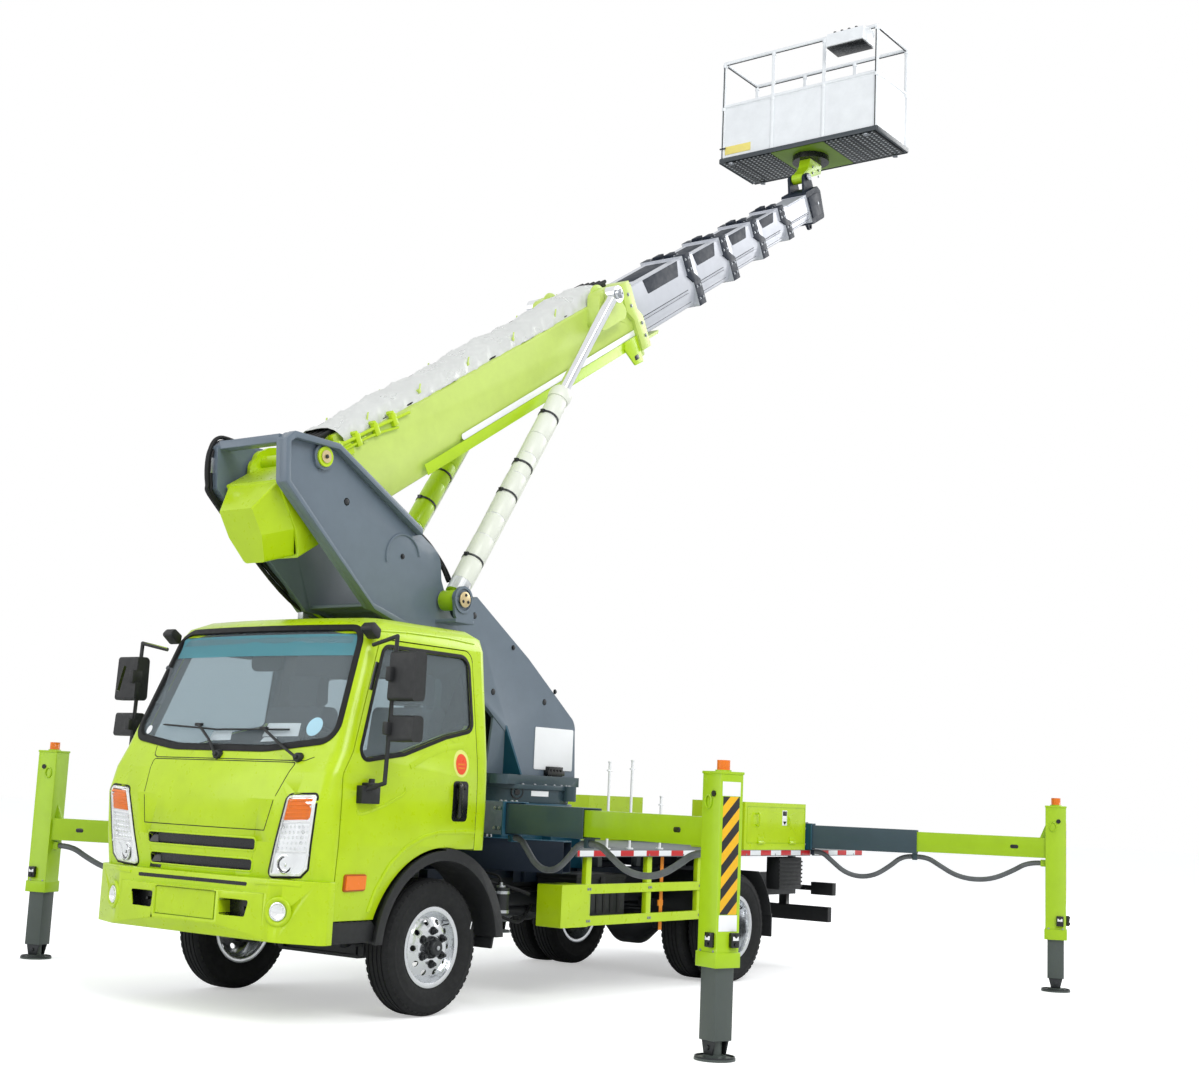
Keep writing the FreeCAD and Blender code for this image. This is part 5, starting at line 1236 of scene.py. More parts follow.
    def reflector(self, skin: Skin) -> None:
        """The left door's round reflector on its pale blank sticker.

        Args:
            skin: the door's skin.
        """
        bars = [corners(-142, -80, z, z + 11) for z in (1402, 1424)]
        rows = (("round_sticker_rim", PALE_LIME, [oval(-111, 1434, 68, 80)], 0.7, 1.5),
                ("round_reflector", ORANGE_ROUND, [oval(-111, 1430, 48, 60)], 2.5, 3),
                ("round_reflector_bars", AMBER, bars, 3.2, 1))
        for name, finish, outlines, proud, thick in rows:
            made = Maker(name, finish)
            for outline in outlines:
                skin.patch(made, outline, XZ, 1, proud, thick)
            made.done("door_left")

    def door_fittings(self, name: str, side: int) -> None:
        """Mirror feet and glasses, door card, winder and inner latch of one door.

        Args:
            name: left or right.
            side: 1 for the left side, -1 for the right.
        """
        body = "door_" + name
        feet = Maker("mirror_feet_" + name, TRIM)
        feet.box(612, 756, side * 905, side * 968, 1186, 1284, 6)
        feet.rod((668, side * 950, 1270), (668, side * 950, 1322), 17, sides=20, bevel=3)
        feet.box(640, 720, side * 925, side * 985, 1270, 1300, 5)
        feet.slab([(600, 2080, 18), (690, 2150, 18), (650, 2190, 18), (590, 2150, 14)], XZ, side * 800,
                  side * 880, 6)
        for z0, z1 in ((1850, 1930), (1560, 1630)):
            feet.box(655, 735, side * 1062, side * 1100, z0, z1, 8)
        feet.done(body, 40)
        glass = Maker("mirror_glass_" + name, MIRROR_GLASS)
        for z0, z1 in ((1760, 2000), (1540, 1654)):
            glass.slab(corners(side * 1078, side * 1236, z0, z1, 24), YZ, 607.5, 611, 1)
        glass.done(body)
        inner = Maker("door_card_" + name, INTERIOR)
        inner.slab([(820, 960), (820, 1380), (420, 1440), (20, 1550), (-215, 1600), (-215, 1080),
                    (300, 1080), (620, 960)], XZ, side * 868, side * 874, 2)
        inner.box(60, 420, side * 820, side * 868, 1250, 1300, 12).done(body, 40)
        wind = Maker("door_trim_bits_" + name, TRIM)
        wind.rod((540, side * 852, 1200), (540, side * 868, 1200), 26, sides=20, bevel=3)
        wind.pipe([(540, side * 850, 1200), (470, side * 846, 1185)], 7)
        wind.box(560, 640, side * 858, side * 868, 1320, 1350, 4).done(body, 40)

    def outside(self) -> None:
        """Pillar vents, step treads, roof gutter and rear wall ribs."""
        vent, gutter, band = Maker("pillar_vents", GLOSS_BLACK), Maker("roof_gutter", LIME), self.skin.band
        for side in (1, -1):
            band(vent, [(800, 1946), (818, 1880), (838, 1793)], XZ, side, 20, 4, 6)
            band(gutter, [(620, 2135), (520, 2155), (300, 2168), (-60, 2172), (-300, 2160)], XZ, side,
                 14, 6, 4)
        vent.done("chassis", 40)
        for y in (-700, -350, 350, 700):
            band(gutter, [(y, 1050), (y, 1400)], YZ, -1, 40, 7, 3)
        band(gutter, [(-780, 1010), (780, 1010)], YZ, -1, 40, 7, 3)
        gutter.done("chassis", 50)
        tread = Maker("step_treads", TRIM)
        for x in range(560, 840, 44):
            tread.box(x, x + 22, 720, 898, 553, 557, 1.5)
        tread.box(545, 855, 899, 903, 450, 545, 2).mirror().done("chassis")

    def bumper(self) -> None:
        """Fog lamps, plate panel, pressed lines and the dark backing of the openings."""
        skin = Skin(self.frame, ("front_bumper",))
        rows = (("fog_lamp_dishes", LIME, ((80, -6), (78, 3), (70, 8), (60, 5), (50, -6)), 40, 50),
                ("fog_lamp_rings", CRYSTAL, ((50, -6), (49, 4), (44, 6), (38, 3), (14, 1), (0, 0)), 36, 40),
                ("fog_lamp_glass", LENS, ((44, 4), (38, 10), (24, 14), (0, 16)), 32, 50))
        for name, finish, profile, sides, smooth in rows:
            lamp = Maker(name, finish)
            for side in (1, -1):
                centre = skin.spot(YZ, 1, side * 682, 602)
                lamp.spin(profile, centre, (1, 0.31 * side, 0), sides, closed=False)
            lamp.done("chassis", smooth)
        back = Maker("bumper_backing", GLOSS_BLACK).box(1010.5, 1014, 264, 494, 550, 658, 0)
        back.rod((1014, 400, 600), (1030, 400, 600), 9, sides=16).mirror().done("chassis")
        plate, seam, panel = Maker("plate_panel", LIME), Maker("bumper_seams", SEAL), rounded(self.plate)
        skin.patch(plate, panel, YZ, 1, 4, 3)
        for side in (1, -1):
            skin.band(plate, [(side * 520, 742), (side * 700, 748), (side * 800, 744)], YZ, 1, 16, 4, 3)
        plate.done("chassis", 40)
        skin.band(seam, grown(panel, 3), YZ, 1, 2, 0.3, 4, closed=True)
        seam.done("chassis")

    def build(self) -> None:
        """All of the cab's detail."""
        self.seals()
        self.seams()
        for name, side in SIDES.items():
            self.head_lamp(name, side)
            self.door(name, side)
            self.door_fittings(name, side)
        self.wipers()
        self.inside()
        self.outside()
        self.bumper()


# ---------------------------------------------------------------- wheels
@dataclass(frozen=True)
class Wheel:
    """One wheel: body, node it replaces, place, side and where its disc's face lies."""

    name: str
    body: str
    x: float
    y: float
    side: int
    face: float


def wheel_table() -> list[Wheel]:
    """The six wheels.

    Returns:
        The wheels.
    """
    rows = []
    for name, side in SIDES.items():
        outer, inner = REAR_OUTER_TYRE_Y, REAR_OUTER_TYRE_Y - TWIN_SPACING
        rows += [Wheel("front_" + name, "front_wheel_" + name, 0.0, side * FRONT_TYRE_Y, side, 82.0),
                 Wheel("rear_outer_" + name, "rear_wheels_" + name, -WHEELBASE, side * outer, side, -109.0),
                 Wheel("rear_inner_" + name, "rear_wheels_" + name, -WHEELBASE, side * inner, side, 127.0)]
    return rows


@dataclass
class Wheels:
    """Treaded tyres, hubs, nuts and valves."""

    tread: tuple = ((0, 386), (11, 386), (13, 378), (19, 378), (21, 386), (42, 385.4), (44, 377.5),
                    (50, 377.5), (52, 385), (66, 383), (79, 372), (88, 360), (93, 348), (96.5, 332),
                    (97, 331), (98, 329), (98, 322), (97, 320), (97.4, 300), (96.5, 283), (92, 262),
                    (84, 242), (80, 237), (79, 231), (74, 226), (72, 220), (70, 214.5))
    lugs: int = 52
    lug_size: tuple = (27, 25, 19)
    lug_place: tuple = (74, 374.5)
    shoulder: tuple = (376, 80, 371)
    nut_circle: float = 93.0
    valve_circle: float = 172.0
    cap: tuple = ((0, -6), (60, -6), (60, 4), (56, 10), (48, 12), (47, 30), (40, 38), (0, 40))

    def tyre(self, wheel: Wheel, maker: Maker) -> None:
        """Tread with grooves and shoulder lugs, and sidewalls with a raised line.

        Args:
            wheel: the wheel.
            maker: takes the mesh.
        """
        right = [(r, a) for a, r in self.tread]
        left = [(r, -a) for a, r in reversed(self.tread[1:])]
        centre = Vector((wheel.x, wheel.y, TYRE_RADIUS))
        maker.spin(left + right, centre, (0, 1, 0), 96)
        lugs, size = bmesh.new(), Matrix.Diagonal((*self.lug_size, 1))
        for k in range(self.lugs):
            for side in (1, -1):
                turn = Matrix.Rotation(tau * (k + 0.25 * side) / self.lugs, 4, "Y")
                cube = bmesh.ops.create_cube(lugs, size=1.0)["verts"]
                place = Matrix.Translation((0, side * self.lug_place[0], self.lug_place[1]))
                bmesh.ops.transform(lugs, matrix=turn @ place @ size, verts=cube)
        limit, edge, radius = self.shoulder
        for vert in lugs.verts:
            out = hypot(vert.co.x, vert.co.z)
            if out > limit and abs(vert.co.y) > edge:
                vert.co.x *= radius / out
                vert.co.z *= radius / out
        bmesh.ops.translate(lugs, vec=centre, verts=lugs.verts)
        maker.add(lugs)

    def hub(self, wheel: Wheel, dark: Maker, bright: Maker) -> None:
        """Nuts, cap and valve on the outside of a wheel.

        Args:
            wheel: the wheel.
            dark: takes the nuts and cap.
            bright: takes the bright centre.
        """
        s, y, z = wheel.side, wheel.y + wheel.side * wheel.face, TYRE_RADIUS
        for a in turns(6, shift=0.5):
            x, h = wheel.x + self.nut_circle * cos(a), z + self.nut_circle * sin(a)
            dark.rod((x, y - s * 2, h), (x, y + s * 4, h), 25, sides=20)
            dark.rod((x, y, h), (x, y + s * 24, h), 19, 18, sides=6, bevel=1.5)
            dark.rod((x, y, h), (x, y + s * 36, h), 10, sides=12)
        x, h = wheel.x + self.valve_circle * cos(2.4), z + self.valve_circle * sin(2.4)
        lift = wheel.y + s * (41 if wheel.face > 0 else 5)
        dark.rod((x, lift, h), (x - 12, lift + s * 40, h + 10), 4.5, sides=8)
        if wheel.face > 100:
            return
        tip = y + s * (8 if wheel.face > 0 else 101)
        dark.spin(self.cap, (wheel.x, tip, z), (0, s, 0), 36, closed=False)
        dark.bolts([(wheel.x + 52 * cos(a), tip + s * 9, z + 52 * sin(a)) for a in turns(8)],
                   (0, s, 0), 5, 6)
        bright.rod((wheel.x, tip + s * 39, z), (wheel.x, tip + s * 45, z), 13, sides=20, bevel=1.5)

    def build(self) -> None:
        """All six wheels."""
        makers: dict = {}
        for wheel in wheel_table():
            node = "tyre%s_%s" % ("_front" if wheel.x == 0 else "s_rear", wheel.name.split("_")[-1])
            if node not in makers:
                makers[node] = (Maker(node + "_treaded", TYRE), Maker(node + "_nuts", NUT),
                                Maker(node + "_caps", STEEL), wheel.body)
            maker, dark, bright, _ = makers[node]
            self.tyre(wheel, maker)
            self.hub(wheel, dark, bright)
        for node, (maker, dark, bright, body) in makers.items():
            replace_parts(maker.done(body, 35), node)
            dark.done(body, 40)
            bright.done(body, 40)
        y = FRONT_TYRE_Y + 97.2
        mark = Maker("tyre_mark", LABEL)
        mark.slab([(-318, 480), (-311, 478), (-321, 520), (-328, 519)], XZ, y, y + 1.2, 0)
        mark.done("front_wheel_left")


# ---------------------------------------------------------------- running gear
@dataclass
class RunningGear:
    """Shafts, exhaust, straps, clips, pipes and rear lamps under the truck."""

    shaft_joints: tuple = ((-960, 518), (-1990, 476), (-3020, 405))
    shaft_radius: float = 42.0
    exhaust_y: float = -215.0
    exhaust_radius: float = 30.0
    silencer: tuple = (-1420, -1980, 470, 88)
    axle_rises: tuple = ((0.0, -30), (-WHEELBASE, 40))
    rail_inside: float = 303.0
    tank_straps: tuple = (-1640, -2050)
    reservoirs: tuple = (-760, -900)
    battery_lid: tuple = ((-1492, 735, 14), (-2058, 735, 14), (-2058, 770, 20), (-1492, 770, 20))

    def shaft(self) -> None:
        """Two-part propeller shaft with its gearbox end, middle bearing and joints."""
        shaft = Maker("propeller_shaft", CHASSIS)
        shaft.rod((-560, 0, 520), (-840, 0, 520), 130, 95, sides=28, bevel=10)
        shaft.rod((-840, 0, 520), (-960, 0, 518), 62, bevel=4)
        shaft.rod((-960, 0, 518), (-1900, 0, 480), self.shaft_radius)
        shaft.rod((-1900, 0, 480), (-1990, 0, 476), 66, bevel=4)
        shaft.box(-1960, -1920, -120, 120, 470, 545, 6)
        shaft.rod((-1990, 0, 476), (-3020, 0, 405), self.shaft_radius)
        for x, z in self.shaft_joints:
            shaft.rod((x, -52, z), (x, 52, z), 20, sides=16)
            shaft.rod((x + 40, 0, z), (x - 40, 0, z), 58, sides=20, bevel=4)
        shaft.done("chassis", 35)

    def exhaust(self) -> None:
        """Silencer and the pipes to and from it."""
        front, back, z, radius = self.silencer
        y = self.exhaust_y
        exhaust = Maker("exhaust", ZINC)
        exhaust.rod((front, y, z), (back, y, z), radius, sides=28, bevel=8)
        for route in ([(-560, y + 35, 600), (-700, y + 5, 520), (-1000, y, 480), (front, y, z)],
                      [(back, y, z), (-2200, y - 10, 462), (-2420, y - 115, 430), (-2560, y - 205, 420)]):
            exhaust.pipe(route, self.exhaust_radius, 14)
        exhaust.done("chassis", 35)

    def springs(self) -> None:
        """U-bolts round the leaf springs, and the dampers beside them."""
        grip = Maker("spring_clips", CHASSIS)
        for x, rise in self.axle_rises:
            low, high = TYRE_RADIUS + rise - 62, TYRE_RADIUS + rise + 96
            for dx in (-38, 38):
                for y in (self.rail_inside + 4, self.rail_inside + 68):
                    grip.rod((x + dx, y, low), (x + dx, y, high), 9, sides=12)
            grip.rod((x + 120, 300, 350), (x + 220, 300, 640), 32, sides=20, bevel=3)
            grip.rod((x + 170, 300, 495), (x + 222, 300, 646), 40, sides=20, bevel=3)
        grip.mirror().done("chassis", 35)

    def tanks(self) -> None:
        """Straps of the fuel tank and air tanks, filler cap, reservoir caps and battery cover."""
        straps = Maker("tank_straps", STEEL)
        for x in self.tank_straps:
            for y1, z0, z1 in ((-448, 466, 470), (-820, 466, 744), (-448, 740, 744)):
                straps.box(x - 18, x + 18, -824, y1, z0, z1, 1)
        straps.rod((-1540, -822, 690), (-1540, -850, 690), 44, sides=28, bevel=4)
        for x in self.reservoirs:
            for z in (545, 662):
                straps.ring(54, 58, -9, 9, (x, 620, z), (0, 0, 1), 28)
            straps.rod((x, 620, 688), (x, 620, 704), 30, sides=20, bevel=3)
            straps.rod((x, 620, 700), (x, 620, 722), 12, sides=12)
        straps.done("chassis", 35)
        cover = Maker("battery_cover", TRIM)
        cover.slab(rounded(self.battery_lid), XZ, 432, 768, 6)
        cover.box(-1800, -1750, 768, 776, 700, 752, 3)
        for k in range(6):
            cover.box(-1560 - 80 * k, -1590 - 80 * k, 760, 765, 520, 700, 2)
        cover.done("chassis", 40)

    def pipes(self) -> None:
        """Brake pipes on the rails and round the reservoirs."""
        pipes = Maker("brake_pipes", HOSE_BLACK)
        y = self.rail_inside + 76
        pipes.pipe([(880, y, 640), (300, y, 650), (-700, y, 640), (-2700, y, 645), (-2950, y, 560)], 9, 8)
        pipes.pipe([(880, y, 664), (300, y, 672), (-700, y, 664), (-2700, y, 668)], 7, 8)
        pipes.mirror()
        for x in self.reservoirs:
            pipes.pipe([(x, 620, 716), (x + 10, 600, 760), (x + 40, 500, 770), (x + 60, 400, 700)], 8, 8)
        pipes.pipe([(-820, 560, 560), (-980, 590, 500), (-1120, 600, 470), (-1250, 560, 520),
                    (-1400, 470, 560)], 10, 8)
        pipes.pipe([(-700, 500, 760), (-980, 640, 690), (-1090, 700, 650)], 11, 8)
        pipes.done("chassis", 40)
        strap = Maker("orange_strap", ORANGE)
        strap.box(-2338, -2300, 874, 878, 398, 892, 1).box(-2348, -2290, 866, 877, 560, 600, 3)
        strap.done("chassis")

    def lamps(self) -> None:
        """Rear lamps, reflectors and a blank plate."""
        red = Maker("tail_lamps", RED_LENS).box(-5066, -5060, 566, 690, 566, 654, 2)
        red.box(-4996, -4990, 620, 700, 385, 435, 2).mirror().done("chassis")
        amber = Maker("tail_indicators", AMBER).box(-5066, -5060, 694, 754, 566, 654, 2)
        amber.mirror().done("chassis")
        Maker("rear_plate", LABEL).box(-4996, -4990, -240, 240, 360, 460, 2).done("chassis")

    def build(self) -> None:
        """Everything below the deck that isn't a CAD node."""
        for part in (self.shaft, self.exhaust, self.springs, self.tanks, self.pipes, self.lamps):
            part()


# ---------------------------------------------------------------- deck and lockers
@dataclass
class Deckwork:
    """Tape, latches, hinges, posts and rail bolts on the body."""

    side_y: float = 944.0
    tape: tuple = (1.2, 898, 934)
    tape_runs: tuple = ((1, -5148, -4344), (1, -4280, -1252), (-1, -5148, -4420), (-1, -4215, -1252))
    hinges: tuple = (-3520, -3990)
    posts: tuple = ((-1640, 1500), (-1900, 1520), (-2260, 1290))
    post_y: float = 890.0
    guard_posts: tuple = (-1420, -2110, -2740)
    skirt: tuple = (421, 425, 705, 965)
    skirt_ribs: tuple = (-1930, -1640, -1350)

    def tapes(self) -> None:
        """Reflective tape along the edges of the deck, and the locker's blank label."""
        thick, low, high = self.tape
        tape = Maker("side_tape", TAPE)
        for side, x0, x1 in self.tape_runs:
            tape.box(x0, x1, side * self.side_y, side * (self.side_y + thick), low, high, 0.3)
        tape.done("chassis")
        Maker("rear_tape", TAPE_REAR).box(-5150 - thick, -5150, -900, 900, low, high, 0.3).done("chassis")
        Maker("locker_label", LABEL).box(-3905, -3835, 942, 944.5, 1120, 1232, 0.3).done("chassis")
        band = Maker("locker_label_band", GLOSS_BLACK).box(-3900, -3840, 944, 945.2, 1192, 1226, 0.3)
        band.slab([(-3870, 1124), (-3842, 1150), (-3898, 1150)], XZ, 944, 945.2, 0.2).done("chassis")

    def locker(self) -> None:
        """Hinges, latch and handle of the lockers."""
        metal, y = Maker("locker_hardware", LIME), self.side_y
        for x in self.hinges:
            metal.rod((x - 45, y + 4, 992), (x + 45, y + 4, 992), 9, sides=14, bevel=1)
            metal.box(x - 40, x + 40, y - 2, y + 3, 996, 1030, 1.5)
        metal.box(-3940, -3910, y + 6, y + 12, 1130, 1190, 2)
        metal.rod((-3925, y + 9, 1172), (-3925, y + 18, 1172), 11, sides=18, bevel=1.5)
        metal.pipe([(-3450, y, 1120), (-3450, y + 28, 1120), (-3450, y + 28, 1200), (-3450, y, 1200)], 7)
        metal.mirror().done("chassis", 35)

    def build(self) -> None:
        """All of the deck's detail."""
        self.tapes()
        self.locker()
        posts, y = Maker("thin_posts", WHITE), self.post_y
        for x, top in self.posts:
            posts.rod((x, y, DECK_TOP), (x, y, top), 9, sides=14)
            posts.rod((x, y, DECK_TOP), (x, y, DECK_TOP + 12), 26, sides=20, bevel=3)
            posts.rod((x, y, top), (x, y, top + 10), 13, sides=14, bevel=3)
            posts.pipe([(x - 26, y, top - 50), (x + 26, y, top - 50)], 6, 8)
        posts.done("chassis", 35)
        bolts = Maker("guard_bolts", ZINC)
        for x in self.guard_posts:
            bolts.bolts([(x + dx, 925, z) for z in (490, 690) for dx in (-12, 12)], (0, 1, 0), 7, 6)
        bolts.bolts([(x, 945, 905) for x in range(-5000, -1300, 420)], (0, 1, 0), 5, 3)
        bolts.mirror().done("chassis", 35)
        inside, outside, low, high = self.skirt
        skirt = Maker("pedestal_skirts", NAVY).box(-2050, -1260, inside, outside, low, high, 1)
        for x in self.skirt_ribs:
            skirt.box(x - 9, x + 9, outside, outside + 25, low, high - 5, 2)
        skirt.mirror().done("chassis")
        louvre = Maker("rear_louvres", TRIM).box(-4200, -3860, 800, 915, 640, 880, 6)
        for k in range(7):
            louvre.box(-4205, -3855, 912, 922, 660 + 30 * k, 674 + 30 * k, 2)
        louvre.mirror().done("chassis", 35)


# ---------------------------------------------------------------- outriggers
@dataclass
class OutriggerTrim:
    """Labels, stripes, sensors, rings, bolts and plugs on the outriggers."""

    sticker: float = 0.8
    stripes: tuple = (712, 123)
    labels: tuple = ((120, 48), (795, 715))
    sensor_height: float = 74.0
    sensor_depth: float = 24.0
    wall: float = 13.0

    def leg(self, leg: Leg) -> None:
        """Labels, stripes, sensors, lifting ring and collars of one leg.

        Args:
            leg: the outrigger.
        """
        frame, body, s0 = leg.matrix(), "leg_" + leg.name, leg.along(leg.leg_y)
        top, low = leg.top - leg.z, leg.top - LEG_LENGTH - leg.z
        half = LEG_WIDTH / 2
        face = s0 + half
        z0 = low + 112 + 24
        label = Maker("leg_labels_" + leg.name, LABEL, frame)
        for down, up in self.labels:
            label.box(18 - half, half - 10, face, face + self.sticker, top - down, top - up, 0.2)
        label.box(half + 22, half + 27, s0 + 14, s0 + 50, z0, z0 + 20, 2)
        label.box(-50, -14, face + 22, face + 27, z0, z0 + 20, 2).done(body)
        stripes = Maker("leg_stripes_" + leg.name, STRIPE_PANEL, frame)
        stripes.box(22 - half, half - 16, face, face + self.sticker, top - self.stripes[0],
                    top - self.stripes[1], 0.2).done(body)
        dark, z0, deep = Maker("leg_sensors_" + leg.name, GLOSS_BLACK, frame), low + 100, self.sensor_depth
        dark.box(half, half + deep, s0 + 6, s0 + 58, z0, z0 + self.sensor_height, 4)
        dark.box(-58, -6, face, face + deep, z0, z0 + self.sensor_height, 4)
        for z in (z0 + 16, z0 + 58):
            dark.rod((half + deep, s0 + 32, z), (half + deep + 6, s0 + 32, z), 9, sides=14)
            dark.rod((-32, face + deep, z), (-32, face + deep + 6, z), 9, sides=14)
        dark.rod((half, s0 + 20, top - 110), (half + 6, s0 + 20, top - 110), 16, sides=20)
        dark.done(body, 40)
        metal = Maker("leg_hardware_" + leg.name, LIME_DEEP, frame)
        metal.pipe([(half + 4, s0 - 20 + 24 * cos(a), top - 150 + 34 * sin(a))
                    for a in turns(16, 17)], 5, 8, False)
        metal.box(-half - 4, half + 4, s0 - half - 4, face + 4, top - 10, top + 4, 3)
        metal.box(-half - 3, half + 3, s0 - half - 3, face + 3, low + 2, low + 30, 3)
        metal.done(body, 35)
        bolts = Maker("leg_bolts_" + leg.name, ZINC, frame)
        bolts.bolts([(half, s0 + dy, low + dz) for dy in (-50, 50) for dz in (50, 80)], (1, 0, 0), 5, 4)
        bolts.done(body, 35)

    def jack(self, leg: Leg) -> None:
        """Fork, pin and rim over one foot plate.

        Args:
            leg: the outrigger.
        """
        s0, ground = leg.along(leg.leg_y), -leg.z
        jack = Maker("jack_foot_" + leg.name, NUT, leg.matrix())
        cheek = [(s0 + ds, ground + dz) for ds, dz in ((-50, 96), (50, 96), (32, 26), (-32, 26))]
        for x in (38, -48):
            jack.slab(cheek, YZ, x, x + 10, 2)
        jack.rod((-58, s0, ground + 62), (58, s0, ground + 62), 13, sides=18, bevel=2)
        jack.ring(96, 102, 12, 20, (0, s0, ground), (0, 0, 1), 40)
        jack.done("jack_" + leg.name, 35)

    def beams(self, leg: Leg) -> None:
        """Bolts of one housing, and the plug in its leg's beam.

        Args:
            leg: the outrigger.
        """
        frame, end, leg_s = leg.matrix(), leg.along(HOUSING_END_Y), leg.along(leg.leg_y)
        half_w, half_h = STAGE1_WIDTH / 2 + self.wall, STAGE1_HEIGHT / 2 + self.wall
        base, rows = Maker("housing_bolts_" + leg.name, ZINC, frame), (end - 60, end - 110)
        for side in (1, -1):
            base.bolts([(side * half_w, s, dz) for dz in (-60, 60) for s in rows], (side, 0, 0), 9, 8)
            base.bolts([(side * 40, s, half_h) for s in rows], (0, 0, 1), 9, 8)
        base.done("chassis", 35)
        plug, half = Maker("leg_beam_plug_" + leg.name, GLOSS_BLACK, frame), STAGE1_WIDTH / 2 - self.wall
        hole = corners(leg_s - 330, leg_s - 270, -14, 14, 13)
        plug.slab(hole, YZ, half - 0.5, half + 1.2, 0.3)
        plug.slab(hole, YZ, -half - 1.2, 0.5 - half, 0.3).done("leg_" + leg.name)

    def build(self) -> None:
        """All four outriggers."""
        for leg in LEGS:
            self.leg(leg)
            self.jack(leg)
            self.beams(leg)


@dataclass
class OutriggerHoses:
    """The two sagging spans of corrugated hose under each outrigger."""

    clearance: float = 7.0
    shares: tuple = ((0.0, 0.0), (0.08, 0.0), (0.18, 0.36), (0.31, 0.82), (0.46, 1.0), (0.62, 0.9),
                     (0.77, 0.48), (0.9, 0.0), (1.0, 0.0))

    def span(self, leg: Leg, number: int, low: float, high: float, sag: float) -> None:
        """One span as a round curve.

        Args:
            leg: the outrigger it belongs to.
            number: 1 for the inner span, 2 for the outer one.
            low: where it leaves its inner gland, along the beam.
            high: where it enters its outer clip.
            sag: how far its line's lowest point lies below the clips.
        """
        top = -STAGE1_HEIGHT / 2 - HOSE_RADIUS - self.clearance
        matrix = leg.matrix()
        points = [matrix @ Vector((0, low + (high - low) * u, top - sag * v)) for u, v in self.shares]
        curve = bpy.data.curves.new("outrigger_hose", "CURVE")
        curve.dimensions = "3D"
        curve.bevel_depth = 1.0
        curve.bevel_resolution = 3
        curve.resolution_u = 12
        line = curve.splines.new("NURBS")
        line.points.add(len(points) - 1)
        for target, point in zip(line.points, points):
            target.co = (*point, 1.0)
            target.radius = HOSE_RADIUS / 1000
        line.order_u = 3
        line.use_endpoint_u = True
        curve.materials.append(HOSE.material())
        made = bpy.data.objects.new("outrigger_hose_%s_%d" % (leg.name, number), curve)
        bpy.context.scene.collection.objects.link(made)
        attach(made, "stage1_" + leg.name)
        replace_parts(made, "outrigger_hose_" + leg.name)
        length = curve_length(curve)
        tuple(points[0])

    def build(self) -> None:
        """Both spans of all four outriggers."""
        for leg in LEGS:
            start = leg.along(HOUSING_END_Y) + 8
            clip = leg.along(STAGE1_END_Y)
            gland = leg.along(leg.leg_y) - LEG_WIDTH / 2 - CLIP_LENGTH
            self.span(leg, 1, start, clip - CLIP_LENGTH, 175.0)
            self.span(leg, 2, clip, gland, 150.0)


def curve_length(curve: bpy.types.Curve) -> float:
    """Length of a curve's own line, without its bevel.

    Args:
        curve: the curve.

    Returns:
        The length in metres.
    """
    depth, curve.bevel_depth = curve.bevel_depth, 0.0
    holder = bpy.data.objects.new("measure", curve)
    mesh = bpy.data.meshes.new_from_object(holder)
    total = sum((mesh.vertices[e.vertices[0]].co - mesh.vertices[e.vertices[1]].co).length
                for e in mesh.edges)
    bpy.data.objects.remove(holder)
    bpy.data.meshes.remove(mesh)
    curve.bevel_depth = depth
    return total


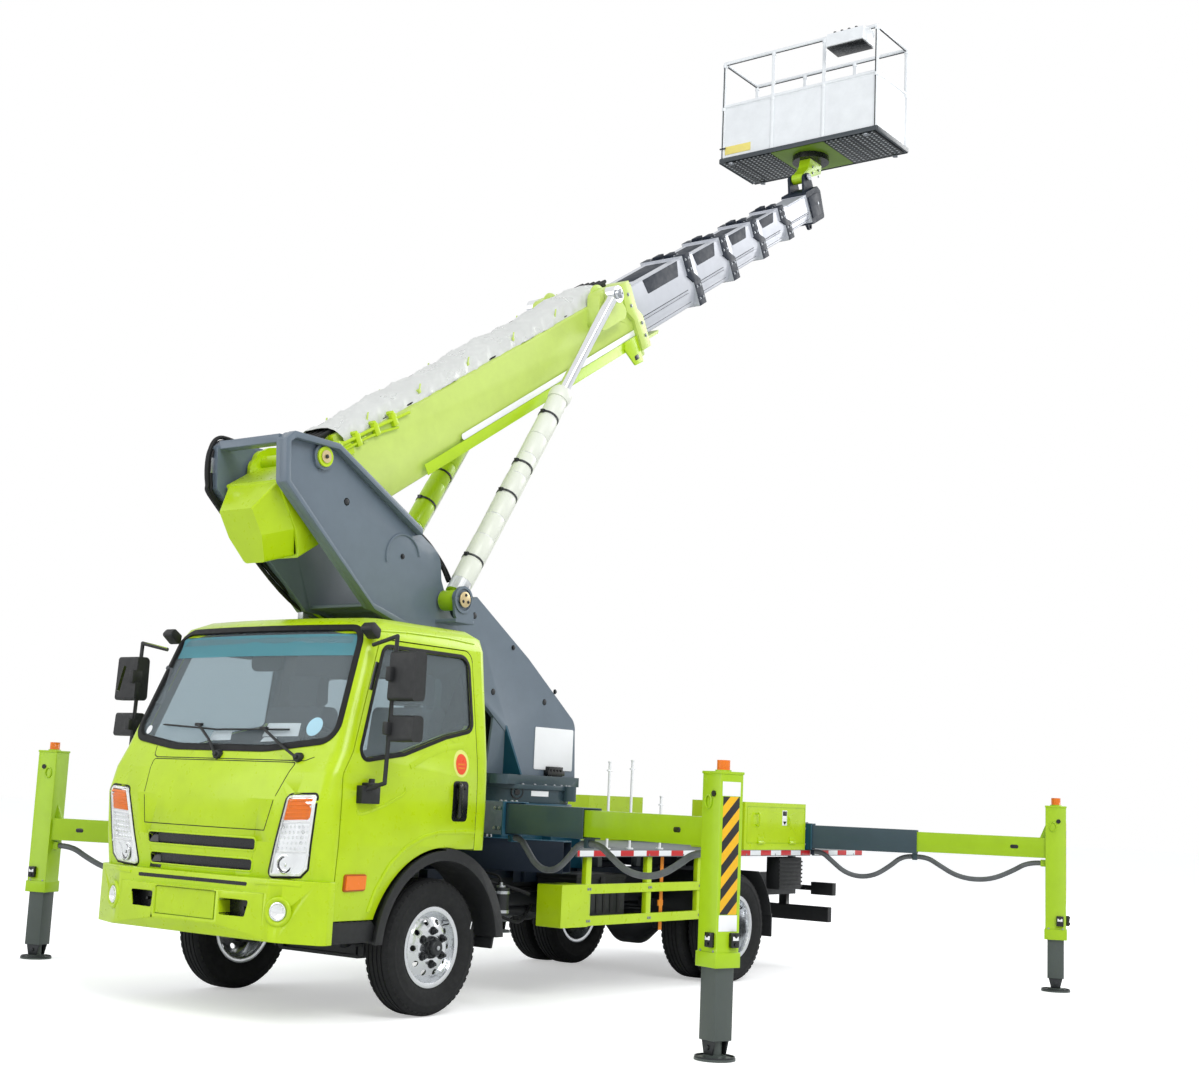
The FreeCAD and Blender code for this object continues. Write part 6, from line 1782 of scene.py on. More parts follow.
# ---------------------------------------------------------------- turret
@dataclass
class TurretTrim:
    """Bolts, pins, blank signs, pipes and edge flanges of the turret and pedestal."""

    frame: dict
    fixed_ring: tuple = (32, 490, RING_LOW_Z - 30)
    turning_ring: tuple = (36, 503, 1335)
    plate_y: float = 280.0
    tail_arc: tuple = (-190, 2690, 150)
    flange: tuple = ((880, 2985), (900, 3235), (835, 3290), (470, 3285), (-300, 2893), (-300, 2850),
                     (470, 3250), (822, 3252), (862, 3222), (846, 2998), (110, 2376), (-250, 2280),
                     (-250, 2240), (90, 2338))
    plugs: tuple = ((-905, 2410), (-1135, 1930), (-1690, 1900), (330, 2960))
    plate_bolts: tuple = ((-185, 2700), (-1320, 2240), (-1800, 1980))
    sign: tuple = (-2030, -1600, 1442, 1728)

    def pedestal(self) -> None:
        """Bolt ring, side bolts, pipes and valve block of the fixed part."""
        count, radius, z = self.fixed_ring
        bolts = Maker("ring_bolts_fixed", ZINC)
        bolts.bolts([(SLEW_X + radius * cos(a), radius * sin(a), z)
                     for a in turns(count, shift=0.5)], (0, 0, -1), 11, 9)
        for side in (1, -1):
            bolts.bolts([(x, side * 420, 820) for x in range(-1960, -1250, 120)], (0, side, 0), 9, 8)
        bolts.done("chassis", 35)
        pipes = Maker("pedestal_pipes", STEEL)
        for y, z in ((330, 1010), (300, 1045), (270, 1080)):
            pipes.pipe([(-1122, y, z - 200), (-1122, y, z), (-1100, 250, z + 20), (-1100, 60, z + 20)], 8)
            pipes.rod((-1122, y, z - 60), (-1122, y, z - 30), 14, sides=6)
        pipes.done("chassis", 35)
        block = Maker("valve_block", NUT).box(-1126, -1070, -80, 80, 1000, 1130, 6)
        for y in range(-55, 60, 36):
            block.rod((-1070, y, 1065), (-1030, y, 1065), 13, sides=18, bevel=2)
        block.done("chassis", 35)

    def base(self) -> None:
        """Ring bolts, blank label and port of the turning base."""
        count, radius, z = self.turning_ring
        bolts = Maker("ring_bolts_turning", ZINC)
        bolts.bolts([(SLEW_X + radius * cos(a), radius * sin(a), z) for a in turns(count)],
                    (0, 0, 1), 10, 8)
        bolts.done("turret", 35)
        skin, label = Skin(self.frame, ("turret_base",)), Maker("ring_label", LABEL)
        skin.patch(label, corners(-1500, -1360, 1262, 1296), XZ, 1, 0.8, 1.6, 25)
        label.done("turret")
        spot = skin.spot(XZ, 1, -1270, 1284)
        ring = Maker("ring_port", GLOSS_BLACK)
        ring.ring(38, 44, -4, 8, spot, (0.45, 0.9, 0), 32)
        ring.rod(spot, spot + Vector((5, 9, 0)), 20, sides=6).done("turret", 35)

    def plates(self) -> None:
        """Edge flanges, pins, plugs and edge pipes of the gooseneck's two plates."""
        x, z, radius = self.tail_arc
        flange = Maker("arm_flanges", SLATE).slab(self.flange, XZ, self.plate_y - 1, 336, 3)
        arc = [(x + radius * cos(a), self.plate_y + 1, z + radius * sin(a))
               for a in (radians(168 - 8 * k) for k in range(24))]
        flange.pipe(arc, 9, 8, False)
        foot_x, foot_z = FOOT_PIN
        flange.ring(70, 86, -4, 8, (foot_x, 456, foot_z), (0, 1, 0), 36)
        flange.mirror().done("turret", 35)
        edge = Maker("arm_edge_pipe", LIME_TUBE)
        edge.pipe([(760, 262, 2915), (400, 262, 2622), (90, 262, 2366), (-220, 262, 2262)], 9, 8, False)
        edge.mirror().done("turret", 40)
        brass = Maker("arm_pin_plates", BRASS)
        brass.spin([(0, 0), (50, 0), (50, 6), (44, 10), (0, 10)], (foot_x, 468, foot_z), (0, 1, 0), 36,
                   closed=False)
        y = self.plate_y + 36
        brass.spin([(0, 6), (38, 6), (38, 2), (0, 2)], (PIVOT_X, y, PIVOT_Z), (0, 1, 0), 36, closed=False)
        brass.mirror().done("turret", 35)
        pins = Maker("arm_pins", NUT)
        pins.rod((PIVOT_X, y + 5, PIVOT_Z), (PIVOT_X, y + 14, PIVOT_Z), 13, sides=6, bevel=1)
        pins.bolts([(foot_x + dx, 477, foot_z + dz) for dx, dz in ((0, 28), (24, -14), (-24, -14))],
                   (0, 1, 0), 8, 7)
        for x, z in self.plugs:
            pins.rod((x, self.plate_y - 12, z), (x, self.plate_y + 3, z), 21, sides=6, bevel=2)
        pins.bolts([(x, self.plate_y, z) for x, z in self.plate_bolts], (0, 1, 0), 13, 10)
        pins.mirror().done("turret", 35)

    def fittings(self) -> None:
        """Blank sign, switch box and clipped pipes of the gooseneck."""
        sign = Maker("arm_sign", LABEL)
        sign.slab(corners(*self.sign, 12), XZ, self.plate_y + 1, self.plate_y + 5, 1).done("turret")
        panel = Maker("arm_box", GLOSS_BLACK).box(-1905, -1715, 281, 320, 1408, 1438, 3)
        panel.box(-1890, -1730, 281, 316, 1400, 1466, 4)
        for x in (-1755, -1791, -1827, -1863):
            panel.rod((x, 316, 1440), (x, 324, 1440), 8, sides=14)
        panel.done("turret", 35)
        pipes = Maker("arm_pipes", HOSE_BLACK)
        for k in range(4):
            y, d, e = -292 - 20 * (k % 2), 22 * k, 13.2 * k
            pipes.pipe([(700 - d, y, 3300 + 8 * k), (860 - d, y, 3300 - d), (926 - e, y, 3200),
                        (922 - e, y, 3020), (840 - e, y, 2900), (200, y, 2400 + d), (-420, y, 2230 + d)], 12)
        for y, route in ((268, ((-640, 2600), (-560, 2700), (-430, 2790), (-330, 2850), (-150, 2960))),
                         (262, ((-690, 2580), (-600, 2690), (-470, 2800), (-350, 2872), (-180, 2975)))):
            pipes.pipe([(x, y, z) for x, z in route], 12)
        pipes.done("turret", 40)
        clips = Maker("arm_pipe_clips", STEEL)
        for x, z in ((885, 3110), (560, 2690), (60, 2330)):
            clips.box(x - 28, x + 28, -326, -self.plate_y, z - 34, z + 60, 3)
        clips.done("turret")

    def build(self) -> None:
        """All of the turret's detail."""
        self.pedestal()
        self.base()
        self.plates()
        self.fittings()


# ---------------------------------------------------------------- boom
@dataclass
class BoomTrim:
    """Hose tray, film, lower tube, collars' bolts, pockets, pins and the lift cylinders' wraps."""

    low: float = -BOOM_AXIS_DROP - BASE_HEIGHT / 2
    high: float = -BOOM_AXIS_DROP + BASE_HEIGHT / 2
    half: float = BASE_WIDTH / 2
    film_start: float = 300.0
    film_length: float = 3060.0
    film_rows: int = 150
    film_profile: tuple = ((-196, -14), (-186, 24), (-168, 58), (-146, 82), (-96, 100), (-48, 104), (0, 108),
                           (48, 104), (96, 100), (146, 82), (168, 58), (186, 24), (196, -14))
    film_thickness: float = 0.0012
    barrel_radius: float = 71.0
    wrap_length: float = 185.0
    clamps: tuple = (330, 900, 1170, 1640)

    def base(self) -> None:
        """Lower tube, its slot, the side strip and the ribs of the base section."""
        low, high, half, end = self.low, self.high, self.half, BASE_COLLAR_S
        tube = Maker("boom_lower_tube", LIME_TUBE, BOOM)
        tube.box(900, end - 60, half - 2, half + 3, low + 14, low + 88, 1.5)
        tube.slab([(end - 330, low + 40), (end - 250, low - 110, 12), (end - 130, low - 116, 12),
                   (end - 130, low + 90), (end - 300, low + 90)], XZ, half + 2, half + 16, 2)
        tube.mirror().done("boom", 35)
        slot = Maker("boom_lower_slot", GLOSS_BLACK, BOOM)
        slot.slab(corners(end - 236, end - 176, low - 78, low - 42, 12), XZ, half + 16, half + 18, 0.5)
        slot.mirror().done("boom")
        strip = Maker("boom_side_strip", LABEL, BOOM)
        strip.slab([(1326, low + 91, 21), (end - 80, low + 91), (end - 80, low + 134), (1326, low + 134, 21)],
                   XZ, half - 1, half + 1.5, 0.4)
        strip.mirror().done("boom")
        ribs = Maker("boom_ribs", LIME_BOOM, BOOM)
        ribs.slab(corners(430, 470, high - 60, high - 20), XZ, half + 1, half + 12, 2)
        ribs.rod((LIFT_PIN_S, half + 2, LIFT_PIN_T), (LIFT_PIN_S, half + 14, LIFT_PIN_T), 96, sides=40,
                 bevel=3)
        for s in range(560, 3300, 540):
            ribs.box(s, s + 26, 152, 176, high, high + 62, 3)
            ribs.slab([(s, high + 40), (s + 40, high + 90), (s + 30, high + 94), (s - 8, high + 46)], XZ,
                      176, 182, 1)
        ribs.mirror().done("boom", 35)

    def tail(self) -> None:
        """Pipes and clips at the boom's tail, and the bolts of its first collar."""
        clips = Maker("boom_tail_fittings", LIME, BOOM)
        clips.pipe([(-90, 225, -30), (120, 228, -8), (520, 228, -16), (900, 226, -40)], 11)
        clips.pipe([(-60, 222, -70), (160, 226, -48), (500, 227, -52), (760, 226, -90)], 9)
        for s in (20, 190, 360, 540, 720):
            clips.box(s, s + 46, 208, 240, -72, 8, 5)
            clips.rod((s + 23, 190, 12), (s + 23, 238, 12), 15, sides=16, bevel=3)
        clips.mirror().done("boom", 35)
        bolts, y = Maker("boom_base_bolts", ZINC, BOOM), self.half + 34
        for t in (self.low + 60, self.low + 160, self.high - 150, self.high - 60):
            bolts.bolts([(BASE_COLLAR_S - (40 if t < -200 else 120), y, t)], (0, 1, 0), 11, 9)
        bolts.mirror().done("boom", 35)

    def film(self) -> None:
        """The crumpled film over the hose tray, laid on it as one sheet."""
        piece, rows, count = bmesh.new(), [], self.film_rows
        for i in range(count + 1):
            s = self.film_start + self.film_length * i / count
            end = min(1.0, i / 5, (count - i) / 5)
            ring = []
            for j, (y, t) in enumerate(self.film_profile):
                wave = (sin(s * 0.021 + j * 1.9) * 9 + sin(s * 0.047 + j * 0.8) * 6
                        + sin(s * 0.093 + j * 2.7) * 4 + sin(s * 0.0061 + 0.5 * j) * 12)
                lift = 8 + wave * (0.35 + 0.65 * end)
                swell = wave * (0.55 if abs(y) > 120 else 0.15) * (1 if y > 0 else -1)
                ring.append(piece.verts.new((s, y + swell, self.high + t + max(lift * 0.6, -6))))
            rows.append(ring)
        for a, b in zip(rows, rows[1:]):
            for j in range(len(self.film_profile) - 1):
                piece.faces.new((a[j], a[j + 1], b[j + 1], b[j]))
        bmesh.ops.subdivide_edges(piece, edges=piece.edges[:], cuts=1, smooth=0.6, use_grid_fill=True)
        area = sum(f.calc_area() for f in piece.faces) / 1e6
        made = Maker("boom_film", FILM, BOOM).add(piece).done("boom", 180)
        solid = made.modifiers.new("thickness", "SOLIDIFY")
        solid.thickness = self.film_thickness
        solid.offset = 1.0

    def pipes(self) -> None:
        """Pipes that run along the top under the film and show at its ends, and one on each side."""
        high = self.high
        pipes = Maker("boom_top_pipes", HOSE_BLACK, BOOM)
        for y in range(-110, 110, 52):
            pipes.pipe([(180, y * 0.9, high + 12), (260, y, high + 74), (420, y, high + 78),
                        (3300, y, high + 78), (3440, y, high + 66), (3560, y * 0.8, high + 46)], 14)
        pipes.done("boom", 40)
        wire = Maker("boom_side_pipes", HOSE_BLACK, BOOM)
        wire.pipe([(420, 176, high + 8), (1700, 179, high + 6), (2900, 176, high + 8)], 6, 8)
        wire.mirror().done("boom", 40)

    def section(self, row: Section, behind: float) -> None:
        """Bolts, pockets and painted shade lines along the side's folds of one telescopic section.

        Args:
            row: the section.
            behind: where the collar of the section behind ends.
        """
        body, end, half = "boom_%d" % row.number, row.end, row.width / 2
        low, high = -BOOM_AXIS_DROP - row.height / 2, -BOOM_AXIS_DROP + row.height / 2
        metal, y = Maker("section_bolts_%d" % row.number, ZINC, BOOM), half + 16
        if row.number < 6:
            near, far = (end - 30, end - 82), (end - 100, end - 150)
            for pair, heights in ((near, (low + 40, low + 0.34 * row.height)),
                                  (far, (high - 0.28 * row.height, high - 26))):
                metal.bolts([(s, y, t) for t in heights for s in pair], (0, 1, 0), 8, 7)
            metal.bolts([(s, half * 0.6, high + 16) for s in far], (0, 0, 1), 8, 7).mirror()
            start, low_t = behind + (200 if row.number == 2 else 30), high - 0.3 * row.height
            pocket = Maker("section_pockets_%d" % row.number, NAVY, BOOM)
            pocket.slab([(start, high - 6, 6), (end - 250, high - 6, 6), (end - 290, low_t, 12),
                         (start + 30, low_t, 12)], XZ, half - 1, half + 1.2, 0.3)
            pocket.box(end - 178, end - 70, 30, 80, high + 14, high + 40, 4).mirror()
            pocket.box(start, end - 260, -half * 0.55, half * 0.55, high - 2, high + 1.2, 0.3)
            pocket.done(body, 35)
        else:
            knob = [(0, 0), (34, 0), (34, 8), (28, 14), (0, 14)]
            metal.spin(knob, (end, 96, 0), (0, 1, 0), 30, closed=False).mirror()
            metal.bolts([(end - 10, s * (half + 14), -BOOM_AXIS_DROP) for s in (1, -1)], (0, 1, 0), 14, 9)
            dark = Maker("head_plates", NAVY, BOOM)
            dark.box(end - 170, end + 10, half + 14, half + 20, low + 20, high - 30, 3).mirror()
            for s in (end - 40, end - 86, end - 132):
                dark.rod((s, -half - 26, high - 60), (s, -half - 18, high - 60), 13, sides=18)
            dark.done(body, 35)
        metal.done(body, 35)
        # Thin dark lines along the lower side stand for the folds of its plates: painted shade.
        line = Maker("section_lines_%d" % row.number, NAVY, BOOM)
        start = behind + (12 if row.number == 2 else 4)
        for share, thick in ((0.36, 3), (0.3, 1.5), (0.12, 2)):
            t = low + share * row.height
            line.box(start, end - 200, half - 0.5, half + 0.6, t - thick, t + thick, 0.3)
        line.mirror().done(body)

    def lift(self) -> None:
        """Wraps, clamps, pipes and rod wipers of the lift cylinders."""
        foot = Vector((FOOT_PIN[0], 0, FOOT_PIN[1]))
        c, s = cos(BOOM_ELEVATION), sin(BOOM_ELEVATION)
        head = Vector((PIVOT_X - LIFT_PIN_S * c + LIFT_PIN_T * s, 0,
                       PIVOT_Z + LIFT_PIN_S * s + LIFT_PIN_T * c))
        line = (head - foot).normalized()
        across = line.cross(Vector((0, 1, 0)))
        clamp, pipe = Maker("barrel_clamps", NUT), Maker("barrel_pipes", WRAP_SHADE)
        away, inner = across * 92, self.barrel_radius
        for name, side in SIDES.items():
            wrap = Maker("barrel_wrap_" + name, WRAP_SHADE if side > 0 else LIME_TUBE)
            start = foot + Vector((0, side * LIFT_LANE_Y, 0))
            for k in range(9):
                a = 150 + self.wrap_length * k
                wrap.rod(start + line * a, start + line * (a + self.wrap_length - 6),
                         inner - 0.5 + 1.4 * sin(k * 2.1), inner + 0.5 + 1.4 * sin(k * 2.1 + 1),
                         sides=30, bevel=2)
            gland = [(46, 0), (76, 0), (82, 30), (80, 74), (66, 96), (46, 100)]
            wrap.spin(gland, start + line * 1812, line, 32)
            wrap.done("lift_barrels", 40)
            for d in self.clamps:
                spot = start + line * d
                clamp.ring(inner, inner + 5, -7, 7, spot, line, 32)
                spot -= across * 76
                clamp.box(spot.x - 12, spot.x + 12, spot.y - 14, spot.y + 14, spot.z - 12, spot.z + 12, 2)
            pipe.pipe([start + line * d + away * share
                       for d, share in ((190, 0.8), (250, 1), (1600, 1), (1780, 0.8))], 9)
            for d in (180, 1780):
                foot_end, top_end = start + line * d + away * 0.3, start + line * (d + 2) + away * 0.9
                pipe.rod(foot_end, top_end, 22, sides=18, bevel=3)
        clamp.done("lift_barrels", 40)
        pipe.done("lift_barrels", 40)
        caps, y = Maker("lift_pin_caps", ZINC), LIFT_LANE_Y + 60
        caps.spin([(0, 0), (34, 0), (34, 6), (28, 10), (0, 10)], (head.x, y, head.z), (0, 1, 0), 30,
                  closed=False)
        caps.bolts([(head.x + 16 * cos(a), y + 9, head.z + 16 * sin(a)) for a in (0.5, 2.6, 4.7)],
                   (0, 1, 0), 5, 4)
        caps.mirror().done("lift_rods", 40)

    def build(self) -> None:
        """All of the boom's detail."""
        self.base()
        self.tail()
        self.film()
        self.pipes()
        for row, behind in zip(SECTIONS, (BASE_COLLAR_S,) + tuple(row.end for row in SECTIONS)):
            self.section(row, behind)
        self.lift()


# ---------------------------------------------------------------- basket
@dataclass
class BasketTrim:
    """Floor plates, feet, gate, control box face, blank plate and bolts of the basket."""

    x: float = BASKET_X - 30
    z: float = BASKET_FLOOR_Z
    top: float = BASKET_FLOOR_Z + BASKET_HEIGHT
    half_l: float = BASKET_LENGTH / 2
    half_w: float = BASKET_WIDTH / 2
    centre_half: float = 276.0
    rail_inset: float = 22.0
    middle_rail: float = 528.0
    gate_hinges: tuple = (250, 630)

    def floor(self) -> None:
        """Gratings, bars, edge strips, centre plate and turntable rim."""
        x, z, long, wide = self.x, self.z, self.half_l, self.half_w
        mesh = Maker("floor_grating", FLOOR_MESH)
        mesh.box(x - wide + 32, x + wide - 32, self.centre_half + 6, long - 32, z + 3, z + 9, 0.5)
        mesh.box(x - wide + 26, x + wide - 26, self.centre_half + 6, long - 32, z - 10, z - 8, 0.5)
        mesh.mirror().done("basket")
        bars = Maker("floor_bars", DARK_STEEL)
        for y in range(340, 800, 100):
            bars.box(x - wide + 28, x + wide - 28, y - 5, y + 5, z - 14, z + 6, 1)
        bars.box(x - wide + 8, x + wide - 8, long, long + 6, z - 8, z + 34, 1.5).mirror()
        for edge in (x - wide - 3, x + wide + 3):
            bars.box(edge - 3, edge + 3, 8 - long, long - 8, z - 8, z + 34, 1.5)
        bars.done("basket", 35)
        olive = Maker("floor_centre_plate", OLIVE)
        centre = corners(x - wide + 20, x + wide - 20, -self.centre_half, self.centre_half, 16)
        olive.slab(centre, XY, z - 7, z + 2, 2).done("basket")
        disc = Maker("turntable_rim", GLOSS_BLACK)
        disc.ring(150, 166, -2, 24, (BASKET_X, 0, z - 33), (0, 0, 1), 56)
        disc.done("basket", 35)

    def edges(self) -> None:
        """Painted shade along the edges of the posts and under the top rails, the feet and the blank plate.
        """
        x, z, top, long, wide = self.x, self.z, self.top, self.half_l, self.half_w
        # Dark strips along the posts' edges and under the top rails are painted shade.
        lines = Maker("basket_dark_edges", NUT)
        for side in (1, -1):
            near, far = x + side * (wide - 8), x + side * (wide - 3)
            lines.box(near, far, long - 30, long - 20, z + 10, top - 30, 1)
        lines.box(x - wide + 30, x + wide - 30, long - 30, long - 16, top - 37, top - 34, 1).mirror()
        for side in (1, -1):
            near, far = x + side * (wide - 30), x + side * (wide - 16)
            lines.box(near, far, 30 - long, long - 30, top - 37, top - 34, 1)
        lines.box(x + wide - 12, x + wide - 2, -long - 4, 60 - long, z + 128, z + 142, 3)
        lines.done("basket")
        feet = Maker("basket_feet", ZINC)
        for foot in (x - wide + 24, x + wide - 24):
            feet.ring(20, 25, 0, 10, (foot, long - 120, z - 30), (0, 0, 1), 24)
            feet.bolts([(foot, long - 120, z - 30)], (0, 0, -1), 10, 4)
        feet.mirror().done("basket", 35)
        plate = Maker("basket_plate", YELLOW)
        plate.box(x + wide - 18, x + wide - 14.5, 50 - long, 330 - long, z + 70, z + 150, 1).done("basket")

    def rails(self) -> None:
        """Sleeves, middle rails and straps of the guard rails, and the gate's hinges and latch."""
        x, z, long, wide = self.x, self.z, self.half_l - self.rail_inset, self.half_w - self.rail_inset
        low, high = z + self.middle_rail, z + self.middle_rail + 12
        rails, sleeve = Maker("basket_rail_fittings", RAIL_WHITE), [(18, -16), (21, -16), (21, 16), (18, 16)]
        for side in (1, -1):
            for y in (long, long / 3):
                for level in (self.top - 43, low + 2):
                    rails.spin(sleeve, (x + side * wide, y, level), (0, 0, 1), 20)
            near, far = x + side * (wide + 4), x + side * (wide + 8)
            rails.box(near, far, long / 3 - 22, long / 3 + 22, z + 40, low + 2, 2)
        rails.box(x - wide, x + wide, long - 5, long + 5, low, high, 2).mirror()
        for middle in (x - wide, x + wide):
            rails.box(middle - 5, middle + 5, -long, long, low, high, 2)
        rails.done("basket", 35)
        steel = Maker("basket_gate", STEEL)
        for rise in self.gate_hinges:
            pin = (x - 60, -long - 22, z + rise)
            steel.rod(pin, Vector(pin) + Vector((0, 0, 80)), 9, sides=14, bevel=1)
        steel.box(x + 70, x + 120, -long - 26, -long - 18, z + 560, z + 600, 3)
        steel.pipe([(x + 95, -long - 24, z + 580), (x + 95, -long - 40, z + 600),
                    (x + 60, -long - 44, z + 640)], 6)
        steel.done("basket", 35)

    def controls(self) -> None:
        """Levers and knobs of the control box, and the bracket's bolts."""
        edge, y, top = self.x + self.half_w, self.half_l - self.rail_inset, self.top
        face = Maker("control_panel", GLOSS_BLACK)
        face.box(edge - 78, edge + 140, y - 425, y - 65, top - 203, top - 197, 2)
        for k in range(4):
            x, lever_y, knob_y = edge - 10 + 26 * (k % 2), y - 380 + 80 * k, y - 370 + 72 * k
            face.rod((x, lever_y, top - 72 + 6 * (k % 2)), (x, lever_y, top - 8), 9, 6, sides=14, bevel=2)
            face.rod((edge + 90, knob_y, top - 50), (edge + 90, knob_y, top - 36), 14, sides=18, bevel=2)
        face.done("basket", 35)
        bolts = Maker("bracket_bolts", ZINC)
        bolts.bolts([(BASKET_X + dx, 56, self.z - drop) for drop in (132, 192) for dx in (-50, 60)],
                    (0, 1, 0), 9, 8)
        bolts.mirror().done("basket_bracket", 35)

    def build(self) -> None:
        """All of the basket's detail."""
        self.floor()
        self.edges()
        self.rails()
        self.controls()


# ---------------------------------------------------------------- base coat
@dataclass
class BaseCoat:
    """Every CAD node, cleaned, bevelled and painted."""

    collar_reach: float = 190.0
    head_reach: float = 200.0
    foot_radius: float = 0.13
    plain: tuple = (("chassis_frame", CHASSIS, 3.0), ("axles", CHASSIS, 2.0), ("engine_block", CAST, 6.0),
                    ("cab_glass", GLASS, 0.0), ("head_lamps", LENS, 0.0), ("arch_flares", TRIM, 4.0),
                    ("cab_interior", INTERIOR, 12.0), ("deck", DECK, 1.5), ("side_guards", LIME, 3.0),
                    ("rear_guards", TRIM, 2.0))

    def nodes(self) -> list[Dressed]:
        """The table of nodes with their bodies and finishes.

        Returns:
            The table.
        """
        rows = [Dressed(node, "chassis", finish, bevel) for node, finish, bevel in self.plain]
        rows += [
            Dressed("cab_shell", "chassis", LIME, 4.0,
                    ((INTERIOR, self.inner_test), (GLOSS_BLACK, self.slot_test))),
            Dressed("front_bumper", "chassis", LIME, 5.0, ((GLOSS_BLACK, self.slot_test),)),
            Dressed("steering_wheel", "steering_wheel", TRIM, 0.0),
            Dressed("tool_boxes", "chassis", LIME, 0.0, smooth=4.0, merge=False),
            Dressed("outrigger_housings", "chassis", TEAL, 3.0,
                    ((NAVY, lambda point, normal: point.z < 0.95),)),
            Dressed("pedestal", "chassis", TEAL, 3.0, ((NAVY, lambda point, normal: point.z < 0.9),)),
            Dressed("turret_base", "turret", SLATE_DARK, 3.0),
            Dressed("turret_arm", "turret", SLATE, 4.0,
                    ((TEAL, self.gusset_test), (LIME_DEEP, self.foot_test))),
            Dressed("boom_base", "boom", LIME_BOOM, 4.0,
                    ((LIME, lambda point, normal: boom_place(point)[0] < 330),)),
            Dressed("lift_barrels", "lift_barrels", WHITE, 2.0,
                    ((LIME_DEEP, self.foot_test), (LIME_TUBE, lambda point, normal: point.y < 0))),
            Dressed("lift_rods", "lift_rods", CHROME, 0.0),
            Dressed("basket_bracket", "basket_bracket", LIME_DEEP, 3.0,
                    ((GLOSS_BLACK, lambda point, normal: point.z > (BASKET_FLOOR_Z - 66) / 1000),)),
            Dressed("basket_floor", "basket", DARK_STEEL, 2.0),
            Dressed("basket_rails", "basket", RAIL_WHITE, 1.2),
        ]
        for row in SECTIONS:
            rows.append(Dressed("boom_section_%d" % row.number, "boom_%d" % row.number, SILVER, 2.0,
                                ((NAVY, self.collar_test(row)),)))
        for side in SIDES:
            rows += [
                Dressed("door_" + side, "door_" + side, LIME, 3.0,
                        ((TRIM, self.mirror_test), (INTERIOR, self.inner_test))),
                Dressed("door_glass_" + side, "door_" + side, GLASS, 0.0),
                Dressed("knuckle_" + side, "knuckle_" + side, CHASSIS, 2.0),
                Dressed("rim_front_" + side, "front_wheel_" + side, CHROME_RIM, 1.0),
                Dressed("rims_rear_" + side, "rear_wheels_" + side, CHROME_RIM, 1.0),
            ]
        for leg in LEGS:
            rows += [
                Dressed("outrigger_stage1_" + leg.name, "stage1_" + leg.name, SLATE_DARK),
                Dressed("outrigger_leg_" + leg.name, "leg_" + leg.name, LIME_DEEP, 3.0,
                        ((AMBER, self.beacon_test(leg)),)),
                Dressed("outrigger_jack_" + leg.name, "jack_" + leg.name, JACK_GREY),
            ]
        return rows

    def collar_test(self, row: Section) -> Callable:
        """A test that is true on the faces of a section's collar or head.

        Args:
            row: the section.

        Returns:
            The test.
        """
        head = row.number == 6
        reach = self.head_reach if head else self.collar_reach

        def test(point: Vector, normal: Vector) -> bool:
            """True on the collar's own faces.

            Args:
                point: a face's middle, in the part's metres.
                normal: the face's normal.

            Returns:
                Whether it is.
            """
            s, y, t = boom_place(point)
            outside = (abs(y) > row.width / 2 + 2 or abs(t + BOOM_AXIS_DROP) > row.height / 2 + 2
                       or s > row.end - 4)
            return s > row.end - reach and (outside or head and s > row.end - 185)
        return test

    def inner_test(self, point: Vector, normal: Vector) -> bool:
        """True on the faces that look into the cab."""
        inwards = (to_part(200, 0, 1500) - point).normalized()
        return normal.normalized().dot(inwards) > 0.3 and abs(point.y) < 0.9

    def slot_test(self, point: Vector, normal: Vector) -> bool:
        """True inside the grille's slots and the bumper's openings.

        Args:
            point: a face's middle, in the part's metres.
            normal: the face's normal.

        Returns:
            Whether it is.
        """
        x, y, z = point.x * 1000 + ORIGIN_X, abs(point.y) * 1000, point.z * 1000
        slot = any(abs(z - middle) < 30 and y < 446 for middle in (942, 830))
        grille = slot and 900 < x < 1028 - 14 * (y / 400) ** 2
        return grille or (1005 < x < 1057 and 258 < y < 500 and 546 < z < 662)

    def gusset_test(self, point: Vector, normal: Vector) -> bool:
        """True on the gussets at the arm's root."""
        return abs(point.y) > 0.3 and -1.5 < point.x + ORIGIN_X / 1000 < -1.0 and 1.38 < point.z < 1.74

    def foot_test(self, point: Vector, normal: Vector) -> bool:
        """True round the lift cylinders' foot pin."""
        pin = to_part(FOOT_PIN[0], point.y * 1000, FOOT_PIN[1])
        return (point - pin).length < self.foot_radius and 0.3 < abs(point.y) < 0.42

    def beacon_test(self, leg: Leg) -> Callable:
        """A test that is true on the faces of the beacon on a leg's top."""
        return lambda point, normal: point.z > (leg.top + 11) / 1000

    def mirror_test(self, point: Vector, normal: Vector) -> bool:
        """True on the mirror heads and arms of a door."""
        return abs(point.y) > 0.935 and point.z > 1.2 or abs(point.y) > 1.0

    def build(self, frame: dict) -> None:
        """Dress every node."""
        for row in self.nodes():
            row.build(frame)


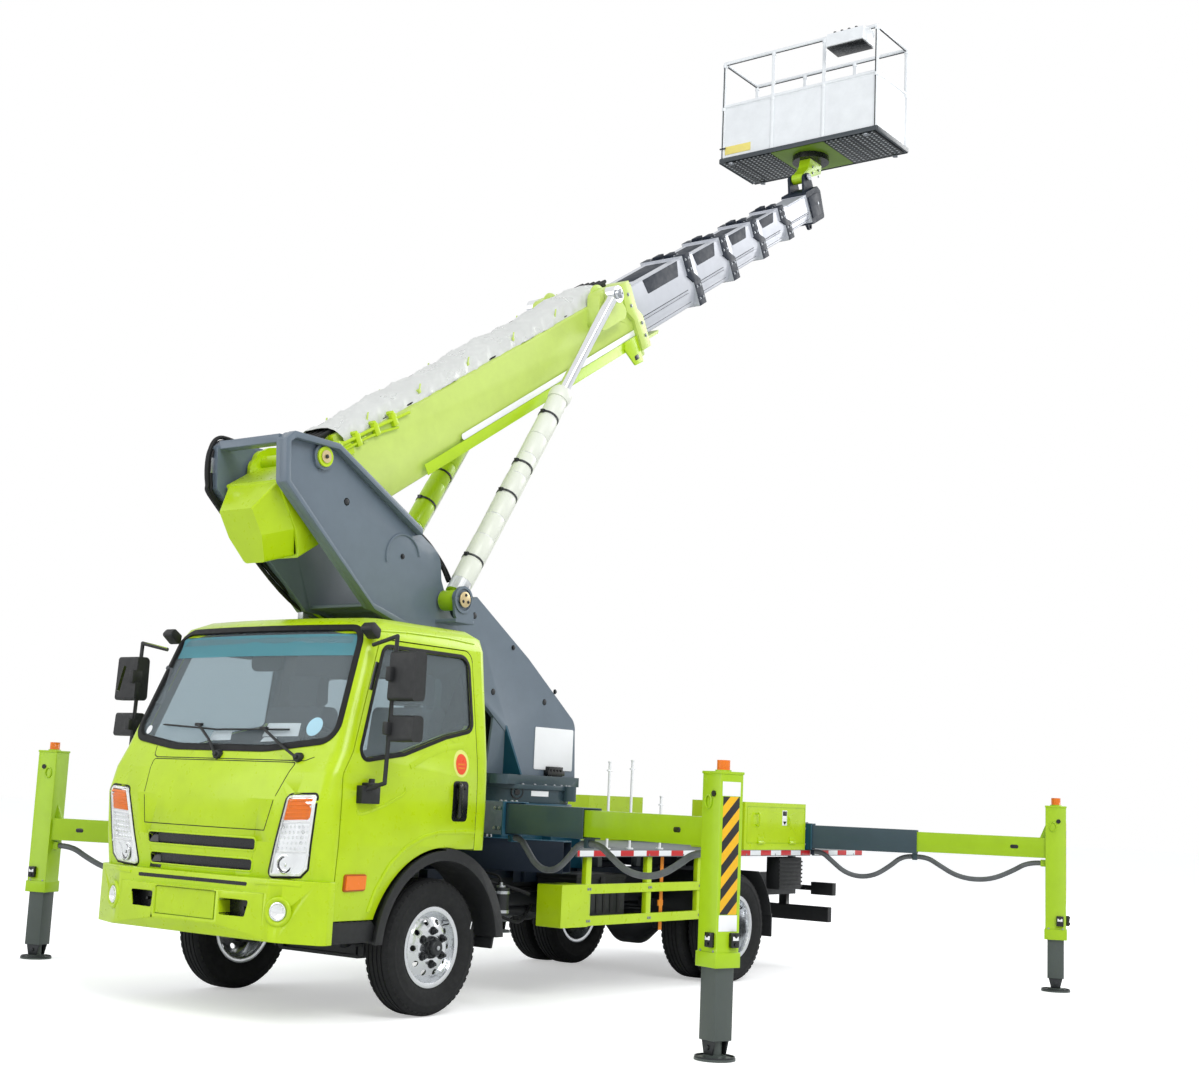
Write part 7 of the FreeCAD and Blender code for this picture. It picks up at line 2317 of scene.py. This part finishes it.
# ---------------------------------------------------------------- studio
@dataclass
class Studio:
    """Camera, floor, world and lamps."""

    eye: Vector = field(default_factory=lambda: Vector((9.930, 7.401, 1.284)))
    azimuth: float = radians(36.406)
    elevation: float = radians(8.775)
    roll: float = radians(2.480)
    lens: float = 50.53811
    shift: tuple = (0.0029191, -0.0013344)
    sky: tuple = (0.93, 0.96, 1.0, 1)
    sky_strength: float = 0.62
    floor_glow: float = 0.42
    lamps: tuple = (("key", (8, 13, 13), (0, 0, 2.5), 8, 1400), ("fill", (14, -6, 7), (0, 0, 2), 9, 480),
                    ("rim", (-12, 4, 10), (-1, 0, 4), 8, 800))

    def show(self, name: str, data: bpy.types.ID) -> bpy.types.Object:
        """Put data into the scene as an object.

        Args:
            name: name of the object.
            data: what it holds.

        Returns:
            The object.
        """
        made = bpy.data.objects.new(name, data)
        bpy.context.scene.collection.objects.link(made)
        return made

    def camera(self) -> None:
        """The camera, low in front of the truck's left corner."""
        level = cos(self.elevation)
        ahead = Vector((-cos(self.azimuth) * level, -sin(self.azimuth) * level,
                        sin(self.elevation)))
        right = ahead.cross(Vector((0, 0, 1))).normalized()
        above = right.cross(ahead)
        cr, sr = cos(self.roll), sin(self.roll)
        right, above = right * cr + above * sr, above * cr - right * sr
        data = bpy.data.cameras.new("camera")
        data.sensor_fit = "HORIZONTAL"
        data.sensor_width = 36.0
        data.lens = self.lens
        data.shift_x, data.shift_y = self.shift
        data.clip_end = 200
        made = self.show("camera", data)
        turn = Matrix((right, above, -ahead)).transposed().to_4x4()
        made.matrix_world = Matrix.Translation(self.eye) @ turn
        bpy.context.scene.camera = made

    def world(self) -> None:
        """Even sky light, white to the camera, to gloss and through glass."""
        world = bpy.data.worlds.new("world")
        world.use_nodes = True
        bpy.context.scene.world = world
        tree = world.node_tree
        sky = tree.nodes["Background"]
        sky.inputs[0].default_value = self.sky
        sky.inputs[1].default_value = self.sky_strength
        path, white = tree.nodes.new("ShaderNodeLightPath"), tree.nodes.new("ShaderNodeBackground")
        white.inputs[0].default_value = (1, 1, 1, 1)
        total = path.outputs["Is Camera Ray"]
        for kind in ("Is Glossy Ray", "Is Transmission Ray"):
            most = tree.nodes.new("ShaderNodeMath")
            most.operation = "MAXIMUM"
            tree.links.new(total, most.inputs[0])
            tree.links.new(path.outputs[kind], most.inputs[1])
            total = most.outputs[0]
        mix = tree.nodes.new("ShaderNodeMixShader")
        for start, end in ((total, mix.inputs[0]), (sky.outputs[0], mix.inputs[1]),
                           (white.outputs[0], mix.inputs[2]),
                           (mix.outputs[0], tree.nodes["World Output"].inputs[0])):
            tree.links.new(start, end)

    def floor(self) -> None:
        """A wide pale floor."""
        mesh = bmesh.new()
        bmesh.ops.create_grid(mesh, x_segments=1, y_segments=1, size=60)
        data = bpy.data.meshes.new("floor")
        mesh.to_mesh(data)
        mesh.free()
        material = bpy.data.materials.new("floor_white")
        material.use_nodes = True
        shader = material.node_tree.nodes["Principled BSDF"]
        shader.inputs["Base Color"].default_value = (0.9, 0.9, 0.9, 1)
        shader.inputs["Roughness"].default_value = 0.9
        self.glow(material.node_tree, shader)
        data.materials.append(material)
        self.show("floor", data)

    def glow(self, tree: bpy.types.NodeTree, shader: bpy.types.Node) -> None:
        """Lift what the camera sees of the floor towards white, under its shadow.

        Args:
            tree: the node tree.
            shader: the floor's own shader.
        """
        path, times = tree.nodes.new("ShaderNodeLightPath"), tree.nodes.new("ShaderNodeMath")
        times.operation = "MULTIPLY"
        times.inputs[1].default_value = self.floor_glow
        light, both = tree.nodes.new("ShaderNodeEmission"), tree.nodes.new("ShaderNodeAddShader")
        for start, end in ((path.outputs["Is Camera Ray"], times.inputs[0]),
                           (times.outputs[0], light.inputs["Strength"]), (shader.outputs[0], both.inputs[0]),
                           (light.outputs[0], both.inputs[1]),
                           (both.outputs[0], tree.nodes["Material Output"].inputs[0])):
            tree.links.new(start, end)

    def lamp(self, name: str, place: Point, target: Point, size: float, power: float) -> None:
        """A soft square lamp aimed at a point.

        Args:
            name: name of the lamp.
            place: where it stands.
            target: where it points.
            size: its width.
            power: its power in watts.
        """
        data = bpy.data.lights.new(name, "AREA")
        data.shape = "SQUARE"
        data.size = size
        data.energy = power
        made = self.show(name, data)
        made.location = place
        made.rotation_euler = (Vector(target) - Vector(place)).to_track_quat("-Z", "Y").to_euler()

    def build(self) -> None:
        """Set up everything that isn't the truck."""
        bpy.context.scene.view_settings.view_transform = "Standard"
        self.camera()
        self.world()
        self.floor()
        for row in self.lamps:
            self.lamp(*row)


# ---------------------------------------------------------------- main
def main() -> None:
    """Build the scene in order."""
    logging.basicConfig(level=logging.INFO)
    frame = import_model()
    Studio().build()
    OutriggerHoses().build()
    BaseCoat().build(frame)
    Cab(frame).build()
    Wheels().build()
    RunningGear().build()
    Deckwork().build()
    OutriggerTrim().build()
    TurretTrim(frame).build()
    BoomTrim().build()
    BasketTrim().build()
    LOG.info("sizes written")


if __name__ == "__main__":
    main()
